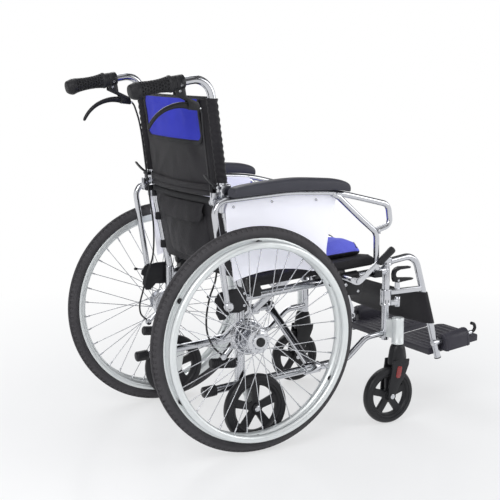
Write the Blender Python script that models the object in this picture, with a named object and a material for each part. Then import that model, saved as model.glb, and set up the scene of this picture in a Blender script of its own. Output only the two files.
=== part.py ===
"""Folding transit wheelchair: two aluminium side frames on a cross brace, each piece as its own solid.

Frame while modelling: X forward from the rear axle, Y to the occupant's left, Z up from the floor.
The left half is modelled and the right half is its mirror image. At the end one empty carries every
piece, so that the middle of the chair's length stands over the origin.
"""

import math

import bmesh
import bpy
from mathutils import Matrix, Vector

# Fits
SEAT_GAP = 0.0003  # between faces that rest on each other
RUN_GAP = 0.0005  # between a pin and its bore, or a sleeve and its rail

# Drive wheel
WHEEL_RADIUS = 0.2875
TYRE_SECTION = 0.0165  # radius of the tyre's round section
WHEEL_Y = 0.273
RIM_DEPTH = 0.019
RIM_HALF_WIDTH = 0.0125
RIM_BED = 0.0135  # depth of the tyre's seat below the section's centre
SPOKE_COUNT = 36
SPOKE_RADIUS = 0.0012
SPOKE_LEAN = math.radians(50)  # how far round the rim a spoke ends from its flange hole
HUB_RADIUS = 0.016
HUB_FLANGE_RADIUS = 0.031
HUB_FLANGE_HALF_GAP = 0.017
HUB_INNER_Y = 0.2530
HUB_OUTER_Y = 0.300
AXLE_RADIUS = 0.006
AXLE_CAP_RADIUS = 0.0108
HAND_RIM_RADIUS = WHEEL_RADIUS - 0.0425
HAND_RIM_TUBE = 0.0095
HAND_RIM_OFFSET = 0.034
HAND_RIM_FEET = 6

# Side frame
FRAME_Y = 0.206
RAIL_PITCH = math.radians(4)  # the rails climb towards the front
RAIL_RADIUS = 0.011
UPPER_RAIL_Z = 0.384  # heights of the rails above the axle
LOWER_RAIL_Z = 0.1585
SEAT_RAIL_Z = 0.4185
LOWER_RAIL_REAR_X = -0.105
LOWER_RAIL_FRONT_X = 0.283
REAR_UPRIGHT_X = -0.008
REAR_UPRIGHT_RADIUS = 0.0127
REAR_UPRIGHT_TOP = 0.403
FRONT_UPRIGHT_X = 0.445
FRONT_UPRIGHT_RADIUS = 0.010
FRONT_UPRIGHT_BOTTOM = 0.222
FRONT_UPRIGHT_TOP = 0.455
STAY_RADIUS = 0.0085
AXLE_BOSS_RADIUS = 0.020
TIP_TUBE_RADIUS = 0.0080
TIP_TUBE_REAR = (-0.088, 0.2230)
TIP_TUBE_FRONT_Z = 0.2150
SLEEVE_RADIUS = 0.0130
CAP_RADIUS = 0.0145
CAP_LENGTH = 0.036
SADDLE_X = (0.062, 0.268)
SADDLE_LENGTH = 0.024
SADDLE_WALL = 0.004

# Cross brace
BRACE_RADIUS = 0.0105
BRACE_RIGHT_X = 0.208  # foot on the right lower rail, seat rail on the left
BRACE_LEFT_X = 0.160
SEAT_RAIL_RADIUS = 0.0105
SEAT_RAIL_REAR_X = 0.014
SEAT_RAIL_FRONT_X = 0.398
FOOT_SLEEVE_WALL = 0.0035
FOOT_SLEEVE_LENGTH = 0.046
PIVOT_RADIUS = 0.006
PIVOT_BOSS_RADIUS = 0.0145
PIVOT_HEAD = 0.007

# Casters and transit wheels
CASTER_RADIUS = 0.0775
CASTER_HALF_WIDTH = 0.013
CASTER_Y = 0.244
CASTER_STEM_X = 0.460
CASTER_TRAIL = 0.029
HOUSING_RADIUS = 0.0165
HOUSING_BOTTOM = 0.2165
HOUSING_TOP = 0.290
STEM_RADIUS = 0.009
FORK_BLADE = 0.0055
FORK_SIDE_GAP = 0.0025
TRANSIT_RADIUS = 0.089
TRANSIT_HALF_WIDTH = 0.013
TRANSIT_X = 0.018
TRANSIT_Z = TRANSIT_RADIUS + 0.013
TRANSIT_Y = 0.2397
SMALL_AXLE_RADIUS = 0.0045
WHEEL_WINDOWS = 5

# Band brake beside the drive wheel
BRAKE_RADIUS = 0.046
BRAKE_INNER_Y = 0.2192
BRAKE_OUTER_Y = 0.2412
BRAKE_ARM_END = (-0.066, 0.2420)
CABLE_RADIUS = 0.0025

# Backrest
BACK_POST_RADIUS = 0.0105
HINGE_BLOCK_HALF = 0.013
HINGE_PLANE_Z = 0.640
HINGE_POST_X = -0.0525
HINGE_BLOCK_FRONT = 0.0145
HINGE_BLOCK_REAR = 0.0140
HINGE_BLOCK_LOWER = 0.036
HINGE_BLOCK_UPPER = 0.035
HINGE_PIN_BACK = 0.026  # behind the post's axis
HINGE_PIN_DOWN = 0.010  # below the plane where the blocks meet
HINGE_LUG_RADIUS = 0.0094
HINGE_PIN_RADIUS = 0.004
TONGUE_HALF = 0.0068
BACK_LEAN = 0.131  # metres back for each metre up
HANDLE_CORNER_Z = 0.9385
HANDLE_BEND = 0.045
HANDLE_END = (-0.298, HANDLE_CORNER_Z - 0.0320)
GRIP_LENGTH = 0.118
GRIP_WALL = 0.006
SLEEVE_WALL = 0.0030
BACK_TOP_Z = HANDLE_CORNER_Z - 0.0525
BACK_BOTTOM_Z = 0.446
BACK_HALF_WIDTH = FRAME_Y - 0.0133
BACK_THICKNESS = 0.018
BACK_SAG = 0.014

# Attendant brake lever
CLAMP_RADIUS = 0.0180
CLAMP_LENGTH = 0.024
LEVER_PIVOT = (-0.141, HANDLE_CORNER_Z - 0.0685)
LEVER_WIDTH = 0.012
LEVER_PIN_RADIUS = 0.003
CABLE_STOP_FRONT = 0.0200  # ahead of the lever's pin

# Armrest
ARM_Y = 0.2350
ARM_TUBE_RADIUS = 0.0080
ARM_PIVOT = (-0.058, 0.372)
ARM_REAR_TOP = (-0.0985, 0.6360)
ARM_PEAK = (0.120, 0.6480)
ARM_BREAK = (0.262, 0.6400)
ARM_NOSE_TOP = (0.4260, 0.5990)
ARM_NOSE_FRONT = (0.4340, 0.5440)
ARM_LEG_KNEE = (0.3900, 0.5250)
ARM_LEG_X = 0.392
ARM_LEG_BOTTOM = 0.4115
ARM_EYE_RADIUS = 0.012
ARM_PIN_RADIUS = 0.005
PAD_LENGTH = 0.340
PAD_REAR_X = -0.054
PAD_HALF_WIDTH = 0.0225
PAD_THICKNESS = 0.027
PAD_Y = 0.2480
PANEL_THICKNESS = 0.0025
PANEL_REAR_X = -0.035
PANEL_FRONT_X = 0.238
PANEL_BOTTOM_Z = 0.432
PANEL_ARCH = 0.020

# Seat
SLING_THICKNESS = 0.005
SLING_SAG = 0.014
CUSHION_HALF_WIDTH = FRAME_Y - 0.0120
CUSHION_REAR_X = 0.018
CUSHION_FRONT_X = 0.386
CUSHION_HEIGHT = 0.050

# Parking brake
PARK_PIVOT = (0.325, 0.402)
PARK_PIN_RADIUS = 0.004
PARK_LEVER_Y = 0.2475
PARK_LEVER_HALF = 0.0018
PARK_SHOE_GAP = 0.014  # from the tyre, with the brake off
PARK_SHOE_RADIUS = 0.006
PARK_SHOE_ANGLE = math.radians(25)
PARK_GRIP_END = (0.4330, 0.4820)
PARK_GRIP_START = (0.3860, 0.4450)
PARK_GRIP_RADIUS = 0.0085
PARK_GRIP_Y = 0.2535

# Footrest
HANGER_RADIUS = 0.0095
HANGER_TOP_Z = 0.4485
HANGER_SHOULDER = (0.540, 0.4500)
HANGER_BEND = 0.040
HANGER_END = (0.6290, 0.1480)
HANGER_LINK_Z = 0.353
HANGER_COLLAR_WALL = 0.0045
HANGER_UPPER_COLLAR = (0.4290, 0.4500)
HANGER_LOWER_COLLAR = (0.3180, 0.3620)
PLATE_PITCH = math.radians(7)
PLATE_PIVOT_X = 0.616
PLATE_PIVOT_Z = 0.194
PLATE_ROD_RADIUS = 0.0055
PLATE_ROD_LENGTH = 0.132
PLATE_BOSS_FRONT = 0.021  # where the plate's block begins, ahead of the hanger's tube
PLATE_BLOCK_LENGTH = 0.092
PLATE_BLOCK_RADIUS = 0.0195
PLATE_BLOCK_DROP = 0.034
PLATE_REAR = -0.014  # along the pitched pivot from the hanger's tube
PLATE_LENGTH = 0.178
PLATE_INNER_Y = 0.025
PLATE_THICKNESS = 0.008
PLATE_SKIRT = 0.012
PLATE_RIBS = 9
PLATE_RIB_HEIGHT = 0.0018
PLATE_GAP = 0.0055
LATCH_PIVOT = (0.4830, 0.3835)
LATCH_HALF = 0.005
STRAP_TOP = 0.342
STRAP_BOTTOM = 0.252
STRAP_THICKNESS = 0.004

# Smoothness
RING_STEPS = 36
SMALL_RING_STEPS = 18
TUBE_SIDES = 10
THIN_TUBE_SIDES = 8
BEND_STEP = math.radians(24)

SIDES = (("right", -1), ("left", 1))
ARM_TUBE_FLAT = ARM_TUBE_RADIUS * math.cos(math.pi / THIN_TUBE_SIDES)  # to the middle of a facet
TURN_BORE_SIDES = 20  # a bore that turns on a facetted tube is rounder than the tube
TURN_BORE = 1 / math.cos(math.pi / TURN_BORE_SIDES)
RAIL_DIRECTION = Vector((math.cos(RAIL_PITCH), 0, math.sin(RAIL_PITCH)))
FLANGE_YS = (WHEEL_Y - HUB_FLANGE_HALF_GAP, WHEEL_Y + HUB_FLANGE_HALF_GAP)
TYRE_CENTRE = WHEEL_RADIUS - TYRE_SECTION
RIM_OUTER = TYRE_CENTRE - RIM_BED - SEAT_GAP


# Shapes: each helper returns a new mesh


def mesh_from(bm, name="shape"):
    """Closes a bmesh into a mesh whose faces point outwards."""
    bmesh.ops.remove_doubles(bm, verts=bm.verts, dist=1e-7)
    bmesh.ops.recalc_face_normals(bm, faces=bm.faces)
    mesh = bpy.data.meshes.new(name)
    bm.to_mesh(mesh)
    bm.free()
    return mesh


def skin(rings, closed_loop=False, capped=True):
    """Joins rings of points, each of the same count, into one solid."""
    bm = bmesh.new()
    rows = [[bm.verts.new(point) for point in ring] for ring in rings]
    count = len(rows[0])
    pairs = list(zip(rows, rows[1:]))
    if closed_loop:
        pairs.append((rows[-1], rows[0]))
    for low, high in pairs:
        for i in range(count):
            j = (i + 1) % count
            bm.faces.new((low[i], low[j], high[j], high[i]))
    if capped and not closed_loop:
        bm.faces.new(rows[0])
        bm.faces.new(rows[-1])
    return mesh_from(bm)


def tube(points, radius, sides=TUBE_SIDES, radii=None):
    """Sweeps a circle along points; the ring is carried from point to point without twist."""
    path = [Vector(p) for p in points]
    radii = radii or [radius] * len(path)
    ways = [(b - a).normalized() for a, b in zip(path, path[1:])]
    side = ways[0].cross(Vector((0, 1, 0)))
    if side.length < 0.1:
        side = ways[0].cross(Vector((0, 0, 1)))
    side.normalize()
    rings = []
    for i, point in enumerate(path):
        before = ways[max(i - 1, 0)]
        after = ways[min(i, len(ways) - 1)]
        along = (before + after).normalized()
        stretch = 1 / max(along.dot(after), 0.3)
        side = (side - side.dot(along) * along).normalized()
        other = along.cross(side)
        fold = (after - before)
        fold = fold.normalized() if fold.length > 1e-6 else None
        ring = []
        for k in range(sides):
            turn = 2 * math.pi * (k + 0.5) / sides
            spoke = radii[i] * (math.cos(turn) * side + math.sin(turn) * other)
            if fold:
                spoke += (stretch - 1) * spoke.dot(fold) * fold
            ring.append(point + spoke)
        rings.append(ring)
    return skin(rings)


def bent(points, radius):
    """Rounds the inner corners of a path with arcs of one bend radius, or of one radius each."""
    path = [Vector(p) for p in points]
    radii = radius if isinstance(radius, (list, tuple)) else [radius] * (len(path) - 2)
    out = [path[0]]
    for i in range(1, len(path) - 1):
        back = (path[i - 1] - path[i]).normalized()
        ahead = (path[i + 1] - path[i]).normalized()
        half = back.angle(ahead) / 2
        reach = radii[i - 1] / math.tan(half)
        centre = path[i] + (back + ahead).normalized() * radii[i - 1] / math.sin(half)
        start = path[i] + back * reach - centre
        end = path[i] + ahead * reach - centre
        sweep = start.angle(end)
        steps = max(1, math.ceil(sweep / BEND_STEP))
        for k in range(steps + 1):
            share = k / steps
            out.append(centre + (math.sin((1 - share) * sweep) * start + math.sin(share * sweep) * end)
                       / math.sin(sweep))
    out.append(path[-1])
    return out


def side_path(points, y):
    """Puts points given as (x, z) in the plane of one y."""
    return [(p[0], y, p[1]) for p in points]


def turned(profile, centre, axis="Y", steps=RING_STEPS, ring=True, start=0.0):
    """Turns a profile of (radius, distance along the axis) about an axis through centre."""
    centre = Vector(centre)
    rows = []
    for k in range(steps):
        turn = 2 * math.pi * k / steps + math.radians(start)
        row = []
        for radius, along in profile:
            if axis == "Y":
                row.append(centre + Vector((radius * math.cos(turn), along, radius * math.sin(turn))))
            elif axis == "Z":
                row.append(centre + Vector((radius * math.cos(turn), radius * math.sin(turn), along)))
            else:
                row.append(centre + Vector((along, radius * math.cos(turn), radius * math.sin(turn))))
        rows.append(row)
    bm = bmesh.new()
    verts = [[bm.verts.new(point) for point in row] for row in rows]
    count = len(profile)
    for k in range(steps):
        nxt = (k + 1) % steps
        for i in range(count if ring else count - 1):
            j = (i + 1) % count
            bm.faces.new((verts[k][i], verts[k][j], verts[nxt][j], verts[nxt][i]))
    if not ring:
        bm.faces.new([row[0] for row in verts])
        bm.faces.new([row[-1] for row in verts])
    return mesh_from(bm)


def rod(start, end, radius, sides=TUBE_SIDES):
    return tube([start, end], radius, sides)


def cross_rod(x, z, y_low, y_high, radius, sides=TUBE_SIDES):
    """A rod that lies across the chair."""
    return rod((x, y_low, z), (x, y_high, z), radius, sides)


def box(low, high):
    x0, y0, z0 = low
    x1, y1, z1 = high
    return skin([[(x0, y0, z), (x1, y0, z), (x1, y1, z), (x0, y1, z)] for z in (z0, z1)])


def plate(outline, y_low, y_high):
    """Extrudes an outline given as (x, z) across the chair."""
    return skin([side_path(outline, y) for y in (y_low, y_high)])


def arc(centre, radius, start, end, steps):
    """Points of an arc in a plane, with angles in degrees."""
    out = []
    for k in range(steps + 1):
        turn = math.radians(start + (end - start) * k / steps)
        out.append((centre[0] + radius * math.cos(turn), centre[1] + radius * math.sin(turn)))
    return out


def combined(operation, base, others):
    """Runs Boolean modifiers on a mesh and returns the result as a mesh."""
    body = bpy.data.objects.new("body", base)
    bpy.context.scene.collection.objects.link(body)
    tools = []
    for other in others:
        tool = bpy.data.objects.new("tool", other)
        bpy.context.scene.collection.objects.link(tool)
        tools.append(tool)
        step = body.modifiers.new("step", "BOOLEAN")
        step.operation = operation
        step.object = tool
    seen = body.evaluated_get(bpy.context.evaluated_depsgraph_get())
    result = bpy.data.meshes.new_from_object(seen)
    for old in [body] + tools:
        bpy.data.objects.remove(old)
    bm = bmesh.new()
    bm.from_mesh(result)
    bmesh.ops.dissolve_degenerate(bm, edges=bm.edges, dist=1e-6)
    return mesh_from(bm)


def union(base, *others):
    return combined("UNION", base, others)


def cut(base, *others):
    return combined("DIFFERENCE", base, others)


def together(*meshes):
    """Puts solids that don't touch into one mesh, to be joined or cut in one step."""
    bm = bmesh.new()
    for mesh in meshes:
        bm.from_mesh(mesh)
    out = bpy.data.meshes.new("group")
    bm.to_mesh(out)
    bm.free()
    return out


def moved(mesh, matrix):
    mesh.transform(matrix)
    return mesh


def pitched(mesh, angle, x, z):
    """Tips a solid that was made level, nose up, about the line across the chair at (x, z)."""
    pivot = Matrix.Translation((x, 0, z))
    return moved(mesh, pivot @ Matrix.Rotation(-angle, 4, "Y") @ pivot.inverted())


# Materials and placing


def finish(name, colour, roughness, metallic=0.0):
    material = bpy.data.materials.new(name)
    material.use_nodes = True
    shader = material.node_tree.nodes["Principled BSDF"]
    shader.inputs["Base Color"].default_value = (*colour, 1)
    shader.inputs["Roughness"].default_value = roughness
    shader.inputs["Metallic"].default_value = metallic
    return material


def make_finishes():
    return {
        "frame": finish("polished_aluminium", (0.78, 0.79, 0.80), 0.28, 1.0),
        "rim": finish("satin_aluminium", (0.82, 0.82, 0.83), 0.38, 1.0),
        "steel": finish("plated_steel", (0.66, 0.66, 0.67), 0.30, 1.0),
        "tyre": finish("grey_tyre", (0.060, 0.058, 0.062), 0.75),
        "black": finish("black_plastic", (0.030, 0.030, 0.033), 0.50),
        "grip": finish("grip_rubber", (0.040, 0.038, 0.042), 0.70),
        "pad": finish("pad_foam", (0.050, 0.048, 0.055), 0.62),
        "panel": finish("pale_panel", (0.86, 0.87, 0.90), 0.35),
        "fabric": finish("black_fabric", (0.026, 0.024, 0.028), 0.88),
        "blue": finish("blue_fabric", (0.055, 0.062, 0.520), 0.85),
    }


def place(name, mesh, material, side=1, origin=(0, 0, 0), smooth=True):
    """Adds a named object whose origin lies on its own joint, mirrored for the right side."""
    origin = Vector(origin)
    if side < 0:
        mesh.transform(Matrix.Diagonal((1, -1, 1, 1)))
        mesh.flip_normals()
        origin.y = -origin.y
    mesh.transform(Matrix.Translation(-origin))
    mesh.name = name
    if smooth:
        mesh.shade_smooth()
        mesh.set_sharp_from_angle(angle=math.radians(35))
    mesh.materials.clear()
    mesh.materials.append(material)
    piece = bpy.data.objects.new(name, mesh)
    piece.location = origin
    bpy.context.scene.collection.objects.link(piece)
    return piece


# Places that several pieces share


def rail_point(x, height, y=FRAME_Y):
    """A point on a rail: height is the rail's height above the axle."""
    return Vector((x, y, height + math.tan(RAIL_PITCH) * x))


def post_x(z):
    """The upper back post leans back as it climbs."""
    return HINGE_POST_X - BACK_LEAN * (z - HINGE_PLANE_Z)


def hinge_pin():
    return (HINGE_POST_X - HINGE_PIN_BACK, HINGE_PLANE_Z - HINGE_PIN_DOWN)


def handle_direction():
    corner = Vector((post_x(HANDLE_CORNER_Z), 0, HANDLE_CORNER_Z))
    return (Vector((HANDLE_END[0], 0, HANDLE_END[1])) - corner).normalized()


def handle_point(back_from_end):
    """A point of the push handle, measured forwards from its rear end."""
    return Vector((HANDLE_END[0], FRAME_Y, HANDLE_END[1])) - handle_direction() * back_from_end


def hanger_x(z):
    """The hanger's front tube runs down and forward from its shoulder."""
    share = (HANGER_SHOULDER[1] - z) / (HANGER_SHOULDER[1] - HANGER_END[1])
    return HANGER_SHOULDER[0] + share * (HANGER_END[0] - HANGER_SHOULDER[0])


def shoe_centre():
    reach = WHEEL_RADIUS + PARK_SHOE_GAP + PARK_SHOE_RADIUS
    return (reach * math.cos(PARK_SHOE_ANGLE), WHEEL_RADIUS + reach * math.sin(PARK_SHOE_ANGLE))


# Wheels


def drive_tyre():
    """A round section, flat where it sits on the rim."""
    facets = 5
    open_angle = math.degrees(math.acos(RIM_BED / TYRE_SECTION))
    corner = TYRE_SECTION / math.cos(math.radians((180 - open_angle) / facets))
    section = arc((TYRE_CENTRE, 0), corner, -180 + open_angle, 180 - open_angle, facets)
    bed = TYRE_CENTRE - RIM_BED
    return turned([(max(r, bed), y) for r, y in section], (0, WHEEL_Y, WHEEL_RADIUS))


def spokes():
    """Laced spokes: they leave the two flanges by turns and lean round the rim by turns."""
    made = []
    rim_reach = RIM_OUTER - RIM_DEPTH + 0.004
    for k in range(SPOKE_COUNT):
        flange = FLANGE_YS[k % 2]
        lean = 1 if k % 4 < 2 else -1
        turn = 2 * math.pi * (k + 0.5) / SPOKE_COUNT
        foot = turn + lean * SPOKE_LEAN
        reach = HUB_FLANGE_RADIUS - 0.004
        y = flange + lean * 1.6 * SPOKE_RADIUS
        start = (reach * math.cos(foot), y, WHEEL_RADIUS + reach * math.sin(foot))
        end = (rim_reach * math.cos(turn), WHEEL_Y + (flange - WHEEL_Y) * 0.2,
               WHEEL_RADIUS + rim_reach * math.sin(turn))
        made.append(tube([start, end], SPOKE_RADIUS, 3))
    return together(*made)


def drive_wheel():
    """Rim, laced spokes and hub as one built wheel, with a bore for its axle."""
    inner = RIM_OUTER - RIM_DEPTH
    rim = turned([(RIM_OUTER, -RIM_HALF_WIDTH), (RIM_OUTER, RIM_HALF_WIDTH),
                  (inner + 0.006, RIM_HALF_WIDTH - 0.001), (inner, 0.006), (inner, -0.006),
                  (inner + 0.006, 0.001 - RIM_HALF_WIDTH)], (0, WHEEL_Y, WHEEL_RADIUS))
    bore = AXLE_RADIUS + RUN_GAP
    half = 0.0017
    low, high = FLANGE_YS
    profile = [(bore, HUB_INNER_Y), (HUB_RADIUS, HUB_INNER_Y), (HUB_FLANGE_RADIUS, low - half),
               (HUB_FLANGE_RADIUS, low + half), (HUB_RADIUS, low + 6 * half), (HUB_RADIUS, high - 6 * half),
               (HUB_FLANGE_RADIUS, high - half), (HUB_FLANGE_RADIUS, high + half),
               (HUB_RADIUS + 0.0025, HUB_OUTER_Y), (bore, HUB_OUTER_Y)]
    hub = turned(profile, (0, 0, WHEEL_RADIUS), steps=SPOKE_COUNT // 2, start=-5)
    return union(together(rim, hub), spokes())


def hand_rim():
    """The push ring, on short feet that meet the side of the wheel's rim."""
    ring_y = WHEEL_Y + HAND_RIM_OFFSET
    ring = turned(arc((HAND_RIM_RADIUS, 0), HAND_RIM_TUBE, 0, 300, 5), (0, ring_y, WHEEL_RADIUS))
    feet = []
    for k in range(HAND_RIM_FEET):
        turn = 2 * math.pi * (k + 0.5) / HAND_RIM_FEET
        reach = HAND_RIM_RADIUS + 0.003
        x, z = reach * math.cos(turn), WHEEL_RADIUS + reach * math.sin(turn)
        feet.append(cross_rod(x, z, WHEEL_Y + RIM_HALF_WIDTH + SEAT_GAP, ring_y - 0.002, 0.0045, 6))
    return union(ring, together(*feet))


def axle():
    """Axle pin with its nut behind the frame's boss and its cap outside the hub."""
    boss_inner = FRAME_Y - REAR_UPRIGHT_RADIUS
    nut_face = boss_inner - SEAT_GAP
    cap_face = HUB_OUTER_Y + RUN_GAP
    spacer = (BRAKE_OUTER_Y + SEAT_GAP, HUB_INNER_Y - RUN_GAP)
    pin = turned([(0.0095, nut_face - 0.008), (0.0095, nut_face), (AXLE_RADIUS, nut_face),
                  (AXLE_RADIUS, spacer[0]), (0.0110, spacer[0]), (0.0110, spacer[1]), (AXLE_RADIUS, spacer[1]),
                  (AXLE_RADIUS, cap_face), (AXLE_CAP_RADIUS, cap_face), (AXLE_CAP_RADIUS, cap_face + 0.003),
                  (AXLE_CAP_RADIUS - 0.003, cap_face + 0.005)], (0, 0, WHEEL_RADIUS), steps=12, ring=False)
    return pin


def cast_wheel(radius, half_width, centre):
    """A moulded wheel: rounded tread, thin web with windows between five spokes, and a hub."""
    bore = SMALL_AXLE_RADIUS + RUN_GAP
    crown = radius - 0.006
    web = 0.0045
    rim_inner = radius * 0.70
    hub = 0.0125
    profile = [(bore, -half_width), (hub, -half_width), (hub + 0.002, -web), (rim_inner, -web),
               (rim_inner + 0.002, 0.002 - half_width), (crown, -half_width), (radius, -half_width * 0.4),
               (radius, half_width * 0.4), (crown, half_width),
               (rim_inner + 0.002, half_width - 0.002), (rim_inner, web), (hub + 0.002, web),
               (hub, half_width), (bore, half_width)]
    wheel = turned(profile, centre, steps=SMALL_RING_STEPS, start=90)
    windows = []
    for k in range(WHEEL_WINDOWS):
        middle = 360 * (k + 0.5) / WHEEL_WINDOWS
        outline = arc((centre[0], centre[2]), rim_inner - 0.005, middle - 27, middle + 27, 3)
        tip = arc((centre[0], centre[2]), hub + 0.008, middle, middle, 1)[:1]
        windows.append(plate(outline + tip, centre[1] - 0.02, centre[1] + 0.02))
    return cut(wheel, together(*windows))


def caster_fork():
    """Moulded fork: stem in the frame's housing, crown, and two blades to the wheel's axle."""
    stem = CASTER_STEM_X
    axle_x = CASTER_STEM_X - CASTER_TRAIL
    blade_in = CASTER_HALF_WIDTH + FORK_SIDE_GAP
    blade_out = blade_in + FORK_BLADE
    crown_low = 2 * CASTER_RADIUS + 0.010
    crown_high = HOUSING_BOTTOM - RUN_GAP
    crown = skin([
        [(stem + r * math.cos(a), CASTER_Y + w * math.sin(a), z)
         for a in [2 * math.pi * k / 10 for k in range(10)]]
        for z, r, w in ((crown_low - 0.004, 0.027, blade_out), (crown_low + 0.012, 0.027, blade_out),
                        (crown_high - 0.008, 0.022, 0.020), (crown_high, 0.017, 0.016))])
    post = turned([(STEM_RADIUS, crown_high - 0.01), (STEM_RADIUS, HOUSING_TOP - 0.010)],
                  (stem, CASTER_Y, 0), "Z", 10, ring=False)
    blades = []
    for low, high in ((-blade_out, -blade_in), (blade_in, blade_out)):
        outline = ([(stem + 0.027, crown_low + 0.012), (stem + 0.025, crown_low - 0.006)]
                   + arc((axle_x, CASTER_RADIUS), 0.012, 20, -200, 5)
                   + [(stem - 0.027, crown_low - 0.006), (stem - 0.025, crown_low + 0.012)])
        blades.append(plate(outline[::-1], CASTER_Y + low, CASTER_Y + high))
    pin = cross_rod(axle_x, CASTER_RADIUS, CASTER_Y - blade_out - 0.003, CASTER_Y + blade_out + 0.003,
                    SMALL_AXLE_RADIUS)
    return union(crown, post, together(*blades), pin)


# Side frame


def caster_housing():
    """Bearing housing for the fork's stem, open below, and its web to the front upright."""
    bore = STEM_RADIUS + RUN_GAP
    shell = turned([(bore, HOUSING_BOTTOM), (HOUSING_RADIUS, HOUSING_BOTTOM), (HOUSING_RADIUS, HOUSING_TOP - 0.002),
                    (HOUSING_RADIUS - 0.002, HOUSING_TOP), (0.002, HOUSING_TOP), (0.002, HOUSING_TOP - 0.006),
                    (bore, HOUSING_TOP - 0.006)], (CASTER_STEM_X, CASTER_Y, 0), "Z", 12)
    start = Vector((FRONT_UPRIGHT_X, FRAME_Y, 0))
    end = Vector((CASTER_STEM_X, CASTER_Y, 0))
    along = (end - start).normalized()
    across = Vector((-along.y, along.x, 0)) * 0.007
    tip = end - along * (bore + 0.002)
    low, high = FRONT_UPRIGHT_BOTTOM + 0.008, HOUSING_TOP - 0.008
    corners = [start - across, tip - across, tip + across, start + across]
    web = skin([[corner + Vector((0, 0, z)) for corner in corners] for z in (low, high)])
    return union(shell, web)


def saddle(x):
    """A cradle on the upper rail that the seat rail drops into."""
    half = SADDLE_LENGTH / 2
    reach = SEAT_RAIL_RADIUS + SADDLE_WALL
    block = box((x - half, FRAME_Y - reach, UPPER_RAIL_Z), (x + half, FRAME_Y + reach, SEAT_RAIL_Z - 0.001))
    return pitched(block, RAIL_PITCH, 0, 0)


def lower_hinge_block():
    """Lower half of the folding back's hinge: a block on the post, two ears and the pin."""
    pin_x, pin_z = hinge_pin()
    top = HINGE_PLANE_Z - SEAT_GAP / 2
    rear = HINGE_POST_X - HINGE_BLOCK_REAR
    block = box((rear, FRAME_Y - HINGE_BLOCK_HALF, top - HINGE_BLOCK_LOWER),
                (HINGE_POST_X + HINGE_BLOCK_FRONT, FRAME_Y + HINGE_BLOCK_HALF, top))
    outline = ([(rear + 0.004, pin_z - HINGE_LUG_RADIUS), (rear + 0.004, pin_z + HINGE_LUG_RADIUS)]
               + arc((pin_x, pin_z), HINGE_LUG_RADIUS, 90, 270, 5))
    inner = TONGUE_HALF + RUN_GAP
    ears = together(plate(outline, FRAME_Y - HINGE_BLOCK_HALF, FRAME_Y - inner),
                    plate(outline, FRAME_Y + inner, FRAME_Y + HINGE_BLOCK_HALF))
    pin = cross_rod(pin_x, pin_z, FRAME_Y - HINGE_BLOCK_HALF + 0.001, FRAME_Y + HINGE_BLOCK_HALF - 0.001,
                    HINGE_PIN_RADIUS)
    return block, ears, pin


def arm_receiver():
    """Open fork on the upper rail that the armrest's front leg stands in."""
    reach = ARM_TUBE_RADIUS + RUN_GAP
    wall = 0.003
    floor_low = ARM_LEG_BOTTOM - SEAT_GAP - 0.006
    outer = box((ARM_LEG_X - 0.012, FRAME_Y, floor_low), (ARM_LEG_X + 0.012, ARM_Y + reach + wall,
                                                         ARM_LEG_BOTTOM + 0.013))
    slot = box((ARM_LEG_X - 0.02, ARM_Y - reach, ARM_LEG_BOTTOM - SEAT_GAP),
               (ARM_LEG_X + 0.02, ARM_Y + reach, ARM_LEG_BOTTOM + 0.03))
    top = box((ARM_LEG_X - 0.02, FRAME_Y - 0.03, rail_point(ARM_LEG_X, UPPER_RAIL_Z).z + 0.004),
              (ARM_LEG_X + 0.02, ARM_Y - reach - wall, ARM_LEG_BOTTOM + 0.03))
    return cut(outer, slot, top)


def transit_bracket():
    """Plate from the lower rail down to the transit wheel, with the wheel's stub axle."""
    rail = rail_point(TRANSIT_X, LOWER_RAIL_Z).z
    outline = (arc((TRANSIT_X, TRANSIT_Z), 0.013, 180, 360, 5)
               + [(TRANSIT_X + 0.024, rail - 0.004), (TRANSIT_X + 0.024, rail + 0.006),
                  (TRANSIT_X - 0.030, rail + 0.004), (TRANSIT_X - 0.030, rail - 0.006)])
    plate_out = TRANSIT_Y - TRANSIT_HALF_WIDTH - 0.0035
    sheet = plate(outline[::-1], FRAME_Y + 0.004, plate_out)
    far = TRANSIT_Y + TRANSIT_HALF_WIDTH + RUN_GAP
    stub = turned([(SMALL_AXLE_RADIUS, FRAME_Y + 0.006), (SMALL_AXLE_RADIUS, far), (0.008, far),
                   (0.008, far + 0.002)], (TRANSIT_X, 0, TRANSIT_Z), steps=10, ring=False)
    spacer = turned([(0.008, FRAME_Y + 0.006), (0.008, TRANSIT_Y - TRANSIT_HALF_WIDTH - RUN_GAP)],
                    (TRANSIT_X, 0, TRANSIT_Z), steps=10, ring=False)
    return sheet, spacer, stub


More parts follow.
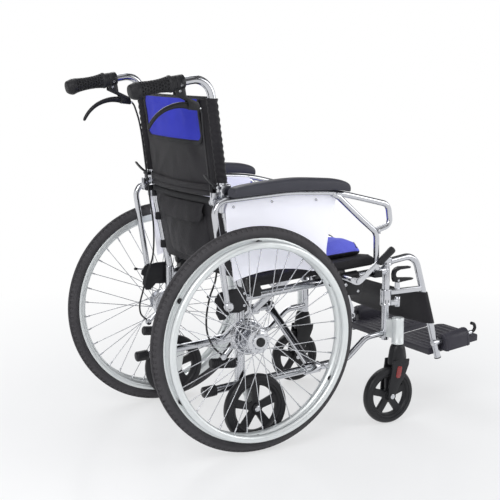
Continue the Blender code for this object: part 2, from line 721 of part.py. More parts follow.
def side_frame():
    """One welded side: two rails, two uprights, the back's lower post and all that is fixed to them."""
    rails = [rod(rail_point(REAR_UPRIGHT_X, UPPER_RAIL_Z), rail_point(FRONT_UPRIGHT_X, UPPER_RAIL_Z), RAIL_RADIUS,
                 THIN_TUBE_SIDES),
             rod(rail_point(LOWER_RAIL_REAR_X, LOWER_RAIL_Z), rail_point(LOWER_RAIL_FRONT_X, LOWER_RAIL_Z),
                 RAIL_RADIUS, THIN_TUBE_SIDES)]
    rear_foot = rail_point(REAR_UPRIGHT_X, LOWER_RAIL_Z).z - 0.004
    rear = turned([(REAR_UPRIGHT_RADIUS, rear_foot), (REAR_UPRIGHT_RADIUS, REAR_UPRIGHT_TOP)],
                  (REAR_UPRIGHT_X, FRAME_Y, 0), "Z", TUBE_SIDES, ring=False)
    front = turned([(FRONT_UPRIGHT_RADIUS, FRONT_UPRIGHT_BOTTOM), (FRONT_UPRIGHT_RADIUS, FRONT_UPRIGHT_TOP - 0.003),
                    (FRONT_UPRIGHT_RADIUS - 0.003, FRONT_UPRIGHT_TOP)],
                   (FRONT_UPRIGHT_X, FRAME_Y, 0), "Z", TUBE_SIDES, ring=False)
    post = tube(bent(side_path([(REAR_UPRIGHT_X, REAR_UPRIGHT_TOP - 0.04), (REAR_UPRIGHT_X, REAR_UPRIGHT_TOP),
                                (HINGE_POST_X, HINGE_PLANE_Z - 0.006)], FRAME_Y), 0.06), BACK_POST_RADIUS)
    stay_z = rail_point(FRONT_UPRIGHT_X, LOWER_RAIL_Z).z + 0.052
    stay = tube(bent(side_path([(0.245, rail_point(0.245, LOWER_RAIL_Z).z - 0.001),
                                (0.318, rail_point(0.318, LOWER_RAIL_Z).z + 0.002),
                                (0.382, stay_z - 0.006), (FRONT_UPRIGHT_X, stay_z)], FRAME_Y), 0.045), STAY_RADIUS, THIN_TUBE_SIDES)
    boss = cross_rod(0, WHEEL_RADIUS, FRAME_Y - REAR_UPRIGHT_RADIUS, BRAKE_INNER_Y - SEAT_GAP, AXLE_BOSS_RADIUS, 14)
    tip = rod((REAR_UPRIGHT_X, FRAME_Y, TIP_TUBE_FRONT_Z), (TIP_TUBE_REAR[0], FRAME_Y, TIP_TUBE_REAR[1]),
              TIP_TUBE_RADIUS, 8)
    saddles = together(*[saddle(x) for x in SADDLE_X])
    block, ears, pin = lower_hinge_block()
    frame = union(rails[0], rear, rails[1], front, post, stay, boss, tip, saddles, block, ears, pin,
                  arm_receiver(), caster_housing(), *transit_bracket())
    bore = AXLE_RADIUS + SEAT_GAP
    hole = cross_rod(0, WHEEL_RADIUS, FRAME_Y - 0.03, FRAME_Y + 0.03, bore, 12)
    cradle = rod(rail_point(SEAT_RAIL_REAR_X - 0.02, SEAT_RAIL_Z), rail_point(SEAT_RAIL_FRONT_X + 0.012, SEAT_RAIL_Z),
                 SEAT_RAIL_RADIUS + RUN_GAP)
    return cut(frame, hole, cradle)


def tipping_sleeve():
    """Rubber sleeve on the tube that an attendant treads on."""
    rear = Vector((TIP_TUBE_REAR[0], FRAME_Y, TIP_TUBE_REAR[1]))
    front = Vector((REAR_UPRIGHT_X, FRAME_Y, TIP_TUBE_FRONT_Z))
    along = (rear - front).normalized()
    end = rear + along * 0.004
    start = front + along * (REAR_UPRIGHT_RADIUS + 0.003)
    solid = tube([start, end - along * 0.003, end], SLEEVE_RADIUS, 12,
                 [SLEEVE_RADIUS, SLEEVE_RADIUS, SLEEVE_RADIUS - 0.003])
    return cut(solid, rod(start - along * 0.01, rear + along * SEAT_GAP, TIP_TUBE_RADIUS + SEAT_GAP, 8))


def rail_cap():
    """Push-on cap over the rear end of the lower rail."""
    end = rail_point(LOWER_RAIL_REAR_X, LOWER_RAIL_Z)
    rear = end - RAIL_DIRECTION * 0.010
    front = rear + RAIL_DIRECTION * CAP_LENGTH
    solid = tube([rear, rear + RAIL_DIRECTION * 0.004, front], CAP_RADIUS, 10,
                 [CAP_RADIUS - 0.004, CAP_RADIUS, CAP_RADIUS])
    return cut(solid, rod(end - RAIL_DIRECTION * SEAT_GAP, front + RAIL_DIRECTION * 0.01, RAIL_RADIUS + SEAT_GAP,
                          THIN_TUBE_SIDES))


def band_brake():
    """Band brake's cover round the axle, its studs, and the arm that the cable pulls."""
    bore = AXLE_RADIUS + SEAT_GAP
    cover = turned([(bore, BRAKE_INNER_Y), (BRAKE_RADIUS, BRAKE_INNER_Y), (BRAKE_RADIUS, BRAKE_OUTER_Y - 0.004),
                    (BRAKE_RADIUS - 0.004, BRAKE_OUTER_Y), (BRAKE_RADIUS - 0.014, BRAKE_OUTER_Y),
                    (bore + 0.014, BRAKE_OUTER_Y - 0.003), (bore, BRAKE_OUTER_Y)], (0, 0, WHEEL_RADIUS), steps=18)
    end_x, end_z = BRAKE_ARM_END
    arm = tube([(-0.024, BRAKE_INNER_Y + 0.006, WHEEL_RADIUS - 0.012), (end_x, BRAKE_INNER_Y + 0.006, end_z)],
               0.0055, 8)
    stud = cross_rod(end_x, end_z, BRAKE_INNER_Y + 0.0005, BRAKE_INNER_Y + 0.0115, 0.008, 10)
    return union(cover, arm, stud)


# Cross brace: made level on the lower rail's line, then tipped with the rails


def brace_height():
    return (SEAT_RAIL_Z - LOWER_RAIL_Z) * math.cos(RAIL_PITCH)


def along_rail(x):
    """Distance along the lower rail's line from the axle to a point at x."""
    return x / math.cos(RAIL_PITCH)


def level_to_rail(mesh):
    """From the brace's own level frame to the chair: the foot line becomes the lower rails' line."""
    return moved(mesh, Matrix.Translation((0, 0, LOWER_RAIL_Z)) @ Matrix.Rotation(-RAIL_PITCH, 4, "Y"))


def brace(place_x, foot_side, other_x):
    """One brace: sleeve on its own lower rail, tube over to the other side, and the seat rail there."""
    s = along_rail(place_x)
    high = brace_height()
    foot = Vector((s, foot_side * FRAME_Y, 0))
    head = Vector((s, -foot_side * FRAME_Y, high))
    way = (head - foot).normalized()
    sleeve_out = RAIL_RADIUS + RUN_GAP + FOOT_SLEEVE_WALL
    half = FOOT_SLEEVE_LENGTH / 2
    sleeve = rod(foot - Vector((half, 0, 0)), foot + Vector((half, 0, 0)), sleeve_out, 12)
    body = rod(foot, head - way * SEAT_RAIL_RADIUS * 0.4, BRACE_RADIUS, THIN_TUBE_SIDES)
    # the seat rail stands square above the lower rail, so its ends shift along the level frame
    shift = SEAT_RAIL_Z * math.sin(RAIL_PITCH) - LOWER_RAIL_Z * math.sin(RAIL_PITCH)
    rear = Vector((along_rail(SEAT_RAIL_REAR_X) + shift, -foot_side * FRAME_Y, high))
    front = Vector((along_rail(SEAT_RAIL_FRONT_X) + shift, -foot_side * FRAME_Y, high))
    rail = rod(rear, front, SEAT_RAIL_RADIUS)
    middle = (foot + head) / 2
    middle.y = 0
    gap = along_rail(other_x) - s
    toward = 1 if gap > 0 else -1
    boss = rod(middle - Vector((0.010, 0, 0)), middle + Vector((0.010, 0, 0)), PIVOT_BOSS_RADIUS, 12)
    if foot_side < 0:
        reach = abs(gap) + 0.010 + RUN_GAP
        bolt = rod(middle, middle + Vector((toward * (reach + PIVOT_HEAD), 0, 0)), PIVOT_RADIUS)
        head_disc = rod(middle + Vector((toward * reach, 0, 0)),
                        middle + Vector((toward * (reach + PIVOT_HEAD), 0, 0)), 0.011, 6)
        spacer = rod(middle, middle + Vector((toward * (abs(gap) - 0.010 - RUN_GAP), 0, 0)), 0.009)
        made = union(body, sleeve, rail, boss, bolt, head_disc, spacer)
        bores = []
    else:
        made = union(body, sleeve, rail, boss)
        bores = [rod(middle - Vector((0.03, 0, 0)), middle + Vector((0.03, 0, 0)), PIVOT_RADIUS + RUN_GAP)]
    bores.append(rod(foot - Vector((half + 0.02, 0, 0)), foot + Vector((half + 0.02, 0, 0)),
                     (RAIL_RADIUS + RUN_GAP) * TURN_BORE, TURN_BORE_SIDES))
    return level_to_rail(cut(made, *bores))


# Backrest


def back_post():
    """Upper back post with its hinge tongue, release lever's ears and the push handle."""
    pin_x, pin_z = hinge_pin()
    low = HINGE_PLANE_Z + SEAT_GAP / 2
    rear = HINGE_POST_X - HINGE_BLOCK_REAR
    block = box((rear, FRAME_Y - HINGE_BLOCK_HALF, low),
                (HINGE_POST_X + HINGE_BLOCK_FRONT, FRAME_Y + HINGE_BLOCK_HALF, low + HINGE_BLOCK_UPPER))
    lug = HINGE_LUG_RADIUS - 0.0006
    neck_top = low + 0.015
    tongue = plate([(rear + 0.004, low), (rear + 0.004, neck_top), (pin_x - lug, neck_top)]
                   + arc((pin_x, pin_z), lug, 180, 360, 5) + [(pin_x + lug, low)],
                   FRAME_Y - TONGUE_HALF, FRAME_Y + TONGUE_HALF)
    corner = (post_x(HANDLE_CORNER_Z), HANDLE_CORNER_Z)
    route = bent(side_path([(post_x(low + 0.006), low + 0.006), corner, HANDLE_END], FRAME_Y), HANDLE_BEND)
    bar = tube(route, BACK_POST_RADIUS)
    release_x, release_z = release_pivot()
    ears = together(*[plate([(rear + 0.003, release_z - 0.005), (rear + 0.003, release_z + 0.005)]
                            + arc((release_x, release_z), 0.005, 90, 270, 3), FRAME_Y + a, FRAME_Y + b)
                      for a, b in ((-0.0125, -0.0085), (0.0085, 0.0125))])
    pin = cross_rod(release_x, release_z, FRAME_Y - 0.010, FRAME_Y + 0.010, 0.0025, 8)
    body = union(block, tongue, bar, ears, pin)
    return cut(body, cross_rod(pin_x, pin_z, FRAME_Y - 0.02, FRAME_Y + 0.02, HINGE_PIN_RADIUS + RUN_GAP))


def release_pivot():
    return (HINGE_POST_X - HINGE_BLOCK_REAR - 0.0075, HINGE_PLANE_Z + 0.0285)


def back_release():
    """Small lever behind the hinge that frees the folding back."""
    x, z = release_pivot()
    arm = skin([[(cx - w * 0.5, FRAME_Y - h, cz - w * 0.87), (cx - w * 0.5, FRAME_Y + h, cz - w * 0.87),
                 (cx + w * 0.5, FRAME_Y + h, cz + w * 0.87), (cx + w * 0.5, FRAME_Y - h, cz + w * 0.87)]
                for cx, cz, w, h in ((x, z, 0.0040, 0.0070), (x - 0.014, z + 0.012, 0.0026, 0.0065),
                                     (x - 0.028, z + 0.026, 0.0022, 0.0080), (x - 0.032, z + 0.032, 0.0020, 0.0075))])
    barrel = cross_rod(x, z, FRAME_Y - 0.008, FRAME_Y + 0.008, 0.0060, 10)
    return cut(union(barrel, arm), cross_rod(x, z, FRAME_Y - 0.02, FRAME_Y + 0.02, 0.0025 + RUN_GAP, 8))


def push_grip():
    """Rubber grip with a swollen end, a waist and a collar, on the handle's rear end."""
    end = handle_point(-0.004)
    length = GRIP_LENGTH
    steps = [(0.000, 0.0105), (0.003, 0.0160), (0.012, 0.0180), (0.030, 0.0177), (0.052, 0.0162),
             (0.076, 0.0158), (0.096, 0.0168), (0.108, 0.0178), (length, 0.0180)]
    points = [end - handle_direction() * d for d, _ in steps]
    solid = tube(points, 0, TUBE_SIDES, [r for _, r in steps])
    bore = rod(handle_point(-SEAT_GAP), handle_point(length + 0.02), BACK_POST_RADIUS + SEAT_GAP)
    return cut(solid, bore)


def clamp_middle():
    return handle_point(GRIP_LENGTH - 0.004 + SEAT_GAP + CLAMP_LENGTH / 2)


def brake_clamp():
    """Clamp of the attendant's brake lever, with the cheeks and pin that the lever turns on."""
    middle = clamp_middle()
    half = handle_direction() * CLAMP_LENGTH / 2
    collar = rod(middle + half, middle - half, CLAMP_RADIUS, 12)
    px, pz = LEVER_PIVOT
    inner = LEVER_WIDTH / 2 + RUN_GAP
    front = px + CABLE_STOP_FRONT
    outline = ([(middle.x - 0.010, middle.z - 0.010), (px - 0.009, pz)] + arc((px, pz), 0.009, 210, 270, 2)
               + [(front, pz - 0.013), (front, pz + 0.002), (middle.x + 0.012, middle.z - 0.008)])
    cheeks = together(*[plate(outline, FRAME_Y + a, FRAME_Y + b)
                        for a, b in ((-inner - 0.003, -inner), (inner, inner + 0.003))])
    root = plate([(middle.x - 0.010, middle.z - 0.006), (middle.x - 0.008, middle.z - 0.024),
                  (middle.x + 0.011, middle.z - 0.024), (middle.x + 0.012, middle.z - 0.006)],
                 FRAME_Y - inner - 0.002, FRAME_Y + inner + 0.002)
    pin = cross_rod(px, pz, FRAME_Y - inner - 0.002, FRAME_Y + inner + 0.002, LEVER_PIN_RADIUS, 8)
    stop = box((front - 0.0085, FRAME_Y - inner - 0.001, pz - 0.0125), (front - 0.0005, FRAME_Y + inner + 0.001, pz))
    bore = rod(middle + half * 3, middle - half * 3, BACK_POST_RADIUS + SEAT_GAP)
    return cut(union(collar, cheeks, root, pin, stop), bore)


def brake_lever():
    """Curved lever under the grip, from its pin to the turned-down tip."""
    px, pz = LEVER_PIVOT
    half = LEVER_WIDTH / 2
    shape = ((0.0085, -0.002, 0.0040, 0.80), (0.000, 0.000, 0.0078, 0.98), (-0.022, 0.003, 0.0060, 0.98),
             (-0.048, 0.001, 0.0050, 0.95), (-0.074, -0.010, 0.0045, 0.90), (-0.096, -0.027, 0.0042, 0.85),
             (-0.110, -0.046, 0.0040, 0.75), (-0.113, -0.053, 0.0030, 0.60))
    centres = [Vector((px + dx, FRAME_Y, pz + dz)) for dx, dz, _, _ in shape]
    rings = []
    for i, (_, _, thick, wide) in enumerate(shape):
        along = (centres[min(i + 1, len(centres) - 1)] - centres[max(i - 1, 0)]).normalized()
        up = Vector((-along.z, 0, along.x))
        out = Vector((0, half * wide, 0))
        rings.append([centres[i] + up * thick * a + out * b
                      for a, b in ((-0.55, 1), (-1, 0.45), (-1, -0.45), (-0.55, -1), (0.55, -1), (1, -0.45),
                                   (1, 0.45), (0.55, 1))])
    return cut(skin(rings), cross_rod(px, pz, FRAME_Y - 0.02, FRAME_Y + 0.02, LEVER_PIN_RADIUS + RUN_GAP, 8))


def sheet_between(z_low, z_high, line, half_width, thickness, sag, rows=6, columns=10):
    """An upholstered panel between the posts that sags back in the middle."""
    rings = []
    for r in range(rows + 1):
        z = z_low + (z_high - z_low) * r / rows
        ease = min(1.0, 4 * min(r, rows - r) / rows)
        front, back = [], []
        for c in range(columns + 1):
            y = -half_width + 2 * half_width * c / columns
            x = line(z) - sag * (1 - (y / half_width) ** 2)
            t = thickness / 2 * (0.55 + 0.45 * ease)
            front.append((x + t, y, z))
            back.append((x - t, y, z))
        rings.append(front + back[::-1])
    return skin(rings)


def upper_upholstery():
    """Upper back panel, with a sleeve round each post."""
    low = HINGE_PLANE_Z + 0.007
    panel = sheet_between(low, BACK_TOP_Z, post_x, BACK_HALF_WIDTH, BACK_THICKNESS, BACK_SAG, 6, 10)
    sleeve_low = HINGE_PLANE_Z + HINGE_BLOCK_UPPER + 0.006
    sleeve_high = BACK_TOP_Z - 0.004
    radius = BACK_POST_RADIUS + SEAT_GAP + SLEEVE_WALL
    parts, bores = [], []
    for side in (-1, 1):
        y = side * FRAME_Y
        parts.append(rod((post_x(sleeve_low), y, sleeve_low), (post_x(sleeve_high), y, sleeve_high), radius, 12))
        bores.append(rod((post_x(sleeve_low - 0.05), y, sleeve_low - 0.05),
                         (post_x(sleeve_high + 0.05), y, sleeve_high + 0.05), BACK_POST_RADIUS + SEAT_GAP))
    return cut(union(panel, *parts), *bores)


def lower_post_x(z):
    share = (z - REAR_UPRIGHT_TOP) / (HINGE_PLANE_Z - REAR_UPRIGHT_TOP)
    return REAR_UPRIGHT_X + share * (HINGE_POST_X - REAR_UPRIGHT_X)


def lower_upholstery():
    """Lower back panel with the flapped pocket sewn on its back."""
    high = HINGE_PLANE_Z - 0.003
    panel = sheet_between(BACK_BOTTOM_Z, high, lower_post_x, BACK_HALF_WIDTH, BACK_THICKNESS, BACK_SAG, 4, 10)
    rings = []
    for z, reach, out in ((0.470, 0.110, 0.004), (0.480, 0.118, 0.011), (0.560, 0.120, 0.014), (0.572, 0.123, 0.017),
                          (0.612, 0.121, 0.013), (0.618, 0.116, 0.006)):
        rear, front = [], []
        for c in range(7):
            y = reach * (c / 3 - 1)
            base = lower_post_x(z) - BACK_SAG * (1 - (y / BACK_HALF_WIDTH) ** 2)
            front.append((base, y, z))
            rear.append((base - BACK_THICKNESS * 0.4 - out, y, z))
        rings.append(front + rear[::-1])
    return union(panel, skin(rings))


# Seat


def sling_top(x, y):
    """Height of the sling's upper face: it lies on the seat rails and sags between them."""
    rail_top = SEAT_RAIL_Z + math.tan(RAIL_PITCH) * x + SEAT_RAIL_RADIUS / math.cos(RAIL_PITCH)
    return rail_top + SEAT_GAP + SLING_THICKNESS - SLING_SAG * (1 - (y / FRAME_Y) ** 2)


def sling():
    """Seat fabric from one seat rail to the other."""
    rings = []
    for x in (SEAT_RAIL_REAR_X + 0.004, SEAT_RAIL_FRONT_X - 0.004):
        ys = [FRAME_Y * (c / 5 - 1) for c in range(11)]
        top = [(x, y, sling_top(x, y)) for y in ys]
        low = [(x, y, sling_top(x, y) - SLING_THICKNESS) for y in ys]
        rings.append(top + low[::-1])
    return skin(rings)


def cushion():
    """Seat cushion: crowned top, drawn-in sides, and a base that follows the sling's sag."""
    rows, columns = 10, 10
    rings = []
    for r in range(rows + 1):
        u = r / rows
        x = CUSHION_REAR_X + (CUSHION_FRONT_X - CUSHION_REAR_X) * u
        ends = 1 - abs(2 * u - 1) ** 6
        pull = 0.006 * (1 - (2 * u - 1) ** 2)
        width = CUSHION_HALF_WIDTH - 0.004 - pull + 0.004 * ends
        top, low = [], []
        for c in range(columns + 1):
            v = 2 * c / columns - 1
            y = width * v
            sides = 1 - abs(v) ** 6
            floor = sling_top(x, y) + SEAT_GAP
            lift = CUSHION_HEIGHT * (0.42 + 0.58 * min(ends, sides) ** 0.5)
            crown = 0.010 * (1 - v * v) * (1 - (2 * u - 1) ** 2) - 0.012 * max(0.0, u - 0.75)
            seam = 0.0035 if abs(abs(v) - 0.6) < 0.01 and 0.1 < u < 0.95 else 0
            top.append((x, y, floor + lift + crown - seam))
            low.append((x, y, floor + 0.004 * (1 - sides)))
        rings.append(top + low[::-1])
    return skin(rings)


# Armrest


def arm_lock():
    """Moulded bracket on the rear upright with the armrest's pivot bolt and its release knob."""
    x, z = ARM_PIVOT
    inner = FRAME_Y + REAR_UPRIGHT_RADIUS + SEAT_GAP
    outer = ARM_Y - ARM_TUBE_RADIUS - RUN_GAP
    outline = [(REAR_UPRIGHT_X + 0.010, z + 0.040), (x - 0.018, z + 0.034), (x - 0.030, z + 0.016),
               (x - 0.028, z - 0.022), (x - 0.016, z - 0.036), (x + 0.006, z - 0.026), (REAR_UPRIGHT_X + 0.010, z - 0.014)]
    body = plate(outline, inner, outer)
    head = ARM_Y + ARM_TUBE_RADIUS + RUN_GAP
    bolt = turned([(ARM_PIN_RADIUS, inner + 0.001), (ARM_PIN_RADIUS, head), (0.0115, head), (0.0115, head + 0.002),
                   (0.009, head + 0.004)], (x, 0, z), steps=10, ring=False)
    y = (inner + outer) / 2
    knob = tube([(x - 0.020, y, z + 0.024), (x - 0.050, y, z + 0.0276)], 0.0024, 8)
    return union(body, bolt, knob)


def arm_loop():
    """The armrest tube's centre line, from its pivot over the top to the knee of the front leg."""
    return bent(side_path([ARM_PIVOT, ARM_REAR_TOP, ARM_PEAK, ARM_BREAK, ARM_NOSE_TOP, ARM_NOSE_FRONT,
                           (ARM_LEG_KNEE[0] - 0.001, ARM_LEG_KNEE[1] + 0.006)], ARM_Y),
                [0.034, 0.60, 0.50, 0.026, 0.020])


def arm_line(x):
    """Height of the tube's centre line in its top run."""
    run = [p for p in arm_loop() if p.z > ARM_REAR_TOP[1] - 0.02]
    for a, b in zip(run, run[1:]):
        if a.x <= x <= b.x:
            return a.z + (b.z - a.z) * (x - a.x) / (b.x - a.x)
    return run[0].z if x < run[0].x else run[-1].z


def armrest_frame():
    """Bent armrest tube: rear leg with the pivot eye, top run, looped nose, and the front leg."""
    leg = bent(side_path([(ARM_BREAK[0] - 0.014, ARM_BREAK[1] - 0.003), (ARM_BREAK[0] + 0.008, ARM_BREAK[1] - 0.013),
                          (0.340, 0.566), ARM_LEG_KNEE, (ARM_LEG_X, ARM_LEG_BOTTOM)], ARM_Y),
               [0.012, 0.080, 0.030])
    eye = cross_rod(ARM_PIVOT[0], ARM_PIVOT[1], ARM_Y - ARM_TUBE_RADIUS, ARM_Y + ARM_TUBE_RADIUS, ARM_EYE_RADIUS, 12)
    body = union(tube(arm_loop(), ARM_TUBE_RADIUS, THIN_TUBE_SIDES), tube(leg, ARM_TUBE_RADIUS, THIN_TUBE_SIDES), eye)
    return cut(body, cross_rod(ARM_PIVOT[0], ARM_PIVOT[1], ARM_Y - 0.02, ARM_Y + 0.02, ARM_PIN_RADIUS + RUN_GAP))


def armrest_pad():
    """Long moulded pad with an arched back, rounded shoulders and blunt ends."""
    rings = []
    for u, swell in ((0, 0.72), (0.025, 0.90), (0.10, 1.0), (0.25, 1), (0.415, 1), (0.51, 1), (0.61, 1), (0.79, 1),
                     (0.90, 0.98), (0.975, 0.88), (1, 0.70)):
        x = PAD_REAR_X + PAD_LENGTH * u
        arch = 0.0050 * (1 - (2 * u - 1) ** 2)
        low = arm_line(x) + ARM_TUBE_FLAT + 2 * SEAT_GAP
        if abs(x - ARM_BREAK[0]) < 0.04:
            low += 0.0012  # clear of the tube where it bends down
        high = low + PAD_THICKNESS * swell + arch
        width = PAD_HALF_WIDTH * (0.90 + 0.10 * swell)
        ring = []
        for y, share in ((-0.72, 0), (-0.96, 0.14), (-1, 0.5), (-0.90, 0.84), (-0.60, 0.985), (0, 1.03),
                         (0.60, 0.985), (0.90, 0.84), (1, 0.5), (0.96, 0.14), (0.72, 0)):
            ring.append((x, PAD_Y + width * y, low + (high - low) * share))
        rings.append(ring)
    return skin(rings)


def side_panel():
    """Thin clothes guard inside the armrest tube, with an arched lower edge."""
    outer = ARM_Y - ARM_TUBE_FLAT - SEAT_GAP
    low = []
    for k in range(9):
        u = k / 8
        low.append((PANEL_REAR_X + u * (PANEL_FRONT_X - 0.020 - PANEL_REAR_X),
                    PANEL_BOTTOM_Z + PANEL_ARCH * (1 - (2 * u - 1) ** 2)))
    top = [(x, arm_line(x)) for x in (PANEL_FRONT_X + 0.026, PANEL_FRONT_X - 0.06, ARM_PEAK[0], PANEL_REAR_X)]
    outline = low + [(PANEL_FRONT_X, PANEL_BOTTOM_Z + 0.060), (PANEL_FRONT_X + 0.028, top[0][1] - 0.020), *top,
                     (PANEL_REAR_X - 0.024, top[-1][1] - 0.020)]
    return plate(outline, outer - PANEL_THICKNESS, outer)


# Parking brake


def park_bracket():
    """Clamp on the upper rail, its outer plate, and the pin that the lever turns on."""
    x, z = PARK_PIVOT
    rail = rail_point(x, UPPER_RAIL_Z)
    bore = RAIL_RADIUS + SEAT_GAP
    ring = rod(rail - RAIL_DIRECTION * 0.024, rail + RAIL_DIRECTION * 0.024, bore + 0.0035, 12)
    outline = [(x - 0.040, rail.z - 0.004), (x - 0.036, rail.z - 0.020), (x - 0.012, rail.z - 0.046),
               (x + 0.026, rail.z - 0.048), (x + 0.034, rail.z - 0.030), (x + 0.034, rail.z + 0.004)]
    sheet = plate(outline, FRAME_Y + 0.006, FRAME_Y + 0.0155)
    lever_in = PARK_LEVER_Y - PARK_LEVER_HALF - RUN_GAP
    boss = cross_rod(x, z, FRAME_Y + 0.010, lever_in, 0.009, 10)
    far = PARK_LEVER_Y + PARK_LEVER_HALF + RUN_GAP
    pin = turned([(PARK_PIN_RADIUS, FRAME_Y + 0.012), (PARK_PIN_RADIUS, far), (0.0065, far), (0.0065, far + 0.0022)],
                 (x, 0, z), steps=10, ring=False)
    body = union(ring, sheet, boss, pin)
    return cut(body, rod(rail - RAIL_DIRECTION * 0.06, rail + RAIL_DIRECTION * 0.06, bore, THIN_TUBE_SIDES))


def park_lever():
    """Flat lever with a rubber grip in front and the shoe bar behind, beside the tyre."""
    x, z = PARK_PIVOT
    shoe = shoe_centre()
    pivot = Vector((x, 0, z))
    inner, outer = PARK_LEVER_Y - PARK_LEVER_HALF, PARK_LEVER_Y + PARK_LEVER_HALF

    def bar(a, b, half_a, half_b):
        way = Vector((b[0] - a[0], b[1] - a[1])).normalized()
        up = Vector((-way.y, way.x))
        outline = [(a[0] + up.x * half_a, a[1] + up.y * half_a), (b[0] + up.x * half_b, b[1] + up.y * half_b),
                   (b[0] - up.x * half_b, b[1] - up.y * half_b), (a[0] - up.x * half_a, a[1] - up.y * half_a)]
        return plate(outline, inner, outer)

    front = bar((pivot.x, pivot.z), PARK_GRIP_START, 0.009, 0.0065)
    neck = bar(PARK_GRIP_START, (PARK_GRIP_START[0] + 0.012, PARK_GRIP_START[1] + 0.0095), 0.0062, 0.005)
    back = bar((pivot.x, pivot.z), shoe, 0.009, 0.0062)
    hub = cross_rod(x, z, inner, outer, 0.0105, 10)
    shoe_bar = cross_rod(shoe[0], shoe[1], inner, WHEEL_Y + TYRE_SECTION, PARK_SHOE_RADIUS, THIN_TUBE_SIDES)
    a = Vector((PARK_GRIP_START[0], PARK_GRIP_Y, PARK_GRIP_START[1]))
    b = Vector((PARK_GRIP_END[0], PARK_GRIP_Y, PARK_GRIP_END[1]))
    along = (b - a).normalized()
    grip = tube([a, a + along * 0.004, b - along * 0.005, b], 0, THIN_TUBE_SIDES,
                [PARK_GRIP_RADIUS - 0.002, PARK_GRIP_RADIUS, PARK_GRIP_RADIUS, PARK_GRIP_RADIUS - 0.003])
    body = union(front, back, neck, hub, shoe_bar, grip)
    return cut(body, cross_rod(x, z, inner - 0.02, outer + 0.02, PARK_PIN_RADIUS + RUN_GAP))


# Footrest


def hanger():
    """Swing-away hanger: top tube, front tube, link, two collars on the upright and the plate's rod."""
    path = bent(side_path([(FRONT_UPRIGHT_X + FRONT_UPRIGHT_RADIUS, HANGER_TOP_Z - 0.010),
                           (HANGER_SHOULDER[0], HANGER_SHOULDER[1]), HANGER_END], FRAME_Y), HANGER_BEND)
    bar = tube(path, HANGER_RADIUS)
    out = FRONT_UPRIGHT_RADIUS + RUN_GAP + HANGER_COLLAR_WALL
    collars = [turned([(out, z) for z in ends], (FRONT_UPRIGHT_X, FRAME_Y, 0), "Z", TUBE_SIDES, ring=False)
               for ends in (HANGER_UPPER_COLLAR, HANGER_LOWER_COLLAR)]
    half = 0.007
    link = box((FRONT_UPRIGHT_X + out - 0.003, FRAME_Y - half, HANGER_LINK_Z - half),
               (hanger_x(HANGER_LINK_Z), FRAME_Y + half, HANGER_LINK_Z + half))
    px, pz = LATCH_PIVOT
    post = plate([(px - 0.008, HANGER_LINK_Z), (px + 0.008, HANGER_LINK_Z)]
                 + arc((px, pz), 0.006, 0, 180, 6), FRAME_Y - LATCH_HALF + 0.0022, FRAME_Y + LATCH_HALF - 0.0022)
    latch_pin = cross_rod(px, pz, FRAME_Y - LATCH_HALF - 0.001, FRAME_Y + LATCH_HALF + 0.001, 0.0022, 8)
    start = Vector((PLATE_PIVOT_X - 0.004, FRAME_Y + PLATE_GAP, PLATE_PIVOT_Z))
    way = Vector((math.cos(PLATE_PITCH), 0, math.sin(PLATE_PITCH)))
    pivot_rod = rod(start, start + way * PLATE_ROD_LENGTH, PLATE_ROD_RADIUS, 10)
    hook_start = start + way * (PLATE_ROD_LENGTH - 0.004)
    hook = tube([hook_start, hook_start + Vector((0.010, 0, 0.002)), hook_start + Vector((0.016, 0, 0.012)),
                 hook_start + Vector((0.012, 0, 0.022)), hook_start + Vector((0.002, 0, 0.026))], 0.0042, 6)
    boss = rod(start - way * 0.008, start + way * (PLATE_BOSS_FRONT - RUN_GAP), 0.0100, 12)
    body = union(bar, *collars, link, post, latch_pin, boss, pivot_rod, hook)
    bore = turned([((FRONT_UPRIGHT_RADIUS + RUN_GAP) * TURN_BORE, z) for z in (0.30, HANGER_UPPER_COLLAR[1] + 0.01)],
                  (FRONT_UPRIGHT_X, FRAME_Y, 0), "Z", TURN_BORE_SIDES, ring=False)
    return cut(body, bore)


def latch():
    """C-shaped lever that frees the hanger from the upright."""
    px, pz = LATCH_PIVOT
    outline = ([(px - 0.012, pz - 0.004), (px + 0.046, pz - 0.002), (px + 0.050, pz + 0.003), (px - 0.004, pz + 0.006)]
               + [(px - 0.009, pz + 0.014), (px - 0.008, pz + 0.024), (px + 0.006, pz + 0.030), (px + 0.038, pz + 0.031),
                  (px + 0.041, pz + 0.035), (px + 0.004, pz + 0.037), (px - 0.012, pz + 0.031), (px - 0.017, pz + 0.020)])
    blade = plate(outline, FRAME_Y - LATCH_HALF - 0.002, FRAME_Y + LATCH_HALF + 0.002)
    barrel = cross_rod(px, pz, FRAME_Y - LATCH_HALF - 0.002, FRAME_Y + LATCH_HALF + 0.002, 0.0062, 8)
    room = LATCH_HALF - 0.0022 + RUN_GAP
    gap = box((px - 0.014, FRAME_Y - room, pz - 0.030), (px + 0.014, FRAME_Y + room, pz + 0.0078))
    pin = cross_rod(px, pz, FRAME_Y - 0.02, FRAME_Y + 0.02, 0.0022 + RUN_GAP, 8)
    return cut(union(blade, barrel), gap, pin)


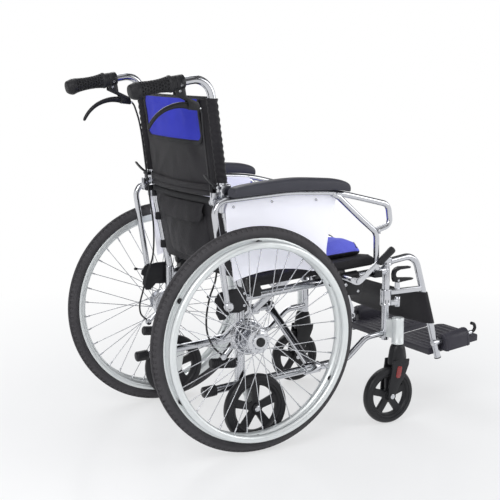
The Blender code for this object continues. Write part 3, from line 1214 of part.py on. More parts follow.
def footplate():
    """Ribbed plate with a skirt and the hinge block that turns on the hanger's rod."""
    y_axis = FRAME_Y + PLATE_GAP
    rear = PLATE_PIVOT_X + PLATE_REAR
    front = rear + PLATE_LENGTH
    top = PLATE_PIVOT_Z - 0.019
    outer = FRAME_Y - HANGER_RADIUS - 0.0035
    deck = box((rear, PLATE_INNER_Y, top - PLATE_THICKNESS), (front, outer, top))
    corner = 0.022
    trims = together(plate_corner(front, PLATE_INNER_Y, -1, 1, corner, top),
                     plate_corner(rear, PLATE_INNER_Y, 1, 1, corner, top))
    ribs = []
    pitch = (PLATE_LENGTH - 0.030) / (PLATE_RIBS - 1)
    for k in range(PLATE_RIBS):
        x = rear + 0.015 + pitch * k
        ribs.append(box((x - 0.0028, PLATE_INNER_Y + 0.012, top - 0.001),
                        (x + 0.0028, outer - 0.010, top + PLATE_RIB_HEIGHT)))
    skirts = together(box((rear, PLATE_INNER_Y + corner, top - PLATE_THICKNESS - PLATE_SKIRT),
                          (rear + 0.004, outer, top - 0.002)),
                      box((front - 0.004, PLATE_INNER_Y + corner, top - PLATE_THICKNESS - PLATE_SKIRT * 0.5),
                          (front, outer, top - 0.002)))
    block_rear = PLATE_PIVOT_X + PLATE_BOSS_FRONT
    block_front = block_rear + PLATE_BLOCK_LENGTH - 0.006
    section = ([(y_axis + PLATE_BLOCK_RADIUS * math.cos(math.radians(a)),
                 PLATE_PIVOT_Z + PLATE_BLOCK_RADIUS * math.sin(math.radians(a))) for a in range(0, 181, 30)]
               + [(y_axis - PLATE_BLOCK_RADIUS, PLATE_PIVOT_Z - PLATE_BLOCK_DROP + 0.004),
                  (y_axis + PLATE_BLOCK_RADIUS, PLATE_PIVOT_Z - PLATE_BLOCK_DROP + 0.004)])
    block = skin([[(x, y, z) for y, z in section] for x in (block_rear, block_front)])
    body = union(cut(deck, trims), together(*ribs), skirts, block)
    made = cut(body, rod((PLATE_PIVOT_X - 0.05, y_axis, PLATE_PIVOT_Z), (PLATE_PIVOT_X + 0.3, y_axis, PLATE_PIVOT_Z),
                         PLATE_ROD_RADIUS + RUN_GAP, 10))
    return pitched(made, PLATE_PITCH, PLATE_PIVOT_X - 0.004, PLATE_PIVOT_Z)


def plate_corner(x, y, way_x, way_y, size, top):
    """The piece that rounds one corner of the deck."""
    centre = (x + way_x * size, y + way_y * size)
    start = 180 if way_x > 0 else 270
    outline = [(x - way_x * 0.01, y - way_y * 0.01)]
    curve = arc(centre, size, start, start + 90, 4)
    if way_x > 0:
        ends = [(x - way_x * 0.01, curve[0][1]), *curve, (curve[-1][0], y - way_y * 0.01)]
    else:
        ends = [(curve[0][0], y - way_y * 0.01), *curve, (x - way_x * 0.01, curve[-1][1])]
    outline += ends
    return skin([[(a, b, z) for a, b in outline] for z in (top - 0.05, top + 0.02)])


def calf_strap():
    """Strap behind the calves, looped round both hangers' tubes."""
    tilt = (hanger_x(STRAP_BOTTOM) - hanger_x(STRAP_TOP)) / (STRAP_TOP - STRAP_BOTTOM)
    wall = 0.0035
    offset = HANGER_RADIUS + SEAT_GAP + STRAP_THICKNESS / 2 + 0.0005
    rings = []
    columns = 12
    edge = FRAME_Y - 0.001
    for z in (STRAP_BOTTOM, STRAP_TOP):
        base = hanger_x(z) - offset / math.cos(math.atan(tilt))
        rear, front = [], []
        for c in range(columns + 1):
            y = -edge + 2 * edge * c / columns
            sag = 0.020 * (1 - (y / edge) ** 2)
            front.append((base - sag + STRAP_THICKNESS / 2, y, z))
            rear.append((base - sag - STRAP_THICKNESS / 2, y, z))
        rings.append(front + rear[::-1])
    band = skin(rings)
    loops, bores = [], []
    for y in (-FRAME_Y, FRAME_Y):
        low = Vector((hanger_x(STRAP_BOTTOM + 0.004), y, STRAP_BOTTOM + 0.004))
        high = Vector((hanger_x(STRAP_TOP - 0.004), y, STRAP_TOP - 0.004))
        way = (high - low).normalized()
        loops.append(rod(low, high, HANGER_RADIUS + SEAT_GAP + wall, TUBE_SIDES))
        bores.append(rod(low - way * 0.05, high + way * 0.05, HANGER_RADIUS + SEAT_GAP))
    return cut(union(band, *loops), *bores)


# Cables


def cable_route():
    """From the lever's clamp, down behind the back posts, to the band brake's arm."""
    inside = FRAME_Y - HINGE_BLOCK_HALF - CABLE_RADIUS - 0.0015
    end_x, end_z = BRAKE_ARM_END
    arm_y = BRAKE_INNER_Y + 0.006
    top_x, top_z = LEVER_PIVOT[0] + CABLE_STOP_FRONT, LEVER_PIVOT[1] - 0.006
    return [(top_x + 2 * SEAT_GAP, FRAME_Y, top_z), (top_x + 0.0055, FRAME_Y - 0.001, top_z - 0.0014),
            (top_x + 0.0130, FRAME_Y - 0.006, top_z - 0.0170),
            (post_x(0.79) - 0.0250, inside, 0.7900), (post_x(0.66) - 0.0250, inside, 0.6600),
            (lower_post_x(0.60) - 0.0280, inside, 0.6000), (lower_post_x(0.52) - 0.0330, inside, 0.5200),
            (-0.0660, inside, 0.4400), (-0.0840, inside, 0.3900), (-0.0960, inside + 0.004, 0.3400),
            (-0.1000, inside + 0.018, 0.3000), (-0.0900, arm_y - 0.003, 0.2680),
            (end_x - 0.0050, arm_y, end_z + 0.0076)]


def smooth_route(route, share):
    """Points of a smooth curve through a route, with the same number between each two of its own."""
    points = [Vector(p) for p in route]
    out = []
    for i in range(len(points) - 1):
        before, here, there = points[max(i - 1, 0)], points[i], points[i + 1]
        after = points[min(i + 2, len(points) - 1)]
        for k in range(share):
            t = k / share
            out.append(0.5 * (2 * here + (there - before) * t + (2 * before - 5 * here + 4 * there - after) * t ** 2
                              + (3 * here - before - 3 * there + after) * t ** 3))
    out.append(points[-1])
    return out


def place_cable(name, side, material):
    """A cable is a curve with a round bevel and filled caps."""
    curve = bpy.data.curves.new(name, "CURVE")
    curve.dimensions = "3D"
    curve.bevel_depth = CABLE_RADIUS
    curve.bevel_resolution = 2
    curve.use_fill_caps = True
    route = smooth_route(cable_route(), 2)
    spline = curve.splines.new("POLY")
    spline.points.add(len(route) - 1)
    for point, place_of in zip(spline.points, route):
        point.co = (place_of.x, side * (place_of.y - FRAME_Y), place_of.z, 1)
    curve.materials.append(material)
    piece = bpy.data.objects.new(name, curve)
    piece.location = (0, side * FRAME_Y, 0)
    bpy.context.scene.collection.objects.link(piece)
    return piece


# The whole chair


def side_pieces(name, side, finishes):
    """Places every piece that both sides have."""
    axle_at = (0, WHEEL_Y, WHEEL_RADIUS)
    caster_axle = (CASTER_STEM_X - CASTER_TRAIL, CASTER_Y, CASTER_RADIUS)
    transit_at = (TRANSIT_X, TRANSIT_Y, TRANSIT_Z)
    pin_x, pin_z = hinge_pin()
    swing_at = (FRONT_UPRIGHT_X, FRAME_Y, FRONT_UPRIGHT_BOTTOM)
    plate_at = (PLATE_PIVOT_X - 0.004, FRAME_Y + PLATE_GAP, PLATE_PIVOT_Z)
    release = release_pivot()
    pieces = (
        ("side_frame", side_frame, "frame", (0, FRAME_Y, 0)),
        ("tipping_sleeve", tipping_sleeve, "grip", (0, FRAME_Y, 0)),
        ("rail_cap", rail_cap, "black", (0, FRAME_Y, 0)),
        ("drive_tyre", drive_tyre, "tyre", axle_at),
        ("drive_wheel", drive_wheel, "rim", axle_at),
        ("hand_rim", hand_rim, "rim", axle_at),
        ("wheel_axle", axle, "steel", axle_at),
        ("band_brake", band_brake, "steel", axle_at),
        ("transit_wheel", lambda: cast_wheel(TRANSIT_RADIUS, TRANSIT_HALF_WIDTH, transit_at), "black", transit_at),
        ("caster_fork", caster_fork, "black", (CASTER_STEM_X, CASTER_Y, HOUSING_BOTTOM)),
        ("caster_wheel", lambda: cast_wheel(CASTER_RADIUS, CASTER_HALF_WIDTH, caster_axle), "black", caster_axle),
        ("armrest_frame", armrest_frame, "frame", (ARM_PIVOT[0], ARM_Y, ARM_PIVOT[1])),
        ("armrest_pad", armrest_pad, "pad", (ARM_PIVOT[0], ARM_Y, ARM_PIVOT[1])),
        ("side_panel", side_panel, "panel", (ARM_PIVOT[0], ARM_Y, ARM_PIVOT[1])),
        ("armrest_lock", arm_lock, "black", (ARM_PIVOT[0], ARM_Y, ARM_PIVOT[1])),
        ("back_post", back_post, "frame", (pin_x, FRAME_Y, pin_z)),
        ("push_grip", push_grip, "grip", (pin_x, FRAME_Y, pin_z)),
        ("brake_clamp", brake_clamp, "black", (pin_x, FRAME_Y, pin_z)),
        ("brake_lever", brake_lever, "black", (LEVER_PIVOT[0], FRAME_Y, LEVER_PIVOT[1])),
        ("back_release", back_release, "black", (release[0], FRAME_Y, release[1])),
        ("parking_bracket", park_bracket, "steel", (PARK_PIVOT[0], FRAME_Y, PARK_PIVOT[1])),
        ("parking_lever", park_lever, "steel", (PARK_PIVOT[0], PARK_LEVER_Y, PARK_PIVOT[1])),
        ("footrest_hanger", hanger, "frame", swing_at),
        ("hanger_latch", latch, "black", (LATCH_PIVOT[0], FRAME_Y, LATCH_PIVOT[1])),
        ("footplate", footplate, "black", plate_at),
    )
    made = [place(f"{label}_{name}", build(), finishes[look], side, origin)
            for label, build, look, origin in pieces]
    return made + [place_cable(f"brake_cable_{name}", side, finishes["black"])]


def shared_pieces(finishes):
    """Places the cross braces and the soft parts that join the two sides."""
    foot_z = LOWER_RAIL_Z
    middle = level_to_rail_point(along_rail(BRACE_LEFT_X), 0, brace_height() / 2)
    pin_x, pin_z = hinge_pin()
    return [
        place("cross_brace_right", brace(BRACE_RIGHT_X, -1, BRACE_LEFT_X), finishes["frame"],
              origin=(0, -FRAME_Y, foot_z)),
        place("cross_brace_left", brace(BRACE_LEFT_X, 1, BRACE_RIGHT_X), finishes["frame"], origin=middle),
        place("seat_sling", sling(), finishes["fabric"]),
        place("seat_cushion", cushion(), finishes["blue"]),
        place("upper_upholstery", upper_upholstery(), finishes["blue"], origin=(pin_x, 0, pin_z)),
        place("lower_upholstery", lower_upholstery(), finishes["fabric"]),
        place("calf_strap", calf_strap(), finishes["fabric"], origin=(FRONT_UPRIGHT_X, -FRAME_Y, STRAP_BOTTOM)),
    ]


def level_to_rail_point(s, y, high):
    """The chair's coordinates of a point in the braces' level frame."""
    return (s * math.cos(RAIL_PITCH) - high * math.sin(RAIL_PITCH), y,
            LOWER_RAIL_Z + s * math.sin(RAIL_PITCH) + high * math.cos(RAIL_PITCH))


def build():
    for old in list(bpy.data.objects):
        bpy.data.objects.remove(old)
    finishes = make_finishes()
    pieces = []
    for name, side in SIDES:
        pieces += side_pieces(name, side, finishes)
    pieces += shared_pieces(finishes)
    corners = [piece.location + vertex.co for piece in pieces if piece.type == "MESH"
               for vertex in piece.data.vertices]
    middle = (min(c.x for c in corners) + max(c.x for c in corners)) / 2
    chair = bpy.data.objects.new("wheelchair", None)
    chair.location = (-middle, 0, 0)
    bpy.context.scene.collection.objects.link(chair)
    for piece in pieces:
        piece.parent = chair
    print(f"{len(pieces)} pieces; the rear axle stands at x = {-middle:.4f}")


build()
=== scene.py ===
# %% [markdown]
# # A folding wheelchair, dressed on its own CAD frame
# The chair has two welded tube sides joined by a cross brace, two spoked drive wheels with hand rims, four
# small wheels, flip-up armrests, swing-away footrests and a back that folds. The solids already stand in
# place, so this lesson only gives them rounder tubes, cloth, rubber and metal. The load comes first,
# because every piece made later rides on one of the bodies that it brings in.

# %% Load the frame
import math

import bmesh
import bpy
from mathutils import Matrix, Vector, noise
from mathutils.bvhtree import BVHTree


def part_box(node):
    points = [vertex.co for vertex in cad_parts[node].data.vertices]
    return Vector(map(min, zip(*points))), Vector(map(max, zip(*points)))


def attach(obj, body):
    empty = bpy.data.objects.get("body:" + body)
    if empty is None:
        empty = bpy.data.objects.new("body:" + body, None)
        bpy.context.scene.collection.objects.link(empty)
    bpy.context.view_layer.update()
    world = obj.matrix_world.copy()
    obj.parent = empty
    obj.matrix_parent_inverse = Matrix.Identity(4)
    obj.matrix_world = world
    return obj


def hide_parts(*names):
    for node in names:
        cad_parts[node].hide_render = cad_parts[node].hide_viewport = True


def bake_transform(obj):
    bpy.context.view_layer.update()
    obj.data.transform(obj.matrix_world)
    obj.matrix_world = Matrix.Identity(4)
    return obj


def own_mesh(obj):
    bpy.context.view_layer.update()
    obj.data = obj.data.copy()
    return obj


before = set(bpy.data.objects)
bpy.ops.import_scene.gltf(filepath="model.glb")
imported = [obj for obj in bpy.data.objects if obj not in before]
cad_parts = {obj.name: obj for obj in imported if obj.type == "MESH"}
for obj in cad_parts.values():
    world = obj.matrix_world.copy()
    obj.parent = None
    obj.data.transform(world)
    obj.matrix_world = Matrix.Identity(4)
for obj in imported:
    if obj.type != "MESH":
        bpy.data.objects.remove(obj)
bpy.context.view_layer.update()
low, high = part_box("drive_tyre_left")
AXLE_X = (low.x + high.x) / 2

# %% [markdown]
# All the sizes below are written in the chair's own way: x runs forward from the drive axle, y to the
# sitter's left, z up from the floor. A finished mesh is slid by AXLE_X into the frame's place. Both halves
# come from the same lines: a side is +1 for the left and -1 for the right, and it only multiplies y.

# %% Sizes that many pieces share
SIDES = (("right", -1), ("left", 1))
FRAME_Y = 0.206
WHEEL_Y = 0.273
WHEEL_R = 0.2875
RAIL_PITCH = 4
RAIL_TAN = math.tan(math.radians(RAIL_PITCH))
RAIL_COS = math.cos(math.radians(RAIL_PITCH))
RAIL_WAY = Vector((1, 0, RAIL_TAN)).normalized()
RAIL_R = 0.011
POST_R = 0.0105
UPPER_RAIL_Z = 0.384
LOWER_RAIL_Z = 0.1585
SEAT_RAIL_Z = 0.4185
REAR_POST_X = -0.008
FRONT_POST_X = 0.445
HINGE_X, HINGE_Z = -0.0525, 0.640
BRAKE_ARM_Y = 0.2252


def post_x(z):
    """The back post leans back as it climbs."""
    return HINGE_X - 0.131 * (z - HINGE_Z)


def lower_post_x(z):
    """Below the hinge the post runs straight down to the rear upright, which ends at 0.403."""
    return REAR_POST_X + (z - 0.403) / (HINGE_Z - 0.403) * (HINGE_X - REAR_POST_X)


def rail(x, height, y=FRAME_Y):
    """A point on a rail that climbs four degrees towards the front."""
    return Vector((x, y, height + RAIL_TAN * x))


def sag_of(y, depth=0.014, half=0.1927):
    """How far cloth hung between the posts bellies back at y."""
    return depth * (1 - min(1.0, (y / half) ** 2))


def angles(count, offset=0.5):
    """Angles in radians, evenly round a full turn."""
    return [2 * math.pi * (k + offset) / count for k in range(count)]


def across(reach, steps):
    """Evenly spaced values from reach to minus reach."""
    return [reach * (1 - 2 * k / steps) for k in range(steps + 1)]


def heading(line, i):
    """The direction of a line at its point i, from the points on either side."""
    return (line[min(i + 1, len(line) - 1)] - line[max(i - 1, 0)]).normalized()


def squared(value, power):
    """A sine or cosine pushed outwards, so that an oval made from it gets squarer shoulders."""
    return math.copysign(abs(value) ** power, value)


print("rails climb", RAIL_PITCH, "degrees, frame tubes at y", FRAME_Y)

# %% [markdown]
# Meshes are built in small helpers. Each closes its shape, merges points that meet, and turns the faces
# outwards, because a tube or a turned ring that is mirrored by its y values comes out inside out.

# %% Mesh helpers
def mesh_of(bm, name="shape"):
    mesh = bpy.data.meshes.new(name)
    bm.to_mesh(mesh)
    bm.free()
    return mesh


def closed(bm):
    """Turns a bmesh into a mesh with merged points and faces that look outwards."""
    bmesh.ops.remove_doubles(bm, verts=bm.verts, dist=1e-6)
    bmesh.ops.recalc_face_normals(bm, faces=bm.faces)
    return mesh_of(bm)


def strip(bm, a, b):
    """Joins two rows of points by a row of faces."""
    for i in range(len(a) - 1):
        bm.faces.new((a[i], a[i + 1], b[i + 1], b[i]))


def loft(rings, loop=False):
    """Skins rings of points that all have the same count, and caps both ends unless they meet in a loop."""
    bm = bmesh.new()
    rows = [[bm.verts.new(p) for p in ring] for ring in rings]
    n = len(rows[0])
    pairs = list(zip(rows, rows[1:])) + ([(rows[-1], rows[0])] if loop else [])
    for a, b in pairs:
        for i in range(n):
            j = (i + 1) % n
            bm.faces.new((a[i], a[j], b[j], b[i]))
    if not loop:
        bm.faces.new(rows[0])
        bm.faces.new(rows[-1])
    return closed(bm)


def lathe(profile, centre, steps=48, axis="Y", ring=True):
    """Turns (radius, distance) points about an axis through centre. A ring's profile is closed."""
    centre = Vector(centre)
    rings = []
    for k in range(steps):
        c = math.cos(2 * math.pi * k / steps)
        s = math.sin(2 * math.pi * k / steps)
        if axis == "Y":
            rings.append([centre + Vector((r * c, a, r * s)) for r, a in profile])
        elif axis == "Z":
            rings.append([centre + Vector((r * c, r * s, a)) for r, a in profile])
        else:
            rings.append([centre + Vector((a, r * c, r * s)) for r, a in profile])
    if ring:
        return loft(rings, loop=True)
    bm = bmesh.new()
    rows = [[bm.verts.new(p) for p in one] for one in rings]
    for k in range(steps):
        strip(bm, rows[k], rows[(k + 1) % steps])
    bm.faces.new([row[0] for row in rows])
    bm.faces.new([row[-1] for row in rows])
    return closed(bm)


def turned(profile, s, x, z, steps, ring=False):
    """A turned shape on a line across the chair at (x, z), with its distances measured out along side s."""
    return lathe([(r, s * a) for r, a in profile], (x, 0, z), steps, ring=ring)


def join(*meshes):
    bm = bmesh.new()
    for mesh in meshes:
        bm.from_mesh(mesh)
    return mesh_of(bm)


def sweep(points, radii, sides=16, flat=1.0):
    """A tube whose radius changes along its path; flat squeezes it across the path's own plane."""
    path = [Vector(p) for p in points]
    if not isinstance(radii, (list, tuple)):
        radii = [radii] * len(path)
    ways = [(b - a).normalized() for a, b in zip(path, path[1:])]
    side = ways[0].cross(Vector((0, 1, 0)))
    if side.length < 0.1:
        side = ways[0].cross(Vector((0, 0, 1)))
    rings = []
    for i, p in enumerate(path):
        along = (ways[max(i - 1, 0)] + ways[min(i, len(ways) - 1)]).normalized()
        side = (side - side.dot(along) * along).normalized()
        other = along.cross(side)
        rings.append([p + radii[i] * (math.cos(t) * side + flat * math.sin(t) * other)
                      for t in angles(sides)])
    return loft(rings)


def stepped(start, way, steps, sides):
    """A round bar along way, whose (distance, radius) steps are measured from start."""
    return sweep([start + way * d for d, _ in steps], [r for _, r in steps], sides)


def smooth_path(points, share=6):
    """A smooth curve through the points, with share steps between each two."""
    p = [Vector(q) for q in points]
    out = []
    for i in range(len(p) - 1):
        a, b, c, d = p[max(i - 1, 0)], p[i], p[i + 1], p[min(i + 2, len(p) - 1)]
        for k in range(share):
            t = k / share
            out.append(0.5 * (2 * b + (c - a) * t + (2 * a - 5 * b + 4 * c - d) * t ** 2
                              + (3 * b - a - 3 * c + d) * t ** 3))
    return out + [p[-1]]


def extrude(outline, y_low, y_high):
    """A plate from an (x, z) outline, lying across the chair between two y values."""
    return loft([[(x, y, z) for x, z in outline] for y in (y_low, y_high)])


def arc(centre, radius, start, end, steps):
    return [(centre[0] + radius * math.cos(math.radians(start + (end - start) * k / steps)),
             centre[1] + radius * math.sin(math.radians(start + (end - start) * k / steps)))
            for k in range(steps + 1)]


def block(low_corner, high_corner):
    (a, b, c), (d, e, f) = low_corner, high_corner
    return loft([[(a, b, z), (d, b, z), (d, e, z), (a, e, z)] for z in (c, f)])


def side_block(s, xs, ys, zs):
    """A block between two x, two y and two z values, with y measured out along side s."""
    near, far = sorted((s * ys[0], s * ys[1]))
    return block((xs[0], near, zs[0]), (xs[1], far, zs[1]))


def tipped(mesh, degrees, x, z):
    """Turns a mesh nose-up about the line across the chair at (x, z)."""
    pivot = Matrix.Translation((x, 0, z))
    mesh.transform(pivot @ Matrix.Rotation(-math.radians(degrees), 4, "Y") @ pivot.inverted())
    return mesh


cube = block((0, 0, 0), (1, 1, 1))
print("a block has", len(cube.vertices), "points and", len(cube.polygons), "faces")
bpy.data.meshes.remove(cube)

# %% [markdown]
# Cast and moulded parts have no knife edges, so most plates and blocks get a small bevel. The Bevel
# modifier finds the edges by their angle, and its result is baked straight into the mesh. Holes are cut the
# same way with a Boolean. Working on a throw-away object keeps the scene tidy.

# %% Modifier helpers
def placed(name, data):
    """A new object, linked into the scene."""
    made = bpy.data.objects.new(name, data)
    bpy.context.scene.collection.objects.link(made)
    return made


def result_of(body):
    """The mesh that an object's modifiers make. The object itself is removed."""
    seen = body.evaluated_get(bpy.context.evaluated_depsgraph_get())
    out = bpy.data.meshes.new_from_object(seen)
    bpy.data.objects.remove(body)
    return out


def baked(mesh, kind, **settings):
    """Runs one modifier on a throw-away object and returns the new mesh."""
    body = placed("work", mesh)
    step = body.modifiers.new(kind, kind)
    for key, value in settings.items():
        setattr(step, key, value)
    return result_of(body)


def bevelled(mesh, width=0.001, segments=2, angle=30):
    return baked(mesh, "BEVEL", width=width, segments=segments, limit_method="ANGLE",
                 angle_limit=math.radians(angle),
                 use_clamp_overlap=True)


def plate(outline, s, ys, width=0.001, segments=2):
    """A plate with soft edges from an (x, z) outline, between two y values measured out along side s."""
    return bevelled(extrude(outline, s * ys[0], s * ys[1]), width, segments)


def cut_with(mesh, tool):
    cutter = placed("cutter", tool)
    out = baked(mesh, "BOOLEAN", operation="DIFFERENCE", object=cutter)
    bpy.data.objects.remove(cutter)
    return out


def subdivided(mesh, levels=1):
    return baked(mesh, "SUBSURF", levels=levels, render_levels=levels)


soft_cube = bevelled(block((0, 0, 0), (1, 1, 1)), 0.1)
print("a bevelled block has", len(soft_cube.polygons), "faces")
bpy.data.meshes.remove(soft_cube)

# %% [markdown]
# A chair frame is tube bent on a few mandrels, so its shape follows a rule: straight runs, and an arc of a
# known radius at each corner. Geometry Nodes can say exactly that. The path goes in as a few points that
# carry their own bend radius, Fillet Curve rounds the corners, and Curve to Mesh gives the round section
# with closed ends. The node helpers come first, and the finishes use them too.

# %% Node helpers
def feed(tree, sockets, **values):
    """Links outputs to sockets, or sets the sockets' own values. An underscore in a name is a space."""
    for name, value in values.items():
        socket = sockets[name.replace("_", " ")]
        if isinstance(value, bpy.types.NodeSocket):
            tree.links.new(value, socket)
        else:
            socket.default_value = value


def add(tree, kind, settings=(), **inputs):
    """Adds a node with its settings and inputs, and returns its outputs."""
    made = tree.nodes.new(kind)
    for key, value in settings:
        setattr(made, key, value)
    feed(tree, made.inputs, **inputs)
    return made.outputs


def math_node(tree, operation, a, b=None, clamp=False):
    node = tree.nodes.new("ShaderNodeMath")
    node.operation = operation
    node.use_clamp = clamp
    for socket, value in zip(node.inputs, (a, b)):
        if isinstance(value, (int, float)):
            socket.default_value = value
        elif value is not None:
            tree.links.new(value, socket)
    return node.outputs[0]


def new_group(name, kind, inputs, outputs):
    """A node group with inputs as (label, type, value) and outputs as (label, type), and its two ends."""
    tree = bpy.data.node_groups.new(name, kind)
    for label, of_type, value in inputs:
        socket = tree.interface.new_socket(label, in_out="INPUT", socket_type=f"NodeSocket{of_type}")
        if value is not None:
            socket.default_value = value
    for label, of_type in outputs:
        tree.interface.new_socket(label, in_out="OUTPUT", socket_type=f"NodeSocket{of_type}")
    return tree, tree.nodes.new("NodeGroupInput").outputs, tree.nodes.new("NodeGroupOutput").inputs


def geometry_group(name, *inputs):
    """A geometry tree that takes a mesh, a few inputs and a material."""
    every = (("Geometry", "Geometry", None), *inputs, ("Material", "Material", None))
    return new_group(name, "GeometryNodeTree", every, (("Geometry", "Geometry"),))


def finish_tree(tree, source, start, end):
    """Ends a tree with real geometry, then its material."""
    real = add(tree, "GeometryNodeRealizeInstances", Geometry=source)
    paint = add(tree, "GeometryNodeSetMaterial", Geometry=real["Geometry"], Material=start["Material"])
    feed(tree, end, Geometry=paint["Geometry"])


def run_tree(tree, mesh, **values):
    """Runs a tree on a mesh. Inputs are set by their identifiers, found from their names."""
    body = placed("work", mesh)
    step = body.modifiers.new("tree", "NODES")
    step.node_group = tree
    names = {item.name: item.identifier for item in tree.interface.items_tree
             if item.item_type == "SOCKET" and item.in_out == "INPUT"}
    for label, value in values.items():
        step[names[label.replace("_", " ")]] = value
    return result_of(body)


tube_tree, start, end = geometry_group("bent_tube", ("Radius", "Float", 0.01), ("Sides", "Int", 24),
                                       ("Arc Points", "Int", 10))
line = add(tube_tree, "GeometryNodeMeshToCurve", Mesh=start["Geometry"])
bend = add(tube_tree, "GeometryNodeInputNamedAttribute", (("data_type", "FLOAT"),), Name="bend")
fillet = add(tube_tree, "GeometryNodeFilletCurve", (("mode", "POLY"),), Curve=line["Curve"],
             Radius=bend["Attribute"], Count=start["Arc Points"])
ring = add(tube_tree, "GeometryNodeCurvePrimitiveCircle", Resolution=start["Sides"], Radius=start["Radius"])
skin = add(tube_tree, "GeometryNodeCurveToMesh", Curve=fillet["Curve"], Profile_Curve=ring["Curve"],
           Fill_Caps=True)
finish_tree(tube_tree, skin["Mesh"], start, end)


def path_mesh(points, bends=0.0):
    """A line of edges whose points carry their bend radius."""
    mesh = bpy.data.meshes.new("path")
    mesh.from_pydata([tuple(p) for p in points], [(i, i + 1) for i in range(len(points) - 1)], [])
    inner = bends if isinstance(bends, (list, tuple)) else [bends] * (len(points) - 2)
    values = mesh.attributes.new("bend", "FLOAT", "POINT")
    values.data.foreach_set("value", [0.0, *inner, 0.0])
    return mesh


def tube(points, radius, bends=0.0, sides=24):
    bm = bmesh.new()
    bm.from_mesh(run_tree(tube_tree, path_mesh(points, bends), Radius=radius, Sides=sides))
    return closed(bm)


def flat_path(points, y):
    return [(x, y, z) for x, z in points]


print("trees", [t.name for t in bpy.data.node_groups])

# %% [markdown]
# Spokes, tread blocks, bolts and hand-rim feet stand in a ring; footplate ribs stand in a row; stitches
# follow a seam. Three more trees do these repeats. The ring turns copies of one cell about a line across
# the chair, the row slides them by a step, and the seam tree lays one small thread loop at each point of an
# evenly divided curve.

# %% Geometry Nodes: rings, rows and seams
ring_tree, start, end = geometry_group("ring_of_copies", ("Count", "Int", 6),
                                       ("Centre", "Vector", (0, 0, 0)))
points = add(ring_tree, "GeometryNodePoints", Count=start["Count"])
copies = add(ring_tree, "GeometryNodeInstanceOnPoints", Points=points[0], Instance=start["Geometry"])
share = math_node(ring_tree, "DIVIDE", add(ring_tree, "GeometryNodeInputIndex")["Index"], start["Count"])
about = add(ring_tree, "ShaderNodeCombineXYZ", Y=math_node(ring_tree, "MULTIPLY", share, 2 * math.pi))
turn = add(ring_tree, "GeometryNodeRotateInstances", Instances=copies["Instances"],
           Rotation=about["Vector"],
           Pivot_Point=start["Centre"], Local_Space=False)
finish_tree(ring_tree, turn["Instances"], start, end)

row_tree, start, end = geometry_group("row_of_copies", ("Count", "Int", 6),
                                      ("Step", "Vector", (0.01, 0, 0)))
points = add(row_tree, "GeometryNodeMeshLine", Count=start["Count"], Offset=start["Step"])
copies = add(row_tree, "GeometryNodeInstanceOnPoints", Points=points["Mesh"], Instance=start["Geometry"])
finish_tree(row_tree, copies["Instances"], start, end)

THREAD_R = 0.00042
seam_tree, start, end = geometry_group("stitched_seam", ("Spacing", "Float", 0.005),
                                       ("Thread Radius", "Float", 0.0005), ("Stretch", "Float", 3.2))
line = add(seam_tree, "GeometryNodeMeshToCurve", Mesh=start["Geometry"])
even = add(seam_tree, "GeometryNodeResampleCurve", (("mode", "LENGTH"),), Curve=line["Curve"],
           Length=start["Spacing"])
tangent = add(seam_tree, "GeometryNodeInputTangent")
along = add(seam_tree, "FunctionNodeAlignRotationToVector", (("axis", "Z"),), Vector=tangent["Tangent"])
bead = add(seam_tree, "GeometryNodeMeshUVSphere", Segments=6, Rings=4, Radius=start["Thread Radius"])
stretch = add(seam_tree, "ShaderNodeCombineXYZ", X=1.0, Y=1.0, Z=start["Stretch"])
copies = add(seam_tree, "GeometryNodeInstanceOnPoints", Points=even["Curve"], Instance=bead["Mesh"],
             Rotation=along["Rotation"], Scale=stretch["Vector"])
finish_tree(seam_tree, copies["Instances"], start, end)


def ring_of(mesh, count, centre):
    return run_tree(ring_tree, mesh, Count=count, Centre=centre)


def row_of(mesh, count, step):
    return run_tree(row_tree, mesh, Count=count, Step=step)


def seam(points, spacing=0.005):
    return run_tree(seam_tree, path_mesh(points), Spacing=spacing, Thread_Radius=THREAD_R)


print("trees", [t.name for t in bpy.data.node_groups])

# %% [markdown]
# Finishes come next. Real metal, rubber and cloth are never one flat colour, so three small node groups add
# what the eye expects: mottle shifts a colour by a soft noise, rubbed gives the fine uneven polish and
# hairline marks of handled metal or plastic, and woven makes the over and under of threads. Each group only
# puts out colours, values and heights, and every material feeds them with its own numbers.

# %% Shader node groups
mottle, start, end = new_group(
    "mottle", "ShaderNodeTree",
    (("Vector", "Vector", (0, 0, 0)), ("Colour", "Color", (0.5, 0.5, 0.5, 1)),
     ("Second Colour", "Color", (0.4, 0.4, 0.4, 1)), ("Scale", "Float", 30.0), ("Amount", "Float", 0.5)),
    (("Colour", "Color"), ("Mask", "Float")))
cloud = add(mottle, "ShaderNodeTexNoise", Vector=start["Vector"], Scale=start["Scale"], Detail=5.0,
            Roughness=0.6)
spread = math_node(mottle, "MULTIPLY", math_node(mottle, "SUBTRACT", cloud["Fac"], 0.3), 2.2, clamp=True)
mask = math_node(mottle, "MULTIPLY", spread, start["Amount"])
blend = add(mottle, "ShaderNodeMix", (("data_type", "RGBA"),), Factor=mask, A=start["Colour"],
            B=start["Second Colour"])
feed(mottle, end, Colour=blend["Result"], Mask=mask)

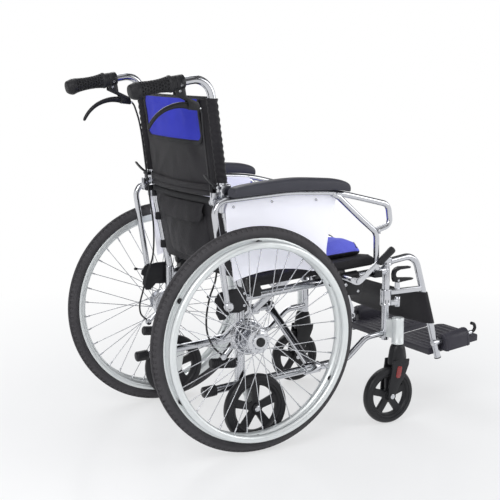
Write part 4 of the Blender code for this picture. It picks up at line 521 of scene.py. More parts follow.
rubbed, start, end = new_group(
    "rubbed", "ShaderNodeTree",
    (("Vector", "Vector", (0, 0, 0)), ("Roughness", "Float", 0.3), ("Spread", "Float", 0.1),
     ("Scale", "Float", 60.0)),
    (("Roughness", "Float"), ("Height", "Float")))
patch = add(rubbed, "ShaderNodeTexNoise", Vector=start["Vector"], Scale=start["Scale"], Detail=4.0)
thin = add(rubbed, "ShaderNodeMapping", Vector=start["Vector"], Scale=(0.08, 0.5, 1.0),
           Rotation=(0.3, 0.5, 0.2))
hair = add(rubbed, "ShaderNodeTexNoise", Vector=thin["Vector"], Detail=2.0,
           Scale=math_node(rubbed, "MULTIPLY", start["Scale"], 14.0))
lines = math_node(rubbed, "MULTIPLY", math_node(rubbed, "SUBTRACT", hair["Fac"], 0.58), 5.0, clamp=True)
soft = math_node(rubbed, "MULTIPLY", math_node(rubbed, "SUBTRACT", patch["Fac"], 0.5), 2.0)
uneven = math_node(rubbed, "MULTIPLY", math_node(rubbed, "ADD", soft, lines), start["Spread"])
feed(rubbed, end, Roughness=math_node(rubbed, "ADD", start["Roughness"], uneven, clamp=True),
     Height=math_node(rubbed, "SUBTRACT", patch["Fac"], math_node(rubbed, "MULTIPLY", lines, 0.4)))

woven, start, end = new_group(
    "woven", "ShaderNodeTree", (("Across", "Float", 0.0), ("Along", "Float", 0.0),
                                ("Threads", "Float", 900.0)),
    (("Height", "Float"), ("Gap", "Float")))
u = math_node(woven, "MULTIPLY", start["Across"], start["Threads"])
v = math_node(woven, "MULTIPLY", start["Along"], start["Threads"])
cell = math_node(woven, "ADD", math_node(woven, "FLOOR", u), math_node(woven, "FLOOR", v))
over = math_node(woven, "FLOORED_MODULO", cell, 2.0)
warp, weft = [math_node(woven, "SINE", math_node(woven, "MULTIPLY", math_node(woven, "FRACT", way),
                                                 math.pi))
              for way in (u, v)]
up = math_node(woven, "MULTIPLY", warp, over)
down = math_node(woven, "MULTIPLY", weft, math_node(woven, "SUBTRACT", 1.0, over))
thread = math_node(woven, "ADD", up, down)
feed(woven, end, Height=thread, Gap=math_node(woven, "SUBTRACT", 1.0, thread, clamp=True))
print("groups", len(bpy.data.node_groups))

# %% [markdown]
# One function builds the hard finishes. Its numbers say what the finish is: how bright, how metallic, how
# rough, and how strongly mottle and polish vary. Numbers that are the same all over sit on the shader
# itself.


def place_of(tree):
    return add(tree, "ShaderNodeTexCoord")["Object"]


def principled(name):
    """A new material with its tree and its shader's inputs."""
    material = bpy.data.materials.new(name)
    material.use_nodes = True
    return material, material.node_tree, material.node_tree.nodes["Principled BSDF"].inputs


def tinted(tree, here, colour, second, scale, amount):
    return add(tree, "ShaderNodeGroup", (("node_tree", mottle),), Vector=here, Colour=(*colour, 1),
               Second_Colour=(*second, 1), Scale=scale, Amount=amount)["Colour"]


def hard(name, colour, second, roughness, metallic=0.0, spread=0.08, mottling=0.5, scale=40.0,
         bump=0.0002,
         bump_scale=60.0, coat=0.0):
    material, tree, shader = principled(name)
    here = place_of(tree)
    polish = add(tree, "ShaderNodeGroup", (("node_tree", rubbed),), Vector=here, Roughness=roughness,
                 Spread=spread, Scale=bump_scale)
    relief = add(tree, "ShaderNodeBump", Height=polish["Height"], Strength=0.6, Distance=bump)
    feed(tree, shader, Base_Color=tinted(tree, here, colour, second, scale, mottling),
         Roughness=polish["Roughness"], Normal=relief["Normal"], Metallic=metallic, Coat_Weight=coat,
         Specular_IOR_Level=0.5 if metallic or coat else 0.32)
    return material


polished = hard("polished_aluminium", (0.60, 0.61, 0.64), (0.49, 0.50, 0.54), 0.15,
                1.0,
                spread=0.06, bump=0.00004)
satin = hard("satin_aluminium", (0.80, 0.83, 0.83), (0.70, 0.73, 0.74), 0.42, 0.75,
             spread=0.06, bump=0.00004)
plated = hard("plated_steel", (0.64, 0.65, 0.68), (0.48, 0.49, 0.52), 0.22, 1.0,
              spread=0.10,
              bump=0.00006)
tyre_rubber = hard("grey_tyre_rubber", (0.054, 0.051, 0.055), (0.080, 0.077, 0.081), 0.72,
                   spread=0.10, mottling=0.7, scale=22.0, bump=0.0004, bump_scale=260.0)
wheel_rubber = hard("small_wheel_rubber", (0.012, 0.012, 0.014), (0.024, 0.024, 0.027),
                    0.38,
                    spread=0.12, bump=0.0003, bump_scale=180.0)
moulded = hard("black_moulding", (0.010, 0.010, 0.012), (0.021, 0.021, 0.024), 0.36,
               spread=0.12, bump=0.0003, bump_scale=420.0)
grip_rubber = hard("grip_rubber", (0.012, 0.012, 0.014), (0.024, 0.024, 0.027), 0.50,
                   spread=0.12,
                   bump=0.0004, bump_scale=500.0)
pad_skin = hard("armrest_skin", (0.044, 0.044, 0.056), (0.062, 0.062, 0.076), 0.46, spread=0.10,
                scale=18.0, bump=0.0006, bump_scale=380.0)
plate_grey = hard("footplate_moulding", (0.034, 0.032, 0.043), (0.052, 0.050, 0.064), 0.40,
                  spread=0.12, bump=0.0004, bump_scale=300.0)
pale_sheet_painted_glow = hard("pale_sheet_with_painted_glow", (0.88, 0.88, 0.96), (0.93, 0.93, 0.98), 0.36,
                  spread=0.03,
                  mottling=0.3, scale=4.0, bump=0.00002, bump_scale=14.0)
# Painted glow: a fixed emission makes the milky sheet glow evenly whatever the lamps do. It stands in for
# light that would fall on its far side and show through.
feed(pale_sheet_painted_glow.node_tree, pale_sheet_painted_glow.node_tree.nodes["Principled BSDF"].inputs,
     Emission_Color=(0.96, 0.96, 1.0, 1), Emission_Strength=0.21)
reflector = hard("red_reflector", (0.20, 0.003, 0.003), (0.34, 0.007, 0.006), 0.18,
                 spread=0.04,
                 scale=300.0, bump=0.0006, bump_scale=500.0, coat=0.6)
jacket = hard("cable_jacket", (0.018, 0.018, 0.020), (0.032, 0.032, 0.035), 0.38)

# %% [markdown]
# Cloth needs its own recipe. The seat and back are nylon: a plain weave of about a thread to the
# millimetre, dark in the gaps, with a little sheen at grazing angles and broad soft shading where it has
# been handled. The weave reads two of the object's own directions, so the back and strap use y and z, and
# the seat uses x and y.

# %% Cloth finishes
def cloth(name, colour, second, axes, threads=900.0, roughness=0.85, sheen=0.25, depth=0.0004,
          gap=0.45):
    material, tree, shader = principled(name)
    here = place_of(tree)
    split = add(tree, "ShaderNodeSeparateXYZ", Vector=here)
    weave = add(tree, "ShaderNodeGroup", (("node_tree", woven),), Across=split[axes[0]],
                Along=split[axes[1]],
                Threads=threads)
    dim = add(tree, "ShaderNodeMix", (("data_type", "RGBA"), ("blend_type", "MULTIPLY")),
              Factor=math_node(tree, "MULTIPLY", weave["Gap"], gap),
              A=tinted(tree, here, colour, second, 9.0, 0.8), B=(0.35, 0.35, 0.38, 1))
    relief = add(tree, "ShaderNodeBump", Height=weave["Height"], Strength=0.7, Distance=depth)
    feed(tree, shader, Base_Color=dim["Result"], Normal=relief["Normal"], Roughness=roughness,
         Sheen_Weight=sheen,
         Sheen_Roughness=0.4, Specular_IOR_Level=0.28)
    return material


back_black = cloth("black_nylon_back", (0.010, 0.009, 0.012), (0.021, 0.019, 0.024), "YZ",
                   roughness=0.52, sheen=0.04)
seat_black = cloth("black_nylon_seat", (0.010, 0.009, 0.011), (0.018, 0.017, 0.021), "XY",
                   roughness=0.60, sheen=0.05)
back_blue = cloth("blue_mesh_back", (0.040, 0.050, 0.58), (0.060, 0.072, 0.76), "YZ",
                  threads=620.0, sheen=0.06, gap=0.45)
# The seat's blue is partly the cushion's own blue and partly painted light. It is made far paler and
# brighter than the back's blue mesh, to stand in for the light that falls on the cushion.
seat_blue_painted_light = cloth("blue_mesh_seat_painted_light", (0.175, 0.195, 0.95), (0.225, 0.250, 1.00), "XY",
                  threads=620.0, sheen=0.08, gap=0.35)
binding = cloth("black_binding", (0.009, 0.009, 0.011), (0.016, 0.016, 0.019), "YZ",
                threads=1400.0, roughness=0.62, sheen=0.05, depth=0.0002)
thread_grey = cloth("sewing_thread", (0.060, 0.058, 0.066), (0.085, 0.082, 0.092), "YZ",
                    threads=2400.0, depth=0.0001)
print("finishes", len(bpy.data.materials))

# %% [markdown]
# The last helpers place a finished mesh. It is slid into the frame's place, smoothed except across sharp
# edges, and given its material. Then it rides on its body, and the solid it stands for is hidden. Most
# pieces come in pairs whose name, body and solid all end in the side's label, and those go through part.

# %% Placing a piece
def piece(name, mesh, material, body=None, stands_for=None, sharp=32, slide=True, slot=None):
    if slide:
        mesh.transform(Matrix.Translation((AXLE_X, 0, 0)))
    mesh.shade_smooth()
    mesh.set_sharp_from_angle(angle=math.radians(sharp))
    mesh.materials.clear()
    mesh.materials.append(material)
    mesh.name = name
    made = placed(name, mesh)
    if body:
        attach(made, body)
    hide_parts(stands_for)
    return made


def part(label, name, mesh, material, body, stands_for, **more):
    """A piece of one side, on that side's body and for that side's solid."""
    return piece(f"{name}_{label}", mesh, material, f"{body}_{label}", f"{stands_for}_{label}", **more)


def screw_head(x, y, z, radius, side, rise=0.0025):
    """A domed socket screw whose head looks outwards along side."""
    profile = [(radius, 0), (radius, rise * 0.5), (radius * 0.8, rise), (radius * 0.45, rise),
               (radius * 0.45, rise * 0.3), (0.0002, rise * 0.3)]
    return lathe([(r, a * side) for r, a in profile], (x, y, z), 16, ring=False)


# %% [markdown]
# The camera comes before the pieces. It stands behind and to the right of the chair, a little above the
# wheels, with a long lens that keeps the uprights nearly parallel.

# %% Camera
CAMERA_PLACE = Vector((-1.429, -2.792, 0.995))
CAMERA_YAW, CAMERA_PITCH = 60.7, -9.4
lens = bpy.data.cameras.new("studio_camera")
lens.lens = 85.7
lens.sensor_width = 36
lens.dof.use_dof = False
camera = placed("studio_camera", lens)
camera.location = CAMERA_PLACE + Vector((AXLE_X, 0, 0))
way = Vector((math.cos(math.radians(CAMERA_YAW)), math.sin(math.radians(CAMERA_YAW)),
              math.tan(math.radians(CAMERA_PITCH))))
camera.rotation_euler = way.to_track_quat("-Z", "Y").to_euler()
bpy.context.scene.camera = camera
print("camera at", [round(v, 3) for v in camera.location])

# %% [markdown]
# The floor is a sheet of pale gloss board. Near the chair it is a real surface that takes the shadow and a
# faint reflection, and further out it fades into plain white, so no horizon shows from any side. The fade
# is only seen by camera, mirror and glass rays, so it never lights the chair.

# %% Floor
def mix_shaders(tree, factor, first, second):
    mix = tree.nodes.new("ShaderNodeMixShader")
    for socket, value in zip(mix.inputs, (factor, first, second)):
        tree.links.new(value, socket)
    return mix.outputs["Shader"]


floor_look, tree, board = principled("pale_floor")
feed(tree, board, Base_Color=(0.90, 0.91, 0.92, 1), Roughness=0.22, Specular_IOR_Level=0.45)
glow = add(tree, "ShaderNodeEmission", Color=(1, 1, 1, 1))
away = add(tree, "ShaderNodeVectorMath", (("operation", "LENGTH"),), Vector=place_of(tree))["Value"]
far = math_node(tree, "MULTIPLY", math_node(tree, "SUBTRACT", away, 0.75), 0.85, clamp=True)
path = add(tree, "ShaderNodeLightPath")
seen = math_node(tree, "MAXIMUM", path["Is Camera Ray"], path["Is Glossy Ray"])
seen = math_node(tree, "MAXIMUM", seen, path["Is Transmission Ray"])
near = math_node(tree, "ADD", math_node(tree, "MULTIPLY", far, 0.42), 0.58)
surface = mix_shaders(tree, math_node(tree, "MULTIPLY", near, seen),
                      tree.nodes["Principled BSDF"].outputs["BSDF"], glow["Emission"])
feed(tree, tree.nodes["Material Output"].inputs, Surface=surface)

bm = bmesh.new()
bmesh.ops.create_circle(bm, cap_ends=True, segments=96, radius=14.0)
bmesh.ops.translate(bm, verts=bm.verts, vec=(0, 0, -0.0006))
sheet = mesh_of(bm, "floor")
sheet.materials.append(floor_look)
placed("floor", sheet)
print("floor", len(sheet.vertices), "points")

# %% [markdown]
# The world is white to the camera. Metal needs something to mirror, or it looks like paint, so mirror rays
# meet white near the horizon, a grey band above it where a real studio has its dark ceiling, and a bright
# top. Two upright grey bands stand for the flags beside a set, and they draw the stripes seen on every bare
# tube. Plain diffuse rays only get an even soft fill.

# %% World and lamps
def ramp(tree, value, stops):
    """A colour ramp whose stops are given as (position, (red, green, blue))."""
    made = tree.nodes.new("ShaderNodeValToRGB")
    elements = made.color_ramp.elements
    for i, (position, colour) in enumerate(stops):
        element = elements[i] if i < 2 else elements.new(position)
        element.position = position
        element.color = (*colour, 1)
    tree.links.new(value, made.inputs["Fac"])
    return made.outputs["Color"]


def grey(*stops):
    return [(position, (level, level, level)) for position, level in stops]


bpy.context.scene.view_settings.view_transform = "Standard"
world = bpy.data.worlds.new("studio")
bpy.context.scene.world = world
world.use_nodes = True
tree = world.node_tree
tree.nodes.clear()
split = add(tree, "ShaderNodeSeparateXYZ", Vector=add(tree, "ShaderNodeTexCoord")["Generated"])
bands = ramp(tree, split["Z"], grey((0.30, 1)) + [(0.45, (0.10, 0.10, 0.11))]
             + grey((0.66, 0.16), (0.76, 0.85), (1.0, 1.0)))
sideways = math_node(tree, "ADD", math_node(tree, "MULTIPLY", split["X"], 0.5), 0.5)
flags = ramp(tree, sideways, grey((0.12, 1)) + [(0.20, (0.16, 0.16, 0.18))]
             + grey((0.27, 0.16), (0.36, 1.0), (0.62, 1.0), (0.70, 0.14), (0.78, 0.14), (0.88, 1.0)))
both = add(tree, "ShaderNodeMix", (("data_type", "RGBA"), ("blend_type", "MULTIPLY")), Factor=1.0, A=bands,
           B=flags)
mirror = add(tree, "ShaderNodeBackground", Color=both["Result"])
soft = add(tree, "ShaderNodeBackground", Color=(0.93, 0.95, 1.0, 1), Strength=0.55)
white = add(tree, "ShaderNodeBackground", Color=(1, 1, 1, 1))
path = add(tree, "ShaderNodeLightPath")
clear = math_node(tree, "MAXIMUM", path["Is Camera Ray"], path["Is Transmission Ray"])
inner = mix_shaders(tree, path["Is Glossy Ray"], soft["Background"], mirror["Background"])
add(tree, "ShaderNodeOutputWorld", Surface=mix_shaders(tree, clear, inner, white["Background"]))

AIM_POINT = Vector((0, 0, 0.45))
for name, place, power, size in (("key_lamp", (-2.6, -2.4, 2.8), 70, 2.2),
                                 ("side_lamp", (2.4, -2.2, 1.9), 30, 2.0),
                                 ("back_lamp", (0.4, 2.8, 2.7), 45, 2.4)):
    lamp = bpy.data.lights.new(name, "AREA")
    lamp.energy = power
    lamp.size = size
    held = placed(name, lamp)
    held.location = place
    held.rotation_euler = (AIM_POINT - Vector(place)).to_track_quat("-Z", "Y").to_euler()
print("lamps", [thing.name for thing in bpy.data.lights])

# %% [markdown]
# Each brake cable leaves a stop on the lever's clamp, drops behind the back post, and ends at the arm of
# the band brake beside the drive wheel. It is one smooth curve through a few points.

# %% Brake cables
def cable_route():
    inside = FRAME_Y - 0.0170
    top_x, top_z = -0.1210, 0.8640
    return [(top_x + 0.0006, FRAME_Y, top_z), (top_x + 0.0055, FRAME_Y - 0.001, top_z - 0.0014),
            (top_x + 0.0130, FRAME_Y - 0.006, top_z - 0.0170),
            (post_x(0.79) - 0.0250, inside, 0.7900), (post_x(0.66) - 0.0250, inside, 0.6600),
            (lower_post_x(0.60) - 0.0280, inside, 0.6000), (lower_post_x(0.52) - 0.0330, inside, 0.5200),
            (-0.0660, inside, 0.4400), (-0.0840, inside, 0.3900), (-0.0960, inside + 0.004, 0.3400),
            (-0.1000, inside + 0.018, 0.3000), (-0.0900, BRAKE_ARM_Y - 0.003, 0.2680),
            (-0.0710, BRAKE_ARM_Y, 0.2496)]


for label, s in SIDES:
    line = smooth_path([Vector((x + AXLE_X, s * y, z)) for x, y, z in cable_route()], 6)
    reach = sum((b - a).length for a, b in zip(line, line[1:]))
    cable = piece(f"cable_jacket_{label}", sweep(line, 0.0025, 12), jacket,
                  stands_for=f"brake_cable_{label}",
                  slide=False)
    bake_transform(cable)
    print("cable", label, "length", round(reach, 3))

# %% [markdown]
# A drive tyre is solid grey rubber with ribs along its crown and small blocks on its shoulders. Sculpting
# one hundred and twenty blocks by hand would be dull and uneven. One three-degree cell is drawn instead,
# across the tyre's section, and the ring tree lays copies of it round the axle, where their edges meet and
# merge.

# %% Drive tyres
TYRE_CENTRE = WHEEL_R - 0.0165
TREAD_CELLS = 120


def tyre_radius(angle, low):
    """The section's radius at an angle from the crown, on a block or in the gap between blocks."""
    a = abs(angle)
    if 13 <= a <= 17 or 25 <= a <= 29:
        return 0.0153
    if 31 <= a <= 60:
        return 0.0146 if low else 0.0165
    if 93 <= a <= 97:
        return 0.0162
    return 0.0165


def tread_cell(y):
    half = [0, 6, 12, 13, 17, 18, 24, 25, 29, 30, 32, 40, 50, 60, 64, 76, 88, 92, 93, 97, 98, 110, 128,
            144.9]
    section = [-a for a in reversed(half[1:])] + half
    rows = []
    for share, low_row in ((0, False), (0.50, False), (0.58, True), (0.92, True), (1, False)):
        turn = 2 * math.pi * share / TREAD_CELLS
        row = []
        for a in section:
            r = tyre_radius(a, low_row)
            reach = max(TYRE_CENTRE + r * math.cos(math.radians(a)), TYRE_CENTRE - 0.0135)
            row.append((reach * math.cos(turn), y + r * math.sin(math.radians(a)),
                        WHEEL_R - reach * math.sin(turn)))
        rows.append(row)
    bm = bmesh.new()
    grid = [[bm.verts.new(p) for p in row] for row in rows]
    for a, b in zip(grid, grid[1:]):
        strip(bm, a, b)
        bm.faces.new((a[-1], a[0], b[0], b[-1]))
    return mesh_of(bm)


for label, s in SIDES:
    ring_mesh = ring_of(tread_cell(s * WHEEL_Y), TREAD_CELLS, (0, s * WHEEL_Y, WHEEL_R))
    bm = bmesh.new()
    bm.from_mesh(ring_mesh)
    bmesh.ops.remove_doubles(bm, verts=bm.verts, dist=2e-5)
    tyre = part(label, "drive_tyre_tread", closed(bm), tyre_rubber, "wheel", "drive_tyre", sharp=28)
print("tyre faces", len(tyre.data.polygons))

# %% [markdown]
# A spoked wheel is a rim, a hub and wire. The rim and hub are turned shapes, so a profile swept round the
# axle gives them. The lacing repeats every four spokes: two leave the inner flange and two the outer,
# leaning each way so that they cross. One such group, with its nipples, is copied nine times by the ring
# tree.

# %% Rims, hubs and spokes
SPOKES = 36


def rim_mesh(y):
    half = [(0.2572, 0.0000), (0.2572, 0.0103), (0.2588, 0.0112), (0.2592, 0.0120), (0.2586, 0.0125),
            (0.2500, 0.0125), (0.2490, 0.0121), (0.2478, 0.0121), (0.2468, 0.0124), (0.2448, 0.0118),
            (0.2420, 0.0092), (0.2396, 0.0066), (0.2384, 0.0040), (0.2382, 0.0000)]
    profile = half + [(r, -a) for r, a in reversed(half[1:-1])]
    return lathe(profile, (0, y, WHEEL_R), 144)


def hub_mesh(s):
    out = [(0.0066, 0.2532), (0.0130, 0.2532), (0.0150, 0.2540), (0.0158, 0.2543), (0.0296, 0.2545),
           (0.0310, 0.2550), (0.0310, 0.2572), (0.0296, 0.2577), (0.0215, 0.2580), (0.0172, 0.2600),
           (0.0158, 0.2650), (0.0155, 0.2730), (0.0158, 0.2810), (0.0172, 0.2860), (0.0215, 0.2880),
           (0.0296, 0.2883), (0.0310, 0.2888), (0.0310, 0.2910), (0.0296, 0.2917), (0.0225, 0.2922),
           (0.0198, 0.2940), (0.0192, 0.2985), (0.0180, 0.2998), (0.0150, 0.3000), (0.0066, 0.3000)]
    return turned(out, s, 0, WHEEL_R, 48, ring=True)


def spoke_group(s):
    """Four spokes with their heads and nipples: one repeat of the lacing."""
    made = []
    mouth = 0.2420
    for k, turn in enumerate(angles(SPOKES)[:4]):
        flange = 0.256 if k % 2 == 0 else 0.290
        lean = 1 if k < 2 else -1
        foot = turn + lean * math.radians(50)
        y = flange + lean * 0.0021
        a = Vector((0.027 * math.cos(foot), s * y, WHEEL_R + 0.027 * math.sin(foot)))
        b = Vector((mouth * math.cos(turn), s * (WHEEL_Y + (flange - WHEEL_Y) * 0.2),
                    WHEEL_R + mouth * math.sin(turn)))
        way = (b - a).normalized()
        made.append(sweep([a, b], 0.0011, 8))
        made.append(sweep([b - way * 0.0170, b - way * 0.0160, b - way * 0.004, b + way * 0.001],
                          [0.0014, 0.0021, 0.0023, 0.0026], 8))
        head = Vector((a.x, s * (flange - lean * 0.0022), a.z))
        made.append(sweep([Vector((a.x, s * y, a.z)), Vector((a.x, s * flange, a.z)), head,
                           head - Vector((0, s * lean * 0.0008, 0))], [0.0011, 0.0013, 0.0022, 0.0016], 8))
    return join(*made)


for label, s in SIDES:
    body, node = "wheel", "drive_wheel"
    wire = ring_of(spoke_group(s), SPOKES // 4, (0, 0, WHEEL_R))
    part(label, "wheel_rim", rim_mesh(s * WHEEL_Y), satin, body, node, sharp=40)
    tooth = bevelled(side_block(s, (0.0185, 0.0222), (0.2945, 0.2988),
                                (WHEEL_R - 0.0024, WHEEL_R + 0.0024)), 0.0007)
    teeth = ring_of(tooth, 12, (0, 0, WHEEL_R))
    part(label, "wheel_hub", join(hub_mesh(s), teeth), plated, body, node, sharp=40)
    spokes = part(label, "wheel_spokes", wire, plated, body, node, sharp=50)
print("spoke faces", len(spokes.data.polygons))

# %% [markdown]
# The hand rim is a smooth ring outside the wheel that the rider pushes. It stands on six feet, each a short
# black moulding with a bolt into the rim. The ring is turned from a circle, and the foot is one cell for
# the ring tree.

# %% Hand rims
HAND_R = WHEEL_R - 0.0425
TUBE_R = 0.0095


def foot_mesh(s):
    turn = math.radians(30)
    reach = HAND_R + 0.003
    x, z = reach * math.cos(turn), WHEEL_R + reach * math.sin(turn)
    outline = [(0.0068, 0.2858), (0.0072, 0.2880), (0.0050, 0.2910), (0.0046, 0.2940), (0.0060, 0.2975),
               (0.0072, 0.2990), (0.0066, 0.3000)]
    return turned(outline, s, x, z, 20)


for label, s in SIDES:
    body, node = "wheel", "hand_rim"
    circle = [(HAND_R + TUBE_R * math.cos(t), s * (WHEEL_Y + 0.034) + TUBE_R * math.sin(t))
              for t in angles(20, 0)]
    part(label, "push_ring", lathe(circle, (0, 0, WHEEL_R), 144), satin, body, node, sharp=60)
    part(label, "push_ring_feet", ring_of(foot_mesh(s), 6, (0, 0, WHEEL_R)), moulded, body, node, sharp=40)

# %% [markdown]
# The axle is one steel pin. Inside the frame it ends in a nut, then a spacer keeps the hub off the brake
# drum, and outside the hub a black domed cap closes it. It does not turn with the wheel.

# %% Wheel axles
for label, s in SIDES:
    line = [(0.0095, 0.1852), (0.0100, 0.1858), (0.0100, 0.1924), (0.0095, 0.1930), (0.0060, 0.1930),
            (0.0060, 0.2415), (0.0108, 0.2416), (0.0110, 0.2422), (0.0110, 0.2520), (0.0108, 0.2525),
            (0.0060, 0.2526), (0.0060, 0.3004), (0.0030, 0.3005)]
    pin = turned(line, s, 0, WHEEL_R, 36)
    nut = plate(arc((0, WHEEL_R), 0.0118, 0, 300, 5), s, (0.1862, 0.1922), 0.0006)
    part(label, "axle_pin", join(pin, nut), plated, "frame", "wheel_axle")
    cap = [(0.0062, 0.3003), (0.0112, 0.3003), (0.0118, 0.3010), (0.0118, 0.3024), (0.0106, 0.3030),
           (0.0104, 0.3044), (0.0090, 0.3054), (0.0060, 0.3058), (0.0030, 0.3056)]
    part(label, "axle_cap", turned(cap, s, 0, WHEEL_R, 36), moulded, "frame", "wheel_axle")

# %% [markdown]
# The band brake is a pressed steel drum cover beside each drive wheel. Its rim is rolled, it has a raised
# ring and four bolts, and a bent arm with a clevis carries the cable's end.

# %% Band brakes
for label, s in SIDES:
    y0, y1 = 0.2192, 0.2412
    line = [(0.0065, y0), (0.0300, y0), (0.0330, y0 + 0.0012), (0.0430, y0 + 0.0012), (0.0452, y0 + 0.0022),
            (0.0460, y0 + 0.0050), (0.0455, y0 + 0.0080), (0.0455, y1 - 0.0080), (0.0460, y1 - 0.0055),
            (0.0452, y1 - 0.0022), (0.0430, y1 - 0.0004), (0.0400, y1), (0.0375, y1 - 0.0016),
            (0.0320, y1 - 0.0020), (0.0290, y1), (0.0220, y1), (0.0200, y1 - 0.0026), (0.0065, y1 - 0.0026)]
    drum = turned(line, s, 0, WHEEL_R, 64, ring=True)
    arm_y = s * BRAKE_ARM_Y
    ex, ez = -0.066, 0.2420
    arm = sweep(smooth_path([(-0.022, arm_y, WHEEL_R - 0.010), (-0.042, arm_y, WHEEL_R - 0.024),
                             (ex + 0.006, arm_y, ez + 0.004), (ex, arm_y, ez)], 6), 0.0052, 12, flat=0.7)
    stud = turned([(0.0066, 0.2198), (0.0080, 0.2206), (0.0080, 0.2298), (0.0066, 0.2306), (0.0040, 0.2306),
                   (0.0040, 0.2298)], s, ex, ez, 20)
    bolt = turned([(0.0034, y1 - 0.0004), (0.0034, y1 + 0.0012), (0.0022, y1 + 0.0018)], s, 0.0350, WHEEL_R,
                  6)
    bolts = ring_of(bolt, 4, (0, 0, WHEEL_R))
    ribs = ring_of(sweep([(0.0452, s * (y0 + 0.0070), WHEEL_R), (0.0452, s * (y1 - 0.0070), WHEEL_R)],
                         0.0010, 6), 24,
                   (0, 0, WHEEL_R))
    part(label, "band_brake_drum", join(drum, bolts, ribs), plated, "frame", "band_brake")
    part(label, "band_brake_arm", join(arm, stud), plated, "frame", "band_brake")

# %% [markdown]
# The small wheels are one moulding with a rubber tread. The disc has five windows, cut with a Boolean from
# a turned blank, and its edges are softened by a bevel. The tread is a separate turned ring with a rounded
# face and a groove where it meets the disc. A bright bolt closes each axle.

# %% Small wheels
TRANSIT_AXLE = (0.018, 0.102)
CASTER_AXLE = (0.431, 0.0775)
CASTER_Y = 0.244


def window(centre, middle, rim_inner, hub):
    x, z = centre
    outer = arc(centre, rim_inner - 0.0035, middle - 25, middle + 25, 10)
    turn = math.radians(middle)
    tip_at = (x + (hub + 0.0115) * math.cos(turn), z + (hub + 0.0115) * math.sin(turn))
    return outer + arc(tip_at, 0.0050, middle + 110, middle + 250, 6)


def small_wheel(label, name, radius, half, centre):
    """The disc and tread of one small wheel, whose name also starts its body's and its solid's."""
    x, y, z = centre
    rim_inner = radius * 0.70
    hub = 0.0125
    disc = [(0.0048, -half), (hub - 0.001, -half), (hub, 0.001 - half), (hub + 0.0012, -0.0062),
            (hub + 0.004, -0.0045), (rim_inner - 0.004, -0.0045), (rim_inner, -0.0062),
            (rim_inner + 0.0015, 0.0035 - half), (rim_inner + 0.004, 0.0015 - half),
            (rim_inner + 0.009, 0.0015 - half)]
    disc += [(r, -a) for r, a in reversed(disc)]
    blank = lathe(disc, (x, y, z), 80)
    tools = join(*[extrude(window((x, z), 90 + 36 + 72 * k, rim_inner, hub), y - 0.03, y + 0.03)
                   for k in range(5)])
    wheel = bevelled(cut_with(blank, tools), 0.0010, 2, 35)
    base = rim_inner + 0.0085
    tread = [(base, 0.0012 - half), (base + 0.0010, -half), (radius - 0.0075, -half),
             (radius - 0.0045, 0.0012 - half), (radius - 0.0015, 0.0050 - half), (radius - 0.0003, -0.0035),
             (radius, 0.0)]
    ring_line = tread + [(r, -a) for r, a in reversed(tread[:-1])]
    part(label, f"{name}_disc", wheel, moulded, name, f"{name}_wheel", sharp=40)
    part(label, f"{name}_tread", lathe(ring_line, (x, y, z), 96), wheel_rubber, name, f"{name}_wheel",
         sharp=45)


for label, s in SIDES:
    small_wheel(label, "transit", 0.089, 0.013, (TRANSIT_AXLE[0], s * 0.2397, TRANSIT_AXLE[1]))
    small_wheel(label, "caster", 0.0775, 0.013, (CASTER_AXLE[0], s * CASTER_Y, CASTER_AXLE[1]))

# %% [markdown]
# The caster fork is one black moulding: a domed crown under the bearing, shoulders that swell over the
# wheel, and two blades that trail behind the stem so that the wheel follows. The crown is a stack of ovals
# skinned together, the blades are plates with soft edges. A red reflector is set into the outer blade.

# %% Caster forks
STEM_X = 0.460


def fork_mesh(s):
    stem, y = STEM_X, CASTER_Y
    rings = []
    for z, r, w, shift in ((0.1612, 0.0255, 0.0190, -0.0020), (0.1640, 0.0270, 0.0208, -0.0015),
                           (0.1720, 0.0275, 0.0212, -0.0010), (0.1800, 0.0268, 0.0208, 0.0),
                           (0.1900, 0.0248, 0.0206, 0.0), (0.2000, 0.0228, 0.0202, 0.0),
                           (0.2080, 0.0205, 0.0190, 0.0), (0.2130, 0.0180, 0.0170, 0.0),
                           (0.2156, 0.0150, 0.0145, 0.0)):
        rings.append([(stem + shift + r * math.cos(t), s * (y + w * math.sin(t)), z)
                      for t in angles(32, 0)])
    crown = loft(rings)
    post = lathe([(0.0090, 0.2060), (0.0090, 0.2790), (0.0080, 0.2800)], (stem, s * y, 0), 24, axis="Z",
                 ring=False)
    blades = []
    for low_y, high_y in ((-0.0210, -0.0155), (0.0155, 0.0210)):
        outline = ([(stem + 0.0268, 0.1760), (stem + 0.0250, 0.1600), (stem + 0.0100, 0.1250),
                    (stem - 0.0080, 0.1000)]
                   + arc(CASTER_AXLE, 0.0122, 10, -190, 12)
                   + [(stem - 0.0400, 0.1050), (stem - 0.0330, 0.1360), (stem - 0.0285, 0.1600),
                      (stem - 0.0268, 0.1760)])
        blades.append(plate(outline[::-1], s, (y + low_y, y + high_y), 0.0014, 3))
    return join(crown, post, *blades)


for label, s in SIDES:
    body, node = "fork", "caster_fork"
    part(label, "fork_moulding", fork_mesh(s), moulded, body, node, sharp=45)
    axle_line = [(0.0020, 0.2190), (0.0062, 0.2194), (0.0070, 0.2204), (0.0070, 0.2228), (0.0045, 0.2230),
                 (0.0045, 0.2650), (0.0070, 0.2652), (0.0070, 0.2672), (0.0060, 0.2680), (0.0030, 0.2682)]
    bolt = turned(axle_line, s, *CASTER_AXLE, 24)
    part(label, "fork_bolt", bolt, plated, body, node)
    x, z = 0.4515, 0.1430
    face = [(x + 0.0078 * squared(math.cos(t), 0.45), z + 0.0165 * squared(math.sin(t), 0.45))
            for t in angles(32)]
    lamp = tipped(plate(face, s, (0.2646, 0.2664), 0.0007), -12, x, z)
    part(label, "fork_reflector", lamp, reflector, body, node)

